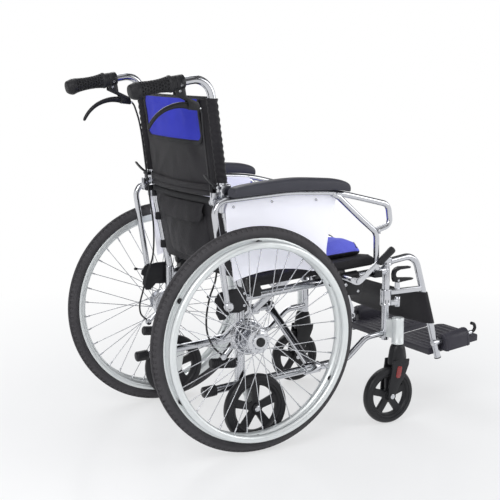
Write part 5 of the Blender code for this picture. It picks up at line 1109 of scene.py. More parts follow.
# %% [markdown]
# Each side of the chair is welded from round tube: two rails, an upright at each end, the lower back post,
# a stay that sweeps up to the caster, and a short tipping tube. The bent-tube tree makes each of them from
# a few points. Where one tube meets the side of another, a welder leaves a rippled bead along the saddle
# curve between them, so that curve is worked out and a small wavy ring is skinned along it.

# %% Side frame tubes and weld beads
RAIL_END_X = -0.105
TIPPING_TUBE = ((REAR_POST_X, 0.2150), (-0.088, 0.2230))


def weld(meet, way, along, thin, thick, bead=0.0017, steps=44):
    """A rippled bead where a thin tube, leaving along way, meets the side of a thicker one."""
    way = Vector(way).normalized()
    beside = way.cross(Vector(along)).normalized()
    base = beside.cross(way)
    path = []
    for t in angles(steps, 0):
        side = thin * math.sin(t)
        deep = math.sqrt(max(thick * thick - side * side, 0.0))
        path.append(Vector(meet) + way * deep + beside * side + base * thin * math.cos(t))
    rings = []
    for k, p in enumerate(path):
        run = (path[(k + 1) % steps] - path[k - 1]).normalized()
        out = (p - Vector(meet)) - way * (p - Vector(meet)).dot(way)
        out = (out - run * out.dot(run)).normalized()
        up = run.cross(out)
        r = bead * (1.12 if k % 2 else 0.88)
        rings.append([p + r * (math.cos(a) * out + math.sin(a) * up) for a in angles(8, 0)])
    return loft(rings, loop=True)


def side_tubes(s):
    y = s * FRAME_Y
    up = Vector((0, 0, 1))
    foot = rail(REAR_POST_X, LOWER_RAIL_Z, y)
    head = rail(REAR_POST_X, UPPER_RAIL_Z, y)
    front = rail(FRONT_POST_X, UPPER_RAIL_Z, y)
    stay_z = rail(FRONT_POST_X, LOWER_RAIL_Z).z + 0.052
    low_front = rail(0.283, LOWER_RAIL_Z, y)
    made = [tube([head, front], RAIL_R, sides=32),
            tube([rail(RAIL_END_X, LOWER_RAIL_Z, y), low_front], RAIL_R, sides=32),
            lathe([(0.0127, foot.z - 0.004), (0.0127, 0.4008), (0.0121, 0.4026), (0.0106, 0.4036)],
                  (REAR_POST_X, y, 0), 40, axis="Z", ring=False),
            lathe([(0.0080, 0.2220), (0.0094, 0.2222), (0.0100, 0.2228), (0.0100, 0.4520), (0.0088, 0.4542),
                   (0.0050, 0.4555)], (FRONT_POST_X, y, 0), 36, axis="Z", ring=False),
            tube(flat_path([(REAR_POST_X, 0.363), (REAR_POST_X, 0.403), (HINGE_X, 0.6340)], y), POST_R,
                 [0.06], sides=32),
            tube(flat_path([(0.262, rail(0.262, LOWER_RAIL_Z).z),
                            (0.318, rail(0.318, LOWER_RAIL_Z).z + 0.002), (0.382, stay_z - 0.006),
                            (FRONT_POST_X, stay_z)], y), 0.0085, [0.050, 0.045],
                 sides=28),
            sweep([low_front - RAIL_WAY * 0.014, low_front - RAIL_WAY * 0.001, low_front + RAIL_WAY * 0.006,
                   low_front + RAIL_WAY * 0.013], [0.0112, 0.0113, 0.0103, 0.0086], 28),
            tube([Vector((x, y, z)) for x, z in TIPPING_TUBE], 0.0080, sides=24)]
    tip_way = Vector((-0.080, 0, 0.0080))
    made += [weld(head, RAIL_WAY, up, RAIL_R, 0.0127), weld(front, -RAIL_WAY, up, RAIL_R, 0.0112),
             weld(foot, up, RAIL_WAY, 0.0127, 0.0112),
             weld((FRONT_POST_X, y, stay_z), (-1, 0, 0.02), up, 0.0085, 0.0102),
             weld((TIPPING_TUBE[0][0], y, TIPPING_TUBE[0][1]), tip_way, up, 0.0080, 0.0128)]
    boss = [(0.0066, 0.1934), (0.0186, 0.1934), (0.0200, 0.1948), (0.0200, 0.2174), (0.0188, 0.2188),
            (0.0066, 0.2188)]
    made.append(turned(boss, s, 0, WHEEL_R, 48, ring=True))
    return join(*made)


for label, s in SIDES:
    tubes = part(label, "side_tubes", side_tubes(s), polished, "frame", "side_frame", sharp=50)
print("side tube faces", len(tubes.data.polygons))

# %% [markdown]
# Castings and moulded blocks are fixed to the tubes. The bearing housing holds the caster's stem, black
# saddles take the seat rails when the chair is open, a forked socket holds the armrest's front leg, and a
# drop plate carries the small transit wheel. Each is an outline or a turned shape with softened edges.

# %% Castings on the side frame
def across_plate(outline, x_low, x_high):
    """A plate from a (y, z) outline, extruded along the chair."""
    return loft([[(x, y, z) for y, z in outline] for x in (x_low, x_high)])


def saddle_mesh(x, s):
    half = arc((0, SEAT_RAIL_Z), 0.0112, 186, 354, 14)
    outline = ([(-0.0128, 0.3815), (-0.0145, 0.3840), (-0.0145, 0.4160), (-0.0134, 0.4176)] + half
               + [(0.0134, 0.4176), (0.0145, 0.4160), (0.0145, 0.3840), (0.0128, 0.3815)])
    mesh = across_plate([(s * FRAME_Y + a, z) for a, z in outline], x - 0.012, x + 0.012)
    return tipped(bevelled(mesh, 0.0009), RAIL_PITCH, 0, 0)


def housing_mesh(s):
    x, y = STEM_X, s * CASTER_Y
    shell = lathe([(0.0096, 0.2166), (0.0157, 0.2166), (0.0165, 0.2174), (0.0165, 0.2250), (0.0161, 0.2256),
                   (0.0161, 0.2800), (0.0165, 0.2806), (0.0165, 0.2868), (0.0156, 0.2890), (0.0110, 0.2900),
                   (0.0040, 0.2903)], (x, y, 0), 48, axis="Z", ring=False)
    start = Vector((FRONT_POST_X, s * FRAME_Y, 0))
    end = Vector((x, y, 0))
    way = (end - start).normalized()
    side = Vector((-way.y, way.x, 0)) * 0.0068
    web = loft([[p + Vector((0, 0, z)) for p in (start - side, end - side - way * 0.011,
                                                 end + side - way * 0.011,
                                                 start + side)] for z in (0.2310, 0.2812)])
    return join(shell, bevelled(web, 0.0016, 3))


def receiver_mesh(s):
    outline = [(0.2085, 0.4054), (0.2455, 0.4054), (0.2465, 0.4064), (0.2465, 0.4245), (0.2436, 0.4245),
               (0.2436, 0.4112), (0.2265, 0.4112), (0.2265, 0.4245), (0.2236, 0.4245), (0.2222, 0.4160),
               (0.2085, 0.4150)]
    return bevelled(across_plate([(s * y, z) for y, z in outline], 0.380, 0.404), 0.0008)


def transit_mesh(s):
    rail_z = rail(TRANSIT_AXLE[0], LOWER_RAIL_Z).z
    outline = (arc(TRANSIT_AXLE, 0.013, 180, 360, 14) + [(0.035, 0.126), (0.042, rail_z - 0.008),
               (0.042, rail_z + 0.006), (-0.012, rail_z + 0.004), (-0.012, rail_z - 0.010), (0.001, 0.126)])
    sheet = plate(outline[::-1], s, (0.2110, 0.2230), 0.0014, 3)
    spacer = turned([(0.0046, 0.2200), (0.0080, 0.2200), (0.0080, 0.2262), (0.0046, 0.2262)], s,
                    *TRANSIT_AXLE, 28,
                    ring=True)
    head = turned([(0.0045, 0.2230), (0.0045, 0.2532), (0.0078, 0.2533), (0.0080, 0.2548), (0.0060, 0.2562),
                   (0.0030, 0.2560)], s, *TRANSIT_AXLE, 28)
    return sheet, join(spacer, head)


for label, s in SIDES:
    body, node = "frame", "side_frame"
    part(label, "rail_saddles", join(saddle_mesh(0.062, s), saddle_mesh(0.268, s)), moulded, body, node)
    part(label, "caster_housing", housing_mesh(s), satin, body, node, sharp=40)
    part(label, "armrest_socket", receiver_mesh(s), moulded, body, node)
    drop, axle_pin = transit_mesh(s)
    part(label, "transit_drop_plate", drop, satin, body, node)
    part(label, "transit_axle", axle_pin, plated, body, node)

# %% [markdown]
# The back folds at a cast hinge. The lower half, on the frame, is a block on the post with two ears; the
# upper half has a tongue between them, and a pin with a riveted head joins them. Both halves are made here,
# so that they share the same numbers and their faces meet.

# %% Hinge castings
PIN_X, PIN_Z = HINGE_X - 0.026, HINGE_Z - 0.010


def lower_hinge_mesh(s):
    y = s * FRAME_Y
    rear = HINGE_X - 0.014
    core = bevelled(block((rear, y - 0.013, 0.6039), (HINGE_X + 0.0145, y + 0.013, 0.63985)), 0.0022, 3)
    collar = lathe([(0.0108, 0.5905), (0.0118, 0.5912), (0.0122, 0.5930), (0.0122, 0.6060)],
                   (lower_post_x(0.598), y, 0), 32, axis="Z", ring=False)
    made = [core, collar]
    outline = ([(rear + 0.004, PIN_Z - 0.0094), (rear + 0.004,
                                                 PIN_Z + 0.0094)] + arc((PIN_X, PIN_Z), 0.0094, 90, 270,
                                                                        16))
    for a, b in ((-0.013, -0.0073), (0.0073, 0.013)):
        made.append(bevelled(extrude(outline, y + a, y + b), 0.0008))
    rivet = [(0.0030, -0.0134), (0.0052, -0.0133), (0.0056, -0.0124), (0.0040, -0.0122), (0.0040, 0.0122),
             (0.0056, 0.0124), (0.0052, 0.0133), (0.0030, 0.0134)]
    made.append(lathe([(r, y + a) for r, a in rivet], (PIN_X, 0, PIN_Z), 24, ring=False))
    return join(*made)


def upper_hinge_mesh(s):
    y = s * FRAME_Y
    rear = HINGE_X - 0.014
    core = bevelled(block((rear, y - 0.013, 0.64015), (HINGE_X + 0.0145, y + 0.013, 0.6751)), 0.0022, 3)
    lug = 0.0088
    outline = ([(rear + 0.004, 0.6402), (rear + 0.004, 0.6552), (PIN_X - lug, 0.6552)]
               + arc((PIN_X, PIN_Z), lug, 180, 360, 16) + [(PIN_X + lug, 0.6402)])
    hole = lathe([(0.0044, y - 0.03), (0.0044, y + 0.03)], (PIN_X, 0, PIN_Z), 24, ring=False)
    tongue = cut_with(bevelled(extrude(outline, y - 0.0068, y + 0.0068), 0.0006), hole)
    ears = [bevelled(extrude([(rear + 0.003, RELEASE_Z - 0.005), (rear + 0.003, RELEASE_Z + 0.005)]
                             + arc((RELEASE_X, RELEASE_Z), 0.005, 90, 270, 10), y + a, y + b), 0.0005)
            for a, b in ((-0.0125, -0.0085), (0.0085, 0.0125))]
    pin = lathe([(0.0025, y - 0.0130), (0.0025, y + 0.0130)], (RELEASE_X, 0, RELEASE_Z), 16, ring=False)
    return join(core, tongue, pin, *ears)


RELEASE_X, RELEASE_Z = HINGE_X - 0.0215, HINGE_Z + 0.0285
for label, s in SIDES:
    part(label, "hinge_lower_half", lower_hinge_mesh(s), polished, "frame", "side_frame", sharp=40)
    part(label, "hinge_upper_half", upper_hinge_mesh(s), polished, "back", "back_post", sharp=40)

# %% [markdown]
# Two rubber parts finish the rear of each side: a ribbed sleeve that an attendant treads on to tip the
# chair, and a plain cap over the open end of the lower rail. Both are sweeps whose radius changes along the
# way.

# %% Tipping sleeves and rail caps
for label, s in SIDES:
    y = s * FRAME_Y
    front, rear = [Vector((x, y, z)) for x, z in TIPPING_TUBE]
    way = (rear - front).normalized()
    start, finish = front + way * 0.0157, rear + way * 0.004
    length = (finish - start).length
    line, radii = [], []
    for k in range(61):
        share = k / 60
        line.append(start + way * length * share)
        groove = 0.0010 if 0.12 < share < 0.9 and (k % 5) in (2, 3) else 0.0
        end = 0.0030 * max(0.0, (share - 0.94) / 0.06) ** 2 + 0.0012 * max(0.0, (0.04 - share) / 0.04)
        radii.append(0.0130 - groove - end)
    part(label, "tipping_rubber", sweep(line, radii, 28), grip_rubber, "frame", "tipping_sleeve", sharp=35)
    back = rail(RAIL_END_X, LOWER_RAIL_Z, y) - RAIL_WAY * 0.010
    steps = [(0.0, 0.0090), (0.0006, 0.0118), (0.0020, 0.0136), (0.0042, 0.0145), (0.0300, 0.0145),
             (0.0306, 0.0139), (0.0345, 0.0139), (0.0352, 0.0144), (0.0360, 0.0140)]
    part(label, "rail_end_cap", stepped(back, RAIL_WAY, steps, 36), moulded, "frame", "rail_cap", sharp=35)

# %% [markdown]
# The folding mechanism is two crossed braces on one bolt. Each brace has a sleeve that turns on the lower
# rail of its own side and a seat rail at its upper end that sits in the saddles of the other side. They are
# laid out in a level plane and then tipped four degrees, like the rails themselves.

# %% Cross braces
RAIL_GAP = 0.26
BRACE_R = 0.0105
BRACE_HIGH = RAIL_GAP * RAIL_COS
SEAT_ENDS = [x / RAIL_COS + RAIL_GAP * math.sin(math.radians(RAIL_PITCH)) for x in (0.014, 0.398)]
TIP = Matrix.Translation((0, 0, LOWER_RAIL_Z)) @ Matrix.Rotation(-math.radians(RAIL_PITCH), 4, "Y")


def brace_mesh(place_x, foot_side, other_x):
    at = place_x / RAIL_COS
    foot = Vector((at, foot_side * FRAME_Y, 0))
    head = Vector((at, -foot_side * FRAME_Y, BRACE_HIGH))
    way = (head - foot).normalized()
    rear, front = [Vector((x, -foot_side * FRAME_Y, BRACE_HIGH)) for x in SEAT_ENDS]
    middle = (foot + head) / 2
    made = [tube([foot + way * 0.013, head - way * 0.006], BRACE_R, sides=32),
            tube([rear + Vector((0.001, 0, 0)), front - Vector((0.001, 0, 0))], 0.0104, sides=32),
            weld(head, -way, (1, 0, 0), BRACE_R, 0.0106), weld(foot, way, (1, 0, 0), BRACE_R, 0.0151)]
    sleeve = [(0.0117, -0.0230), (0.0143, -0.0230), (0.0150, -0.0222), (0.0150, 0.0222), (0.0143, 0.0230),
              (0.0117, 0.0230)]
    made.append(lathe(sleeve, foot, 40, axis="X"))
    boss = [(0.0066, -0.0100), (0.0138, -0.0100), (0.0145, -0.0092), (0.0145, 0.0092), (0.0138, 0.0100),
            (0.0066, 0.0100)]
    made.append(lathe(boss, middle, 40, axis="X"))
    mesh = join(*made)
    mesh.transform(TIP)
    bolt = None
    if foot_side < 0:
        gap = abs(other_x - place_x) / RAIL_COS
        line = [(0.0040, 0.0118), (0.0078, 0.0112), (0.0082, 0.0100), (0.0090, 0.0095),
                (0.0090, 0.0105 - gap), (0.0060, 0.0104 - gap), (0.0060, -gap - 0.0104),
                (0.0108, -gap - 0.0106), (0.0112, -gap - 0.0120), (0.0108, -gap - 0.0160),
                (0.0080, -gap - 0.0174), (0.0030, -gap - 0.0175)]
        bolt = lathe(line, middle, 32, axis="X", ring=False)
        bolt.transform(TIP)
    return mesh, bolt


for label, place_x, foot_side, other_x in (("right", 0.208, -1, 0.160), ("left", 0.160, 1, 0.208)):
    mesh, bolt = brace_mesh(place_x, foot_side, other_x)
    part(label, "brace_tube", mesh, polished, "brace", "cross_brace", sharp=50)
    if bolt:
        piece("brace_bolt", bolt, plated, "brace_right", "cross_brace_right", sharp=40)
    caps = []
    for x, turn in zip(SEAT_ENDS, (1, -1)):
        line = [(0.0060, -0.0006 * turn), (0.0098, 0.0002 * turn), (0.0108, 0.0014 * turn),
                (0.0108, 0.0060 * turn), (0.0104, 0.0066 * turn)]
        caps.append(lathe(line, (x, -foot_side * FRAME_Y, BRACE_HIGH), 28, axis="X", ring=False))
    ends = join(*caps)
    ends.transform(TIP)
    part(label, "seat_rail_caps", ends, moulded, "brace", "cross_brace")

# %% [markdown]
# The armrest is one bent tube that runs from its pivot up and over to a looped nose, with a second tube as
# the front leg. The pad and the clothes guard both follow the tube's top run, so the rounded path is also
# worked out in Python and read back as a height for any x.

# %% Armrest lines
ARM_Y = 0.2350
ARM_TUBE_R = 0.0080
GUARD_Y = 0.2272
ARM_PIVOT = (-0.058, 0.372)
ARM_BREAK = (0.262, 0.6400)
ARM_LOOP = [ARM_PIVOT, (-0.0985, 0.6360), (0.120, 0.6480), ARM_BREAK, (0.4260, 0.5990), (0.4340, 0.5440),
            (0.3890, 0.5310)]
ARM_BENDS = [0.034, 0.60, 0.50, 0.026, 0.020]


def rounded(points, radii, steps=10):
    """A flat path with each inner corner replaced by an arc."""
    p = [Vector(q) for q in points]
    out = [p[0]]
    for i in range(1, len(p) - 1):
        back, ahead = (p[i - 1] - p[i]).normalized(), (p[i + 1] - p[i]).normalized()
        half = back.angle(ahead) / 2
        reach = radii[i - 1] / math.tan(half)
        centre = p[i] + (back + ahead).normalized() * radii[i - 1] / math.sin(half)
        a, b = p[i] + back * reach - centre, p[i] + ahead * reach - centre
        turn = a.angle(b)
        shares = [k / steps for k in range(steps + 1)]
        out += [centre + (math.sin((1 - t) * turn) * a + math.sin(t * turn) * b) / math.sin(turn)
                for t in shares]
    return out + [p[-1]]


ARM_TOP = [p for p in rounded(ARM_LOOP, ARM_BENDS) if p.y > 0.615]


def arm_line(x):
    for a, b in zip(ARM_TOP, ARM_TOP[1:]):
        if a.x <= x <= b.x:
            return a.y + (b.y - a.y) * (x - a.x) / (b.x - a.x)
    return ARM_TOP[0].y if x < ARM_TOP[0].x else ARM_TOP[-1].y

# %% [markdown]
# The tubes come from the bent-tube tree, and the eye at the pivot is a turned boss. A bead marks where the
# leg is welded under the top run, and another where the nose comes back to the knee.

# %% Armrest frames
for label, s in SIDES:
    y = s * ARM_Y
    loop = tube(flat_path(ARM_LOOP, y), ARM_TUBE_R, ARM_BENDS, sides=28)
    leg = tube(flat_path([(0.248, 0.637), (0.270, 0.627), (0.340, 0.566), (0.390, 0.525), (0.392, 0.4115)],
                         y),
               ARM_TUBE_R, [0.012, 0.080, 0.030], sides=28)
    eye = lathe([(0.0056, s * -0.0080), (0.0112, s * -0.0080), (0.0120, s * -0.0072), (0.0120, s * 0.0072),
                 (0.0112, s * 0.0080), (0.0056, s * 0.0080)], (ARM_PIVOT[0], y, ARM_PIVOT[1]), 36)
    beads = [weld((0.3905, y, 0.5285), (0.045, 0, 0.013), (0, 0, 1), ARM_TUBE_R, 0.0084),
             weld((0.2560, y, arm_line(0.256)), (0.022, 0, -0.012), (1, 0, 0), ARM_TUBE_R, 0.0082),
             weld((ARM_PIVOT[0], y, ARM_PIVOT[1]), (-0.0405, 0, 0.264), (0, 1, 0), ARM_TUBE_R, 0.0121)]
    plug = lathe([(0.0040, 0.4112), (0.0078, 0.4115), (0.0086, 0.4125), (0.0086, 0.4190), (0.0080, 0.4200)],
                 (0.392, y, 0), 24, axis="Z", ring=False)
    part(label, "armrest_tube", join(loop, leg, eye, *beads), polished, "armrest", "armrest_frame",
         sharp=50)
    part(label, "armrest_foot", plug, moulded, "armrest", "armrest_frame")

# %% [markdown]
# The pad is skinned foam, moulded in one piece: an arched back, full rounded shoulders, a parting line
# where the mould closed, and a flat underside that sits on the tube. A stack of sections along the arm is
# skinned and then subdivided, which is how such soft mouldings keep even curves.

# %% Armrest pads
def pad_mesh(s):
    section = ((-0.70, 0.0), (-0.90, 0.05), (-0.985, 0.20), (-0.965, 0.245), (-1.0, 0.29), (-1.0, 0.55),
               (-0.95, 0.78), (-0.78, 0.935), (-0.45, 1.0), (0, 1.02), (0.45, 1.0), (0.78, 0.935),
               (0.95, 0.78), (1.0, 0.55), (1.0, 0.29), (0.965, 0.245), (0.985, 0.20), (0.90, 0.05),
               (0.70, 0.0), (0.35, 0.0), (0, 0.0), (-0.35, 0.0))
    rings = []
    for u, swell, wide in ((0, 0.60, 0.80), (0.004, 0.72, 0.90), (0.014, 0.84, 0.955), (0.035, 0.94, 0.985),
                           (0.08, 0.99, 1.0), (0.16, 1.0, 1), (0.26, 1, 1), (0.36, 1, 1), (0.46, 1, 1),
                           (0.56, 1, 1), (0.66, 1, 1), (0.76, 1, 1), (0.85, 1.0, 1), (0.92, 0.98, 1),
                           (0.965, 0.93, 0.985), (0.986, 0.84, 0.955), (0.996, 0.72, 0.90),
                           (1, 0.58, 0.80)):
        x = -0.054 + 0.340 * u
        low = arm_line(x) + ARM_TUBE_R
        if abs(x - ARM_BREAK[0]) < 0.04:
            low += 0.0012
        high = low + 0.0265 * swell + 0.0050 * (1 - (2 * u - 1) ** 2)
        rings.append([(x, s * (0.2480 + 0.0222 * wide * y), low + (high - low) * z) for y, z in section])
    return subdivided(loft(rings), 2)


for label, s in SIDES:
    pad = part(label, "armrest_cushion", pad_mesh(s), pad_skin, "armrest", "armrest_pad", sharp=70)
print("pad faces", len(pad.data.polygons))

# %% [markdown]
# The clothes guard is a thin sheet of pale moulded plastic inside the tube, with an arched lower edge over
# the wheel and a folded lip all round. Three screws and two clips hold it to the tube.

# %% Clothes guards
def guard_outline():
    low = [(-0.035 + u * 0.253, 0.432 + 0.020 * (1 - (2 * u - 1) ** 2))
           for u in [k / 24 for k in range(25)]]
    corner = arc((0.226, 0.452), 0.012, -60, 0, 5)
    front = [(0.238, 0.492), (0.246, 0.545), (0.262, arm_line(0.264) - 0.030),
             (0.266, arm_line(0.264) - 0.012)]
    top = [(0.262 - 0.297 * k / 20, arm_line(0.262 - 0.297 * k / 20) - 0.001) for k in range(21)]
    rear = [(-0.052, arm_line(-0.05) - 0.008), (-0.058, arm_line(-0.055) - 0.026), (-0.054, 0.560),
            (-0.044, 0.500)]
    return low[:-2] + corner + front + top + rear


def guard_mesh(s):
    outline = guard_outline()
    middle = Vector((sum(x for x, _ in outline) / len(outline), sum(z for _, z in outline) / len(outline)))
    inset = []
    for x, z in outline:
        way = (Vector((x, z)) - middle).normalized()
        inset.append((x - way.x * 0.0045, z - way.y * 0.0045))
    sunk = [(x - (x - middle.x) * 0.008, z - (z - middle.y) * 0.008) for x, z in inset]
    return loft([flat_path(line, s * y) for line, y in ((outline, GUARD_Y - 0.0025), (outline, GUARD_Y),
                                                        (inset, GUARD_Y), (sunk, GUARD_Y - 0.0008))])


for label, s in SIDES:
    part(label, "clothes_guard", guard_mesh(s), pale_sheet_painted_glow, "armrest", "side_panel", sharp=30)
    fixings = [screw_head(x, s * 0.2262, arm_line(x) - drop, 0.0042, s) for x, drop in
               ((-0.036, 0.020), (0.074, 0.019), (0.205, 0.020))]
    for x in (0.020, 0.138):
        z = arm_line(x)
        hook = sweep(smooth_path([(x, s * 0.2235, z - 0.024), (x + 0.003, s * 0.2235, z - 0.012),
                                  (x + 0.003, s * 0.2238, z - 0.003)], 6), 0.0026, 10)
        fixings.append(hook)
    part(label, "guard_fixings", join(*fixings), plated, "armrest", "side_panel")

# %% [markdown]
# The lock bracket is a black moulding bolted to the rear upright. The armrest turns on its bright bolt, and
# a thin pull rod with a round knob frees it. Ribs on its face keep a real bracket stiff, so the outline is
# stepped.

# %% Armrest locks
for label, s in SIDES:
    x, z = ARM_PIVOT
    body, node = "frame", "armrest_lock"
    outline = [(0.002, z + 0.040), (-0.040, z + 0.040), (-0.076, z + 0.034), (-0.086, z + 0.020),
               (-0.088, z + 0.010), (-0.080, z + 0.004), (-0.084, z - 0.018), (-0.074, z - 0.036),
               (-0.060, z - 0.036), (-0.044, z - 0.020), (-0.020, z - 0.022), (0.002, z - 0.014)]
    base = plate(outline, s, (0.2190, 0.2250), 0.0014, 3)
    face = [(-0.004, z + 0.036), (-0.040, z + 0.036), (-0.072, z + 0.031), (-0.081, z + 0.018),
            (-0.074, z + 0.006), (-0.078, z - 0.017), (-0.071, z - 0.031), (-0.062, z - 0.031),
            (-0.046, z - 0.016), (-0.004, z - 0.012)]
    rib = plate(face, s, (0.2245, 0.2264), 0.0007)
    studs = [screw_head(-0.006, s * 0.2262, z + rise, 0.0042, s) for rise in (0.027, -0.004)]
    part(label, "arm_lock_moulding", join(base, rib), moulded, body, node)
    bolt = turned([(0.0050, 0.2250), (0.0050, 0.2434), (0.0100, 0.2436), (0.0114, 0.2442), (0.0115, 0.2460),
                   (0.0100, 0.2472), (0.0070, 0.2474), (0.0050, 0.2466), (0.0030, 0.2466)], s, x, z, 36)
    rod = sweep([(x - 0.022, s * 0.2222, z + 0.0242), (x - 0.048, s * 0.2222, z + 0.0273)], 0.0022, 14)
    knob_line = [(-0.0405, 0.0018), (-0.0420, 0.0030), (-0.0450, 0.0040), (-0.0485, 0.0040),
                 (-0.0505, 0.0026)]
    knob = sweep([(x + dx, s * 0.2222, z + 0.0242 - (dx + 0.022) * 0.1192) for dx, _ in knob_line],
                 [r for _, r in knob_line], 20)
    part(label, "arm_lock_bolt", join(bolt, rod, *studs), plated, body, node)
    part(label, "arm_lock_knob", knob, moulded, body, node)

# %% [markdown]
# The parking brake is a flat steel lever on a bracket clamped to the upper rail. A steel tab with an eye
# hangs behind the bracket. In front the lever ends in a fat rubber grip, and behind in a bar that presses
# on the tyre. The lever is one outline with soft edges; the grip is a sweep with a swollen end.

# %% Parking brakes
PARK_X, PARK_Z = 0.325, 0.402
SHOE_REACH, SHOE_TURN = WHEEL_R + 0.020, math.radians(25)
SHOE = (SHOE_REACH * math.cos(SHOE_TURN), WHEEL_R + SHOE_REACH * math.sin(SHOE_TURN))


def lever_outline():
    """The flat bar's outline from the shoe over the pivot to the grip."""
    line = smooth_path([(SHOE[0] - 0.001, 0, SHOE[1]), (0.300, 0, 0.409), (PARK_X, 0, PARK_Z),
                        (0.350, 0, 0.4165), (0.386, 0, 0.4450), (0.398, 0, 0.4545)], 6)
    widths = [0.0062 + 0.0035 * max(0.0, 1 - abs(p.x - PARK_X) / 0.030) for p in line]
    top, low = [], []
    for i, p in enumerate(line):
        run = heading(line, i)
        up = Vector((-run.z, 0, run.x))
        top.append((p.x + up.x * widths[i], p.z + up.z * widths[i]))
        low.append((p.x - up.x * widths[i], p.z - up.z * widths[i]))
    return top + low[::-1]


for label, s in SIDES:
    x, z = PARK_X, PARK_Z
    top = rail(x, UPPER_RAIL_Z, s * FRAME_Y)
    ring = [(0.0113, -0.0240), (0.0140, -0.0240), (0.0148, -0.0232), (0.0148, 0.0232), (0.0140, 0.0240),
            (0.0113, 0.0240)]
    clamp = lathe(ring, (0, 0, 0), 40, axis="X")
    clamp.transform(Matrix.Translation(top) @ Matrix.Rotation(-math.radians(RAIL_PITCH), 4, "Y"))
    outline = [(x - 0.040, top.z - 0.004), (x - 0.036, top.z - 0.020), (x - 0.012, top.z - 0.046),
               (x + 0.026, top.z - 0.048), (x + 0.034, top.z - 0.030), (x + 0.034, top.z + 0.004)]
    sheet = plate(outline, s, (0.2120, 0.2214), 0.0018, 3)
    boss = turned([(0.0042, 0.2200), (0.0090, 0.2200), (0.0090, 0.2446), (0.0080, 0.2452),
                   (0.0042, 0.2452)],
                  s, x, z, 32, ring=True)
    body, node = "frame", "parking_bracket"
    part(label, "brake_bracket", join(clamp, sheet, boss), moulded, body, node)
    rivets = [screw_head(x + dx, s * 0.2208, top.z - drop, radius, s) for dx, drop, radius in
              ((-0.021, 0.017, 0.0050), (0.022, 0.015, 0.0050), (0.018, 0.037, 0.0040))]
    pin = turned([(0.0040, 0.2440), (0.0040, 0.2496), (0.0062, 0.2498), (0.0066, 0.2506), (0.0060, 0.2518),
                  (0.0030, 0.2520)], s, x, z, 28)
    tab_line = [(x - 0.030, top.z - 0.018), (x - 0.028, top.z - 0.052), (x - 0.002, top.z - 0.094),
                (x + 0.006, top.z - 0.099), (x + 0.013, top.z - 0.096), (x + 0.014, top.z - 0.086),
                (x - 0.004, top.z - 0.046), (x - 0.006, top.z - 0.018)]
    tab = plate(tab_line, s, (0.2085, 0.2119), 0.0006)
    eye = turned([(0.0064 + 0.0019 * math.cos(t), 0.2102 + 0.0019 * math.sin(t)) for t in angles(12, 0)],
                 s, x + 0.0095, top.z - 0.1050, 32, ring=True)
    part(label, "brake_bracket_screws", join(pin, tab, eye, *rivets), plated, body, node)
    body, node = "parking", "parking_lever"
    hole = turned([(0.0045, 0.23), (0.0045, 0.26)], s, x, z, 24)
    bar = cut_with(plate(lever_outline(), s, (0.2457, 0.2493), 0.0006), hole)
    shoe = turned([(0.0040, 0.2455), (0.0058, 0.2458), (0.0060, 0.2466), (0.0060, 0.2880), (0.0054, 0.2892),
                   (0.0030, 0.2895)], s, *SHOE, 28)
    part(label, "brake_lever_bar", join(bar, shoe), plated, body, node)
    a, b = Vector((0.3860, s * 0.2535, 0.4450)), Vector((0.4330, s * 0.2535, 0.4820))
    steps = [(0.0, 0.0064), (0.02, 0.0076), (0.07, 0.0090), (0.30, 0.0096), (0.60, 0.0094), (0.80, 0.0102),
             (0.93, 0.0099), (0.98, 0.0082), (1.0, 0.0050)]
    grip = sweep([a.lerp(b, u) for u, _ in steps], [r for _, r in steps], 28)
    part(label, "parking_grip", grip, grip_rubber, body, node, sharp=50)

# %% [markdown]
# The back post is one tube that rises from the hinge, leans back a little, and bends over into the push
# handle. The grip on it is soft rubber with a flared end, a waist and a rolled collar, and its sides carry
# rows of small dimples. Dimples are geometry here: the sweep has fine rings, and points that fall in a
# dimple are pushed in.

# %% Back posts and push grips
CORNER_Z = 0.9385
HANDLE_END = (-0.298, CORNER_Z - 0.0320)
CORNER = (post_x(CORNER_Z), CORNER_Z)
HANDLE_WAY = (Vector((HANDLE_END[0], 0, HANDLE_END[1])) - Vector((CORNER[0], 0, CORNER[1]))).normalized()


def handle_point(forward, s):
    return Vector((HANDLE_END[0], s * FRAME_Y, HANDLE_END[1])) - HANDLE_WAY * forward


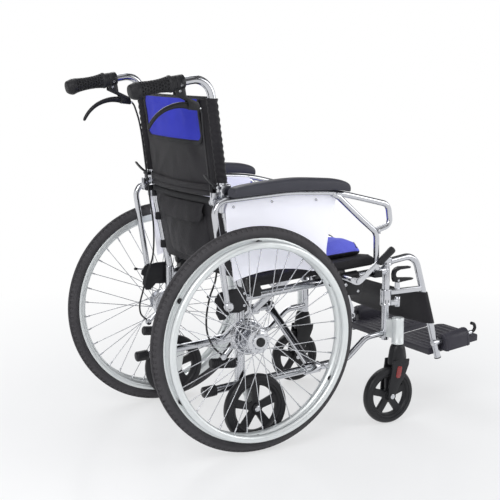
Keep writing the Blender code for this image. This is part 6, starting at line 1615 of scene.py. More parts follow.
def grip_mesh(s):
    steps = [(0.0000, 0.0122), (0.0008, 0.0146), (0.0026, 0.0162), (0.0070, 0.0182), (0.0130, 0.0200),
             (0.0165, 0.0206), (0.0200, 0.0201), (0.0300, 0.0182), (0.0420, 0.0168), (0.0540, 0.0160),
             (0.0680, 0.0157), (0.0810, 0.0162), (0.0930, 0.0176), (0.1010, 0.0190), (0.1035, 0.0204),
             (0.1065, 0.0208), (0.1085, 0.0202), (0.1095, 0.0178), (0.1110, 0.0174), (0.1150, 0.0178),
             (0.1168, 0.0178), (0.1180, 0.0170)]
    end = handle_point(-0.004, s)
    side = Vector((0, 1, 0))
    up = HANDLE_WAY.cross(side).normalized()
    if up.z < 0:
        up = -up
    rings = []
    count, around = 150, 84
    for k in range(count + 1):
        d = steps[-1][0] * k / count
        for (d0, r0), (d1, r1) in zip(steps, steps[1:]):
            if d0 <= d <= d1 + 1e-9:
                t = (d - d0) / (d1 - d0)
                radius = r0 + (r1 - r0) * t
                break
        droop = 0.0020 * math.exp(-((d - 0.012) / 0.012) ** 2)
        middle = end - HANDLE_WAY * d - up * droop
        row = []
        for a in angles(around):
            r = radius
            if 0.024 < d < 0.099:
                line = (d - 0.024) / 0.0075
                ring_index = math.floor(line)
                along = (line - ring_index - 0.5) * 2
                spot = a / (2 * math.pi) * 12 + (0.5 if ring_index % 2 else 0)
                aside = (spot - math.floor(spot) - 0.5) * 2
                inside = along * along + aside * aside
                if inside < 0.55:
                    r -= 0.0034 * min(1.0, 2.2 * (1 - inside / 0.55))
                r += 0.0003
            row.append(middle + r * (math.cos(a) * side + 1.02 * math.sin(a) * up))
        rings.append(row)
    return loft(rings)


for label, s in SIDES:
    y = s * FRAME_Y
    bar = tube(flat_path([(post_x(0.652), 0.652), CORNER, HANDLE_END], y), POST_R, [0.045], sides=32)
    collar = lathe([(0.0108, 0.6900), (0.0118, 0.6895), (0.0124, 0.6870), (0.0124, 0.6740)],
                   (post_x(0.682), y, 0), 32, axis="Z", ring=False)
    part(label, "push_handle_tube", join(bar, collar), polished, "back", "back_post", sharp=50)
    grip = part(label, "push_grip_rubber", grip_mesh(s), grip_rubber, "back", "push_grip", sharp=50)
print("grip faces", len(grip.data.polygons))

# %% [markdown]
# The attendant's brake hangs from a clamp just ahead of the grip: a collar with a split, an arm down to the
# pivot between two cheeks, two bright screws and a dark pivot, and a stop for the cable's end. The lever is
# a long curved casting that is thick at the pivot and thin at its turned-down tip, so it is skinned from
# ovals along a curve.

# %% Attendant's brakes
LEVER_PIVOT = (-0.141, CORNER_Z - 0.0685)


def clamp_mesh(s):
    y = s * FRAME_Y
    middle = handle_point(0.1263, s)
    half = HANDLE_WAY * 0.0120
    steps = [(1.0, 0.0160), (0.96, 0.0172), (0.86, 0.0180), (0.10, 0.0180), (0.06, 0.0172), (-0.06, 0.0172),
             (-0.10, 0.0180), (-0.86, 0.0180), (-0.96, 0.0172), (-1.0, 0.0160)]
    collar = stepped(middle, half, steps, 40)
    px, pz = LEVER_PIVOT
    front = px + 0.020
    outline = ([(middle.x - 0.0120, middle.z - 0.012), (middle.x - 0.0112, middle.z - 0.030),
                (px - 0.0125, pz + 0.012)]
               + arc((px, pz), 0.0108, 160, 285, 12)
               + [(front - 0.004, pz - 0.0128), (front, pz - 0.0110), (front, pz - 0.0010),
                  (front - 0.003, pz + 0.0070), (middle.x + 0.0165, middle.z - 0.034),
                  (middle.x + 0.0130, middle.z - 0.012)])
    made = [collar]
    for a, b in ((-0.0095, -0.0065), (0.0065, 0.0095)):
        made.append(bevelled(extrude(outline, y + a, y + b), 0.0008, 2))
    root = [(middle.x - 0.0110, middle.z - 0.0060), (middle.x - 0.0095, middle.z - 0.0245),
            (middle.x + 0.0115, middle.z - 0.0245), (middle.x + 0.0120, middle.z - 0.0060)]
    made.append(bevelled(extrude(root, y - 0.0086, y + 0.0086), 0.0012, 2))
    stop = sweep([(front - 0.0080, y, pz - 0.0060), (front - 0.0010, y, pz - 0.0062),
                  (front + 0.0004, y, pz - 0.0062)],
                 [0.0056, 0.0056, 0.0046], 20)
    return join(*made, stop), middle


def lever_mesh(s):
    px, pz = LEVER_PIVOT
    shape = [(0.0085, -0.002, 0.0036, 0.0040), (0.0060, -0.001, 0.0074, 0.0052),
             (0.000, -0.001, 0.0090, 0.0058), (-0.010, 0.0005, 0.0086, 0.0060),
             (-0.024, 0.0020, 0.0078, 0.0062), (-0.040, 0.0012, 0.0070, 0.0062),
             (-0.056, -0.0026, 0.0063, 0.0061), (-0.072, -0.0088, 0.0057, 0.0059),
             (-0.086, -0.0178, 0.0052, 0.0056), (-0.098, -0.0288, 0.0048, 0.0052),
             (-0.107, -0.0408, 0.0045, 0.0047), (-0.111, -0.0480, 0.0043, 0.0043),
             (-0.1128, -0.0520, 0.0034, 0.0036), (-0.1134, -0.0538, 0.0020, 0.0022)]
    line = [Vector((px + dx, s * FRAME_Y, pz + dz)) for dx, dz, _, _ in shape]
    rings = []
    for i, (_, _, thick, wide) in enumerate(shape):
        run = heading(line, i)
        up = Vector((-run.z, 0, run.x))
        rings.append([line[i] + up * thick * math.sin(t) + Vector((0, wide * squared(math.cos(t), 0.75), 0))
                      for t in angles(20)])
    return subdivided(loft(rings), 1)


for label, s in SIDES:
    y = s * FRAME_Y
    px, pz = LEVER_PIVOT
    mesh, middle = clamp_mesh(s)
    part(label, "lever_clamp", mesh, moulded, "back", "brake_clamp", sharp=35)
    screws = []
    for face in (-1, 1):
        screws.append(screw_head(middle.x - 0.0005, y + face * 0.0093, middle.z - 0.0205, 0.0034, face,
                                 0.0014))
        screws.append(screw_head(middle.x + 0.001, y + face * 0.0150, middle.z - 0.0060, 0.0036, face,
                                 0.0022))
    screws.append(sweep([(px + 0.0202, y, pz - 0.0062), (px + 0.0224, y - s * 0.0004, pz - 0.0066),
                         (px + 0.0262, y - s * 0.0012, pz - 0.0078)], [0.0038, 0.0038, 0.0034], 18))
    part(label, "lever_clamp_screws", join(*screws), plated, "back", "brake_clamp", sharp=35)
    dome = lathe([(0.0052, -0.0108), (0.0060, -0.0100), (0.0060, 0.0100), (0.0052, 0.0108)], (px, y, pz),
                 24, ring=False)
    part(label, "lever_pivot", dome, grip_rubber, "back", "brake_clamp", sharp=35, slot="black_plastic")
    part(label, "squeeze_lever", lever_mesh(s), moulded, "attendant_lever", "brake_lever", sharp=60)

# %% [markdown]
# Behind each hinge a small curved lever frees the folding back. It is a thin leaf that widens to a thumb
# pad, on a turned barrel.

# %% Back release levers
for label, s in SIDES:
    y = s * FRAME_Y
    x, z = RELEASE_X, RELEASE_Z
    line = smooth_path([(x + 0.001, y, z + 0.001), (x - 0.014, y, z + 0.012), (x - 0.027, y, z + 0.0255),
                        (x - 0.0318, y, z + 0.0325)], 7)
    rings = []
    for i, p in enumerate(line):
        u = i / (len(line) - 1)
        run = heading(line, i)
        up = Vector((-run.z, 0, run.x))
        thick = 0.0032 - 0.0014 * u - 0.0008 * max(0.0, (u - 0.93) / 0.07)
        wide = 0.0068 + 0.0012 * math.sin(math.pi * u) - 0.0022 * max(0.0, (u - 0.9) / 0.1)
        rings.append([p + up * thick * math.sin(t) + Vector((0, wide * squared(math.cos(t), 0.6), 0))
                      for t in angles(16)])
    barrel = lathe([(0.0031, y - 0.0080), (0.0056, y - 0.0080), (0.0060, y - 0.0074), (0.0060, y + 0.0074),
                    (0.0056, y + 0.0080), (0.0031, y + 0.0080)], (x, 0, z), 28)
    part(label, "release_leaf", join(loft(rings), barrel), moulded, "release", "back_release", sharp=45)

# %% [markdown]
# The back is sewn nylon. Above the hinge it is one padded sling: a panel between the posts that bellies
# back, and a black sleeve round each post. The panel is a closed outline at each height, across the rear
# and back across the front, and each sleeve is an open loop of cloth. Folds are added as smooth moves of
# the points, so they are real shape and not only shading. The sleeves ride on their own posts, so they stay
# round when the chair folds.

# %% Upper back panel
BACK_LOW, BACK_HIGH = HINGE_Z + 0.007, CORNER_Z - 0.0525
SLEEVE_LOW = HINGE_Z + 0.039
HALF = 0.1927


def crease(y, z):
    """Small folds: tension lines that fan from the posts, and a soft random unevenness."""
    fan = 0.0030 * math.sin(70 * z + 46 * abs(y)) * min(1.0, abs(y) / 0.13)
    pull = fan * (0.4 + 0.6 * math.sin(z * 31) ** 2)
    broad = 0.0085 * noise.noise(Vector((y * 11.0, z * 7.0, 3.1)))
    return pull + broad + 0.0030 * noise.noise(Vector((y * 30.0, z * 17.0, 8.4)))


def back_middle(y, z):
    return post_x(z) - sag_of(y)


def back_face(y, z, face, lift=0.0):
    """A point on the back's rear (-1) or front (1) face, lifted off the cloth."""
    u = (z - BACK_LOW) / (BACK_HIGH - BACK_LOW)
    edge = min(1.0, max(0.0, min(u, 1 - u)) * 14) ** 0.5
    thick = 0.0035 + 0.0058 * edge * min(1.0, (HALF - abs(y)) / 0.03 + 0.25)
    quilt = 0.0014 * edge * abs(math.sin(math.pi * (abs(y) - 0.02) / 0.072)) if abs(y) < 0.165 else 0.0
    shift = crease(y, z) * edge if face < 0 else 0.4 * crease(y + 0.3, z) * edge
    return Vector((back_middle(y, z) + face * (thick + quilt * (face > 0) + lift) - abs(shift) * face * 0.5,
                   y, z))


def upper_rows():
    rows = 46
    rings = []
    for k in range(rows + 1):
        z = BACK_LOW + (BACK_HIGH - BACK_LOW) * k / rows
        ring = []
        reach = 0.1880 + 0.0042 * min(1.0, max(0.0, (z - SLEEVE_LOW) / 0.004))
        for turn in (1, -1):
            ring += [back_face(y, z, -turn) for y in across(turn * reach, 46)]
        rings.append(ring)
    return rings


def sleeve_mesh(s):
    """Cloth wrapped round a post, open towards the panel, with slanting pleats on its outer side."""
    rings = []
    count = 60
    for k in range(count + 1):
        z = SLEEVE_LOW + (BACK_HIGH - SLEEVE_LOW) * k / count
        hem = 0.0006 if k < 2 or k > count - 2 else 0.0
        outer, inner = [], []
        for j in range(31):
            angle = math.radians(-162 + 324 * j / 30)
            fade = max(0.0, math.cos(angle / 2)) ** 0.5
            r = 0.0139 + hem + 0.0011 * math.sin(z * 390 + angle * 2.4) * fade
            outer.append(Vector((post_x(z) + r * math.sin(angle), s * (FRAME_Y + r * math.cos(angle)), z)))
            inner.append(Vector((post_x(z) + 0.0109 * math.sin(angle),
                                 s * (FRAME_Y + 0.0109 * math.cos(angle)), z)))
        rings.append(outer + inner[::-1])
    return loft(rings)


upper = loft(upper_rows())
upper_panel = piece("upper_back_nylon", upper, back_black, "back_right", "upper_upholstery", sharp=75)
for label, s in SIDES:
    piece(f"upper_back_sleeve_{label}", sleeve_mesh(s), back_black, f"back_{label}", "upper_upholstery",
          sharp=70)
print("upper back faces", len(upper_panel.data.polygons))

# %% [markdown]
# A bright mesh panel is sewn to the top of the back, front and rear, with a black bound edge. It lies on
# the nylon, so its points are taken from the same surface and lifted a little. The binding is a flat tape:
# an outline that runs round the panel, skinned as a soft strip, and the seam tree puts a stitch every few
# millimetres along it.

# %% Blue mesh panels with their binding
def mesh_patch(y_edge, z_low, z_high, face, lift, columns=44, rows=30, corner=0.022):
    """A thin cloth patch with rounded lower corners, closed all round."""
    bm = bmesh.new()
    sheets = []
    for depth in (lift, lift - 0.0022):
        grid = []
        for r in range(rows + 1):
            z = z_low + (z_high - z_low) * r / rows
            drop = max(0.0, 1 - (z - z_low) / corner)
            reach = y_edge - corner * (1 - math.sqrt(max(0.0, 1 - drop * drop)))
            line = []
            for c in range(columns + 1):
                y = reach * (2 * c / columns - 1)
                puff = 0.0016 * (1 - (2 * c / columns - 1) ** 8) * min(1.0, r / 3) if depth == lift else 0
                line.append(bm.verts.new(back_face(y, z, face, depth + puff)))
            grid.append(line)
        sheets.append(grid)
    top, low = sheets
    for grid in sheets:
        for a, b in zip(grid, grid[1:]):
            strip(bm, a, b)
    strip(bm, top[0], low[0])
    strip(bm, top[-1], low[-1])
    for side in (0, -1):
        for r in range(rows):
            bm.faces.new((top[r][side], top[r + 1][side], low[r + 1][side], low[r][side]))
    return closed(bm)


def tape(line, half, thick, out):
    """A flat tape along a line, with its width across out and along the cloth."""
    rings = []
    for i, p in enumerate(line):
        run = heading(line, i)
        wide = run.cross(out).normalized()
        rings.append([p + wide * half * a + out * thick * b for a, b in
                      ((-1, -0.6), (-1.0, 0.5), (-0.7, 1), (0, 1.15), (0.7, 1), (1.0, 0.5), (1, -0.6))])
    return loft(rings)


def panel_edge(y_edge, z_low, z_high, face, lift, corner=0.022):
    """The line down one side of a panel, round its lower corners and up the other side."""
    flat = [(y_edge, z_high - (z_high - z_low - corner) * k / 18) for k in range(18)]
    flat += [(y_edge - corner + corner * math.cos(t), z_low + corner - corner * math.sin(t))
             for t in [math.pi / 2 * k / 8 for k in range(9)]]
    flat += [(y_edge - corner - (2 * y_edge - 2 * corner) * k / 30, z_low) for k in range(1, 30)]
    mirror = [(-y, z) for y, z in reversed(flat[:27])]
    return [back_face(y, z, face, lift) for y, z in flat + mirror]


REAR_PANEL = (0.158, 0.7740, BACK_HIGH - 0.0035)
FRONT_PANEL = (0.166, BACK_LOW + 0.010, BACK_HIGH - 0.0035)
piece("upper_back_blue_rear", mesh_patch(*REAR_PANEL, -1, 0.0014), back_blue, "back_right",
      "upper_upholstery", sharp=60)
piece("upper_back_blue_front", mesh_patch(*FRONT_PANEL, 1, 0.0014), back_blue, "back_right",
      "upper_upholstery", sharp=60)
edging = panel_edge(*REAR_PANEL, -1, 0.0030)
rim_tape = tape(edging, 0.0056, 0.0010, Vector((-1, 0, 0)))
front_tape = tape(panel_edge(*FRONT_PANEL, 1, 0.0030), 0.0050, 0.0010, Vector((1, 0, 0)))
top_line = [back_face(y, BACK_HIGH - 0.0005, 1, -0.0035) for y in across(0.186, 40)]
top_roll = sweep(top_line, 0.0048, 14)
piece("upper_back_binding", join(rim_tape, front_tape, top_roll), binding, "back_right", "upper_upholstery",
      sharp=50)

# %% [markdown]
# At the bottom of the upper back three padded straps lie across it like pleats, and hide the gap at the
# hinge. They are soft strips whose section is a flattened oval, lifted at their middle, with a stitched
# line along each edge.

# %% Waist straps and stitches
def strap_line(z, lift, reach=0.178, droop=0.0):
    return [Vector((post_x(z) - sag_of(y) - lift - 0.0065, y, z - droop * (1 - (y / reach) ** 2)))
            for y in across(reach, 44)]


def strap(line, half, thick):
    rings = []
    for i, p in enumerate(line):
        run = heading(line, i)
        out = run.cross(Vector((0, 0, 1))).normalized()
        end = min(1.0, min(i, len(line) - 1 - i) / 3 + 0.35)
        wave = 1 + 0.12 * noise.noise(Vector((p.y * 14, p.z * 40, 7.7)))
        rings.append([p + Vector((0, 0, 1)) * half * math.cos(t) * (0.9 + 0.1 * end)
                      + out * thick * end * wave * squared(math.sin(t), 0.8) for t in angles(16)])
    return loft(rings)


straps = [strap(strap_line(0.6640, 0.0040, droop=0.003), 0.0085, 0.0042),
          strap(strap_line(0.6495, 0.0052, droop=0.003), 0.0075, 0.0045)]
piece("waist_straps", join(*straps), back_black, "back_right", "upper_upholstery", sharp=60)
rows = [seam([p + Vector((-0.0012, 0, 0)) for p in edging], 0.0052)]
for y in (-0.176, 0.176):
    rows.append(seam([back_face(y, BACK_LOW + 0.036 + (BACK_HIGH - BACK_LOW - 0.046) * k / 30, -1, 0.0003)
                      for k in range(31)]))
for z in (0.6715, 0.6565):
    rows.append(seam([p + Vector((-0.0040, 0, 0)) for p in strap_line(z, 0.0040, 0.176, 0.003)]))
stitches = piece("upper_back_stitches", join(*rows), thread_grey, "back_right", "upper_upholstery",
                 sharp=80)
print("stitch faces", len(stitches.data.polygons))

# %% [markdown]
# Below the hinge the back is a second nylon sling between the lower posts, held to each post by a short
# wrapped tab. A flapped pocket is sewn on its rear: a bag with gathered sides that swells a little, and a
# flap over its mouth with a bound edge. The place where such chairs carry a mark is left plain.

# %% Lower back panel
LOW_BOTTOM, LOW_TOP = 0.446, HINGE_Z - 0.003


def low_middle(y, z):
    return lower_post_x(z) - sag_of(y)


def low_face(y, z, lift, face=-1):
    u = (z - LOW_BOTTOM) / (LOW_TOP - LOW_BOTTOM)
    edge = min(1.0, max(0.0, min(u, 1 - u)) * 9 + 0.15) ** 0.5
    side = min(1.0, (HALF - abs(y)) / 0.02 + 0.2)
    ripple = 0.0034 * noise.noise(Vector((y * 12, z * 8,
                                          1.3))) + 0.0016 * noise.noise(Vector((y * 31, z * 19, 6.2)))
    return Vector((low_middle(y, z) + face * ((0.0030 + 0.0050 * edge * side) + lift + ripple), y, z))


rings = []
for k in range(31):
    z = LOW_BOTTOM + (LOW_TOP - LOW_BOTTOM) * k / 30
    span = across(HALF, 44)
    rings.append([low_face(y, z, 0) for y in span] + [low_face(y, z, 0, 1) for y in reversed(span)])
piece("lower_back_nylon", loft(rings), back_black, "frame_right", "lower_upholstery", sharp=70)

pocket_rings = []
for z, reach, out in ((0.4640, 0.100, 0.0008), (0.4655, 0.108, 0.0050), (0.4700, 0.114, 0.0095),
                      (0.4800, 0.117, 0.0125), (0.5000, 0.118, 0.0140), (0.5250, 0.118, 0.0142),
                      (0.5500, 0.118, 0.0130), (0.5700, 0.119, 0.0115), (0.5860, 0.119, 0.0080),
                      (0.5900, 0.118, 0.0040)):
    outer, inner = [], []
    for v in across(-1, 32):
        y = reach * v
        swell = (1 - abs(v) ** 5) * (0.75 + 0.25 * math.cos(v * 2.2))
        fold = 0.0018 * math.sin(v * 11 + z * 60) * max(0.0, 1 - abs(v)) ** 0.5
        outer.append(low_face(y, z, out * swell + 0.0012 + fold * min(1.0, out / 0.01)))
        inner.append(low_face(y, z, -0.0005))
    pocket_rings.append(outer + inner[::-1])
piece("back_pocket_bag", subdivided(loft(pocket_rings)), back_black, "frame_right", "lower_upholstery",
      sharp=70)


def flap_line(v):
    """How far down the flap hangs at v from -1 to 1: longer in the middle, round at the corners."""
    return 0.566 + 0.006 * v * v + 0.020 * max(0.0, (abs(v) - 0.82) / 0.18) ** 2


flap_rings = []
for k in range(15):
    u = k / 14
    outer, inner = [], []
    for v in across(-1, 36):
        z = 0.6170 + (flap_line(v) - 0.6170) * u
        y = 0.124 * v * (1 - 0.02 * u)
        swell = 0.0025 + 0.0160 * math.sin(min(1.0, u * 1.15) * math.pi / 2) * (1 - 0.35 * abs(v) ** 3)
        wave = 0.0016 * math.sin(v * 9 + 1.0) * u
        outer.append(low_face(y, z, swell + wave + 0.0012))
        inner.append(low_face(y, z, swell + wave - 0.0008))
    flap_rings.append(outer + inner[::-1])
piece("back_pocket_flap", loft(flap_rings), back_black, "frame_right", "lower_upholstery", sharp=60)

# %% [markdown]
# Tapes, tabs and stitches finish the lower back. The tape follows the flap's free edge, a third waist strap
# closes the top, and each side has two tabs that wrap the post, which is how the cloth is really held.

# %% Lower back trimmings
edge_line = [low_face(0.1215 * v, flap_line(v) + 0.002,
                      0.0185 * (1 - 0.35 * abs(v) ** 3) + 0.0016 * math.sin(v * 9 + 1.0))
             for v in across(-1, 40)]
trims = [tape(edge_line, 0.0042, 0.0009, Vector((-1, 0, 0)))]
tabs = {}
low_strap = [Vector((lower_post_x(0.6300) - sag_of(y) - 0.0095, y, 0.6305 - 0.002 * (1 - (y / 0.186) ** 2)))
             for y in across(0.1895, 44)]
trims.append(strap(low_strap, 0.0078, 0.0042))
for label, s in SIDES:
    tabs[label] = []
    for z in (0.468, 0.548):
        loop = lathe([(0.0107, -0.011), (0.0126, -0.0112), (0.0131, -0.0100), (0.0131, 0.0100),
                      (0.0126, 0.0112), (0.0107, 0.011)], (lower_post_x(z), s * FRAME_Y, z), 28, axis="Z")
        x = lower_post_x(z)
        link = bevelled(side_block(s, (x - 0.0030, x + 0.0030), (0.186, 0.197), (z - 0.0105, z + 0.0105)),
                        0.0010)
        tabs[label] += [loop, link]
trims.append(sweep([low_face(y, LOW_BOTTOM + 0.001, -0.0035) for y in across(0.188, 40)], 0.0036, 12))
for label, s in SIDES:
    piece(f"lower_back_tabs_{label}", join(*tabs[label]), binding, f"frame_{label}", "lower_upholstery",
          sharp=50)
piece("lower_back_trims", join(*trims), binding, "frame_right", "lower_upholstery", sharp=50)
rows = [seam([p + Vector((-0.0012, 0, 0)) for p in edge_line]),
        seam([low_face(y, 0.6125, 0.0052) for y in across(-0.122, 40)])]
for y in (-0.178, 0.178):
    rows.append(seam([low_face(y, 0.455 + 0.160 * k / 24, 0.0003) for k in range(25)]))
piece("lower_back_stitches", join(*rows), thread_grey, "frame_right", "lower_upholstery", sharp=80)

# %% [markdown]
# When the chair folds, its two sides come together and the cloth between them crumples. These pieces ride
# on one side, and each is given a mesh of its own; nothing here squashes them across the chair. Sleeves and
# tabs ride on the posts they wrap.

# %% Back cloth: meshes of their own
for name in ("upper_back_nylon", "upper_back_blue_rear", "upper_back_blue_front", "upper_back_binding",
             "waist_straps",
             "upper_back_stitches", "lower_back_nylon", "back_pocket_bag", "back_pocket_flap",
             "lower_back_trims",
             "lower_back_stitches"):
    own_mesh(bpy.data.objects[name])

# %% [markdown]
# The seat is a nylon sling between the two seat rails. It wraps each rail and sags between them. When the
# chair folds the rails come together, and each rail is on its own brace; the sling here rides on neither.

# %% Seat sling
def sling_top(x, y):
    rail_top = SEAT_RAIL_Z + RAIL_TAN * x + 0.0105 / RAIL_COS
    return rail_top + 0.0053 - 0.014 * (1 - (y / FRAME_Y) ** 2)


def sling_mesh():
    rings = []
    for k in range(61):
        x = 0.020 + 0.372 * k / 60
        hem = 0.0009 if k < 3 or k > 57 else 0.0
        ripple = 0.0007 * noise.noise(Vector((x * 18, 0, 5.0)))
        top = [Vector((x, y, sling_top(x, y) + hem + ripple)) for y in across(-FRAME_Y, 40)]
        low = [p - Vector((0, 0, 0.0046 + 2 * hem)) for p in top]
        centre_z = SEAT_RAIL_Z + RAIL_TAN * x
        wrap = [Vector((x, y, z)) for y, z in arc((FRAME_Y, centre_z), 0.0128, 60, -90, 8)
                + arc((FRAME_Y, centre_z), 0.0110, -90, 60, 8)]
        rings.append(top[1:-1] + wrap + low[1:-1][::-1] + [Vector((p.x, -p.y, p.z))
                                                           for p in reversed(wrap)])
    return loft(rings)


sling = piece("seat_sling_nylon", sling_mesh(), seat_black, stands_for="seat_sling", sharp=60)
rows = []
for x in (0.0275, 0.3845):
    rows.append(seam([(x, y, sling_top(x, y) + 0.0012) for y in across(-0.190, 40)]))
sling_seams = piece("seat_sling_stitches", join(*rows), thread_grey, stands_for="seat_sling", sharp=80)

# %% [markdown]
# The cushion is a foam slab in a cover: blue mesh on top and down its sides, black cloth below, with a
# piped edge where they meet. It is started as a slab a little too thin, blown up by a short cloth
# simulation so that its faces crown and its corners stay pinched, and kept from spreading by a cap on how
# far a point may move. The sewn channels and the piping come after that, on the finished surface.

# %% Seat cushion: the blank
CUSHION_X = (0.020, 0.384)
CUSHION_HALF = 0.188


def cushion_blank():
    rings = []
    rows, columns = 26, 28
    for r in range(rows + 1):
        u = r / rows
        x = CUSHION_X[0] + (CUSHION_X[1] - CUSHION_X[0]) * u
        ends = 1 - abs(2 * u - 1) ** 8
        pull = 0.005 * (1 - (2 * u - 1) ** 2)
        width = CUSHION_HALF - 0.004 - pull + 0.004 * ends
        top, low = [], []
        for v in across(-1, columns):
            y = width * v
            sides = 1 - abs(v) ** 8
            floor_z = sling_top(x, y) + 0.0012
            full = min(ends, sides) ** 0.4
            top.append(Vector((x, y, floor_z + 0.018 + 0.024 * full - 0.008 * max(0.0, u - 0.75))))
            low.append(Vector((x, y, floor_z + 0.004 * (1 - full))))
        rings.append(top + low[::-1])
    return loft(rings)


def inflated(mesh, voxel, pressure, cap, frames=20):
    """Blows a closed mesh up with a cloth simulation, and moves no point further than cap."""
    start = baked(mesh, "REMESH", mode="VOXEL", voxel_size=voxel)
    body = placed("work", start)
    cloth_step = body.modifiers.new("cloth", "CLOTH")
    cloth_step.settings.use_pressure = True
    cloth_step.settings.uniform_pressure_force = pressure
    cloth_step.settings.mass = 0.35
    cloth_step.settings.quality = 6
    cloth_step.settings.effector_weights.gravity = 0
    scene = bpy.context.scene
    for frame_number in range(1, frames + 1):
        scene.frame_set(frame_number)
    out = result_of(body)
    for before, after in zip(start.vertices, out.vertices):
        move = after.co - before.co
        if move.length > cap:
            after.co = before.co + move * (cap / move.length)
    scene.frame_set(1)
    return out

# %% [markdown]
# After the simulation the surface is finished by hand in code: the underside is laid back on the sling, and
# two sewn channels are pressed into the top, running from front to back as they do on the chair.

# %% Seat cushion: channels, cover and piping
cushion_mesh = inflated(cushion_blank(), 0.005, 4.0, 0.010)
for vertex in cushion_mesh.vertices:
    x, y, z = vertex.co
    bed = sling_top(min(max(x, 0.018), 0.388), max(-0.2, min(0.2, y))) + 0.0009
    up = (z - bed) / 0.045
    if up > 0.45:
        for lane in (-0.112, 0.112):
            away = abs(y - lane) / 0.006
            if away < 3:
                vertex.co.z -= 0.0034 * math.exp(-away * away) * min(1.0, (up - 0.45) / 0.25)
        away = abs(x - 0.300) / 0.006
        if away < 3 and abs(y) < 0.17:
            vertex.co.z -= 0.0024 * math.exp(-away * away)
    if vertex.co.z < bed:
        vertex.co.z = bed
cushion_mesh = subdivided(cushion_mesh)


def seam_height(x, y):
    return sling_top(x, y) + 0.0120


def split_cover(mesh):
    """Blue above the piping and down the sides to it, black below."""
    mesh.transform(Matrix.Translation((AXLE_X, 0, 0)))
    mesh.shade_smooth()
    mesh.materials.clear()
    mesh.materials.append(seat_blue_painted_light)
    mesh.materials.append(seat_black)
    for face in mesh.polygons:
        c = face.center
        face.material_index = 0 if c.z > seam_height(c.x - AXLE_X, c.y) else 1
    return mesh


cover = placed("seat_cushion_cover", split_cover(cushion_mesh))
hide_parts("seat_cushion")
print("cushion faces", len(cushion_mesh.polygons))


def outline_at_seam(mesh, steps=150):
    """Where the cover's side stands at the piping's height, by casting rays in from all round."""
    bm = bmesh.new()
    bm.from_mesh(mesh)
    tree = BVHTree.FromBMesh(bm)
    bm.free()
    found = []
    middle = Vector((0.202, 0, 0))
    for t in angles(steps, 0):
        way = Vector((math.cos(t) * 0.36, math.sin(t) * 0.38, 0))
        z = seam_height(0.2, 0.0)
        for _ in range(4):
            origin = Vector((middle.x + way.x * 1.3 + AXLE_X, way.y * 1.3, z))
            inward = (Vector((middle.x + AXLE_X, 0, z)) - origin).normalized()
            hit, normal = tree.ray_cast(origin, inward)[:2]
            if hit:
                z = seam_height(hit.x - AXLE_X, hit.y)
        if hit:
            found.append(hit + normal * 0.0004)
    return found, tree


loop, cover_tree = outline_at_seam(cover.data)
smooth = [(loop[i - 1] + 2 * p + loop[(i + 1) % len(loop)]) / 4 for i, p in enumerate(loop)]
rings = []
for i, p in enumerate(smooth):
    run = (smooth[(i + 1) % len(smooth)] - smooth[i - 1]).normalized()
    side = run.cross(Vector((0, 0, 1))).normalized()
    up = side.cross(run)
    rings.append([p + 0.0022 * (math.cos(a) * side + math.sin(a) * up) for a in angles(8, 0)])
piping = piece("seat_cushion_piping", loft(rings, loop=True), binding, stands_for="seat_cushion",
               slide=False, sharp=80)

# %% [markdown]
# A short black tie holds each front corner of the cushion to the sling. It is a flat tape laid on the
# cover's own surface, found by casting rays at it from outside.

# %% Cushion ties
def tie_mesh(s):
    x = 0.3700
    rings = []
    count = 18
    for k in range(count + 1):
        lean = math.radians(-4 + 118 * k / count)
        centre = Vector((x + AXLE_X, s * 0.165, sling_top(x, 0.165) + 0.022))
        out = Vector((0, s * math.cos(lean), math.sin(lean)))
        edge = []
        for shift in (-0.0050, 0.0050):
            origin = centre + out * 0.12 + Vector((shift, 0, 0))
            hit, normal = cover_tree.ray_cast(origin, -out)[:2]
            edge.append((hit, normal) if hit else (centre + out * 0.02 + Vector((shift, 0, 0)), out))
        (a, na), (b, nb) = edge
        rings.append([a - na * 0.0006, a + na * 0.0012, (a + b) / 2 + na * 0.0017, b + nb * 0.0012,
                      b - nb * 0.0006])
    return loft(rings)


ties = piece("seat_cushion_ties", join(tie_mesh(1), tie_mesh(-1)), binding, stands_for="seat_cushion",
             slide=False, sharp=60)

# %% [markdown]
# The seat's pieces cross from one brace to the other. Each has its place baked into its mesh, and none is
# blended between the braces. A bought-in cushion is lifted off before the chair is folded.

# %% Seat pieces: places baked in
for thing in (sling, sling_seams, cover, piping, ties):
    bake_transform(thing)

# %% [markdown]
# The footrest hanger swings on two collars round the front upright. Its tube goes forward, bends down in
# front of the sitter's shin and ends below the footplate. A square link braces it, a pin post carries the
# latch, and a steel rod with a hooked end is the footplate's hinge.

# %% Footrest hangers
PLATE_PIVOT = Vector((0.612, 0.2115, 0.194))
PLATE_TILT = 7
PLATE_WAY = Vector((math.cos(math.radians(PLATE_TILT)), 0, math.sin(math.radians(PLATE_TILT))))
KNEE_X, KNEE_Z = 0.540, 0.450
HANGER_END_X, HANGER_END_Z = 0.629, 0.148
LATCH_X, LATCH_Z = 0.4830, 0.3835


def hanger_x(z):
    return KNEE_X + (KNEE_Z - z) / (KNEE_Z - HANGER_END_Z) * (HANGER_END_X - KNEE_X)


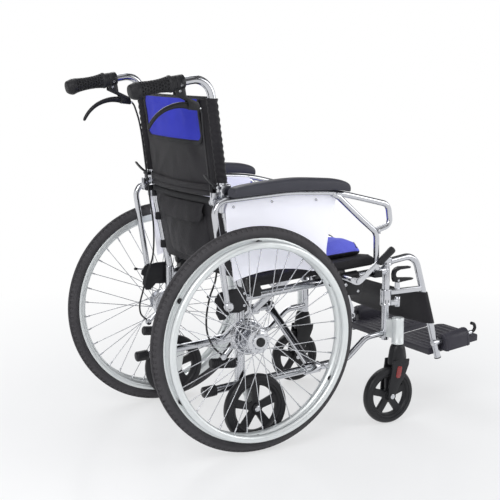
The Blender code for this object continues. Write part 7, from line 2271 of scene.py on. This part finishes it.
def hanger_mesh(s):
    y = s * FRAME_Y
    made = [tube(flat_path([(0.4550, 0.4385), (KNEE_X, KNEE_Z), (HANGER_END_X, HANGER_END_Z)], y), 0.0095,
                 [0.040],
                 sides=32)]
    for low, high in ((0.4290, 0.4500), (0.3180, 0.3620)):
        made.append(lathe([(0.0107, low), (0.0144, low), (0.0150, low + 0.0008), (0.0150, low + 0.0040),
                           (0.0146, low + 0.0046), (0.0146, high - 0.0046), (0.0150, high - 0.0040),
                           (0.0150, high - 0.0008), (0.0144, high), (0.0107, high)], (FRONT_POST_X, y, 0),
                          40, axis="Z"))
    link = block((0.4590, y - 0.0070, 0.3460), (hanger_x(0.353) - 0.002, y + 0.0070, 0.3600))
    made.append(bevelled(link, 0.0020, 3))
    post = [(0.475, 0.3560), (0.491, 0.3560)] + arc((LATCH_X, LATCH_Z), 0.006, 0, 180, 12)
    made.append(bevelled(extrude(post, y - 0.0027, y + 0.0027), 0.0005))
    made.append(lathe([(0.0022, y - 0.0072), (0.0034, y - 0.0070), (0.0034, y + 0.0070),
                       (0.0022, y + 0.0072)],
                      (LATCH_X, 0, LATCH_Z), 20, ring=False))
    made.append(bevelled(block((0.4585, y - 0.0080, 0.3165), (0.4830, y + 0.0080, 0.3315)), 0.0018, 2))
    made.append(lathe([(0.0030, 0.3100), (0.0066, 0.3104), (0.0076, 0.3116), (0.0076, 0.3364),
                       (0.0066, 0.3376), (0.0030, 0.3380)], (0.4850, y, 0), 28, axis="Z", ring=False))
    made.append(weld((FRONT_POST_X, y, 0.4371), (0.085, 0, 0.0115), (0, 0, 1), 0.0095, 0.0150))
    end = Vector((HANGER_END_X, y, HANGER_END_Z))
    run = (end - Vector((KNEE_X, y, KNEE_Z))).normalized()
    plug = stepped(end, run, ((-0.0030, 0.0092), (-0.0024, 0.0099), (0.0002, 0.0099), (0.0010, 0.0080)), 28)
    return join(*made), plug


def rod_mesh(s):
    start = Vector((PLATE_PIVOT.x, s * PLATE_PIVOT.y, PLATE_PIVOT.z))
    rod = stepped(start, PLATE_WAY, ((-0.004, 0.0055), (0.060, 0.0055), (0.1280, 0.0055), (0.1320, 0.0046)),
                  24)
    boss = stepped(start, PLATE_WAY, ((-0.0080, 0.0088), (-0.0072, 0.0100), (0.0195, 0.0100),
                                      (0.0205, 0.0090)), 32)
    tip = start + PLATE_WAY * 0.128
    hook = sweep(smooth_path([tip, tip + Vector((0.010, 0, 0.002)), tip + Vector((0.0165, 0, 0.011)),
                              tip + Vector((0.0125, 0, 0.022)), tip + Vector((0.0025, 0, 0.0260))], 7),
                 0.0046, 18)
    return rod, boss, hook


for label, s in SIDES:
    body, node = "hanger", "footrest_hanger"
    frame_tube, plug = hanger_mesh(s)
    rod, boss, hook = rod_mesh(s)
    part(label, "hanger_tube", frame_tube, polished, body, node, sharp=50)
    part(label, "hanger_rod", join(rod, boss), plated, body, node, sharp=45)
    part(label, "hanger_ends", join(plug, hook), moulded, body, node, sharp=50)

# %% [markdown]
# The latch is a black C-shaped lever: press its long finger and the hanger is free to swing. It is one
# outline with soft edges, split at the pivot so that it straddles the post.

# %% Hanger latches
for label, s in SIDES:
    y = s * FRAME_Y
    px, pz = LATCH_X, LATCH_Z
    outline = [(px - 0.012, pz - 0.004), (px, pz - 0.0062), (px + 0.020, pz - 0.0040),
               (px + 0.046, pz - 0.002), (px + 0.050, pz + 0.0005), (px + 0.050, pz + 0.0030),
               (px + 0.030, pz + 0.0050), (px - 0.002, pz + 0.0075), (px - 0.0080, pz + 0.0130),
               (px - 0.0086, pz + 0.0190), (px - 0.0050, pz + 0.0255), (px + 0.0060, pz + 0.0295),
               (px + 0.0380, pz + 0.0305), (px + 0.0415, pz + 0.0330), (px + 0.0400, pz + 0.0360),
               (px + 0.0040, pz + 0.0375), (px - 0.0080, pz + 0.0340), (px - 0.0145, pz + 0.0270),
               (px - 0.0170, pz + 0.0180), (px - 0.0160, pz + 0.0050)]
    blade = bevelled(extrude(outline, y - 0.0070, y + 0.0070), 0.0016, 3)
    gap = block((px - 0.0240, y - 0.0033, pz - 0.030), (px + 0.0140, y + 0.0033, pz + 0.0078))
    part(label, "latch_moulding", cut_with(blade, gap), moulded, "latch", "hanger_latch", sharp=40)

# %% [markdown]
# The footplate is a ribbed deck with a turned-down skirt and a rounded block that holds its hinge. The ribs
# repeat, so one rib is drawn and the row tree slides copies of it along the deck. The deck is an outline
# with one round corner at each inner end, and everything is tipped seven degrees about the hinge at the
# end.

# %% Footplates
def deck_outline(s):
    rear, front, inner, outer = 0.602, 0.780, 0.025, 0.193
    r = 0.022
    line = [(rear, outer)]
    corner = [math.pi / 2 * k / 8 for k in range(9)]
    line += [(rear + r - r * math.cos(t), inner + r - r * math.sin(t)) for t in corner]
    line += [(front - r + r * math.sin(t), inner + r - r * math.cos(t)) for t in corner]
    line += [(front, outer)]
    return [(x, s * y) for x, y in line]


def footplate_mesh(s):
    top = PLATE_PIVOT.z - 0.019
    outline = deck_outline(s)
    middle = Vector((0.691, s * 0.109))

    def level(z, inset):
        return [(x - math.copysign(inset, x - middle.x), y - math.copysign(inset, y - middle.y), z) for x,
                y in outline]

    shell = loft([level(z, inset) for z, inset in ((top - 0.0198, 0.0045), (top - 0.0196, 0.0012),
                                                   (top - 0.0070, 0.0), (top - 0.0018, 0.0),
                     (top - 0.0005, 0.0008), (top, 0.0026))])
    hollow = loft([level(z, 0.0035) for z in (top - 0.0300, top - 0.0075)])
    deck = cut_with(shell, hollow)
    rib_line = sweep([(0.6170, s * 0.0370, top - 0.0008), (0.6170, s * 0.0400, top - 0.0002),
                      (0.6170, s * 0.1800, top - 0.0002), (0.6170, s * 0.1830, top - 0.0008)],
                     [0.0018, 0.0034, 0.0034, 0.0018], 14, flat=0.72)
    ribs = row_of(rib_line, 9, (0.0185, 0, 0))
    stiffener = side_block(s, (0.6380, 0.6402), (0.0300, 0.1900), (top - 0.0185, top - 0.0060))
    stiff = row_of(bevelled(stiffener, 0.0004), 4, (0.0360, 0, 0))
    y = s * PLATE_PIVOT.y
    z = PLATE_PIVOT.z
    section = [(0.0195 * math.cos(math.radians(a)), 0.0195 * math.sin(math.radians(a)))
               for a in range(0, 181, 12)]
    section += [(-0.0195, -0.0200), (-0.0185, -0.0290), (-0.0140, -0.0300), (0.0140, -0.0300),
                (0.0185, -0.0290), (0.0195, -0.0200)]
    rings = []
    for x, scale in ((0.6372, 0.90), (0.6380, 0.97), (0.6396, 1.0), (0.7200, 1.0), (0.7216, 0.97),
                     (0.7224, 0.90)):
        rings.append([(x, y + a * scale, z + b * scale) for a, b in section])
    block_mesh = loft(rings)
    groove = [loft([[(x, y + a * 1.03, z + b * 1.03) for a, b in section] for x in (x0, x0 + 0.0022)])
              for x0 in (0.6440, 0.7136)]
    bore = lathe([(0.0062, -0.10), (0.0062, 0.10)], (0.68, y, z), 24, axis="X", ring=False)
    body = cut_with(block_mesh, bore)
    mesh = join(deck, ribs, stiff, body)
    rims = join(*[cut_with(g, bore.copy()) for g in groove])
    return [tipped(made, PLATE_TILT, PLATE_PIVOT.x, PLATE_PIVOT.z) for made in (mesh, rims)]


for label, s in SIDES:
    mesh, rims = footplate_mesh(s)
    deck = part(label, "footplate_deck", mesh, plate_grey, "plate", "footplate", sharp=35)
    part(label, "footplate_block_rims", rims, plate_grey, "plate", "footplate")
print("footplate faces", len(deck.data.polygons))

# %% [markdown]
# The calf strap is a broad band of black nylon behind the shins. It is looped round both hangers' tubes and
# bellies back between them. It rides on the right hanger, and has a mesh of its own.

# %% Calf strap
STRAP_LOW, STRAP_HIGH = 0.252, 0.342
STRAP_HALF = 0.2045


def strap_mesh():
    rings = []
    for k in range(19):
        u = k / 18
        z = STRAP_LOW + (STRAP_HIGH - STRAP_LOW) * u
        hem = 0.0007 if u < 0.08 or u > 0.92 else 0.0
        base = hanger_x(z) - 0.0124
        rear, front = [], []
        for y in across(STRAP_HALF, 52):
            sag = sag_of(y, 0.020, 0.205)
            fold = (0.0022 * math.sin(u * 8 + y * 12) * (1 - (y / STRAP_HALF) ** 2)
                    + 0.0015 * noise.noise(Vector((y * 12, z * 12, 9))))
            rear.append(Vector((base - sag - 0.0017 - hem + fold, y, z)))
            front.append(Vector((base - sag + 0.0017 + hem + fold, y, z)))
        left = [Vector((hanger_x(z) + 0.0124 * math.cos(t), FRAME_Y + 0.0124 * math.sin(t), z))
                for t in [math.radians(a) for a in (160, 130, 100, 70, 40, 10, -20, -50, -80, -110, -140)]]
        right = [Vector((p.x, -p.y, p.z)) for p in left][::-1]
        rings.append(left + front[1:-1] + right + rear[1:-1][::-1])
    return loft(rings)


band = piece("calf_strap_band", strap_mesh(), back_black, "hanger_right", "calf_strap", sharp=70)
rows = []
for z in (STRAP_LOW + 0.006, STRAP_HIGH - 0.006):
    rows.append(seam([(hanger_x(z) - 0.0124 - sag_of(y, 0.020, 0.205) - 0.0036, y, z)
                      for y in across(0.180, 40)]))
strap_seams = piece("calf_strap_stitches", join(*rows), thread_grey, "hanger_right", "calf_strap", sharp=80)
for thing in (band, strap_seams):
    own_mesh(thing)
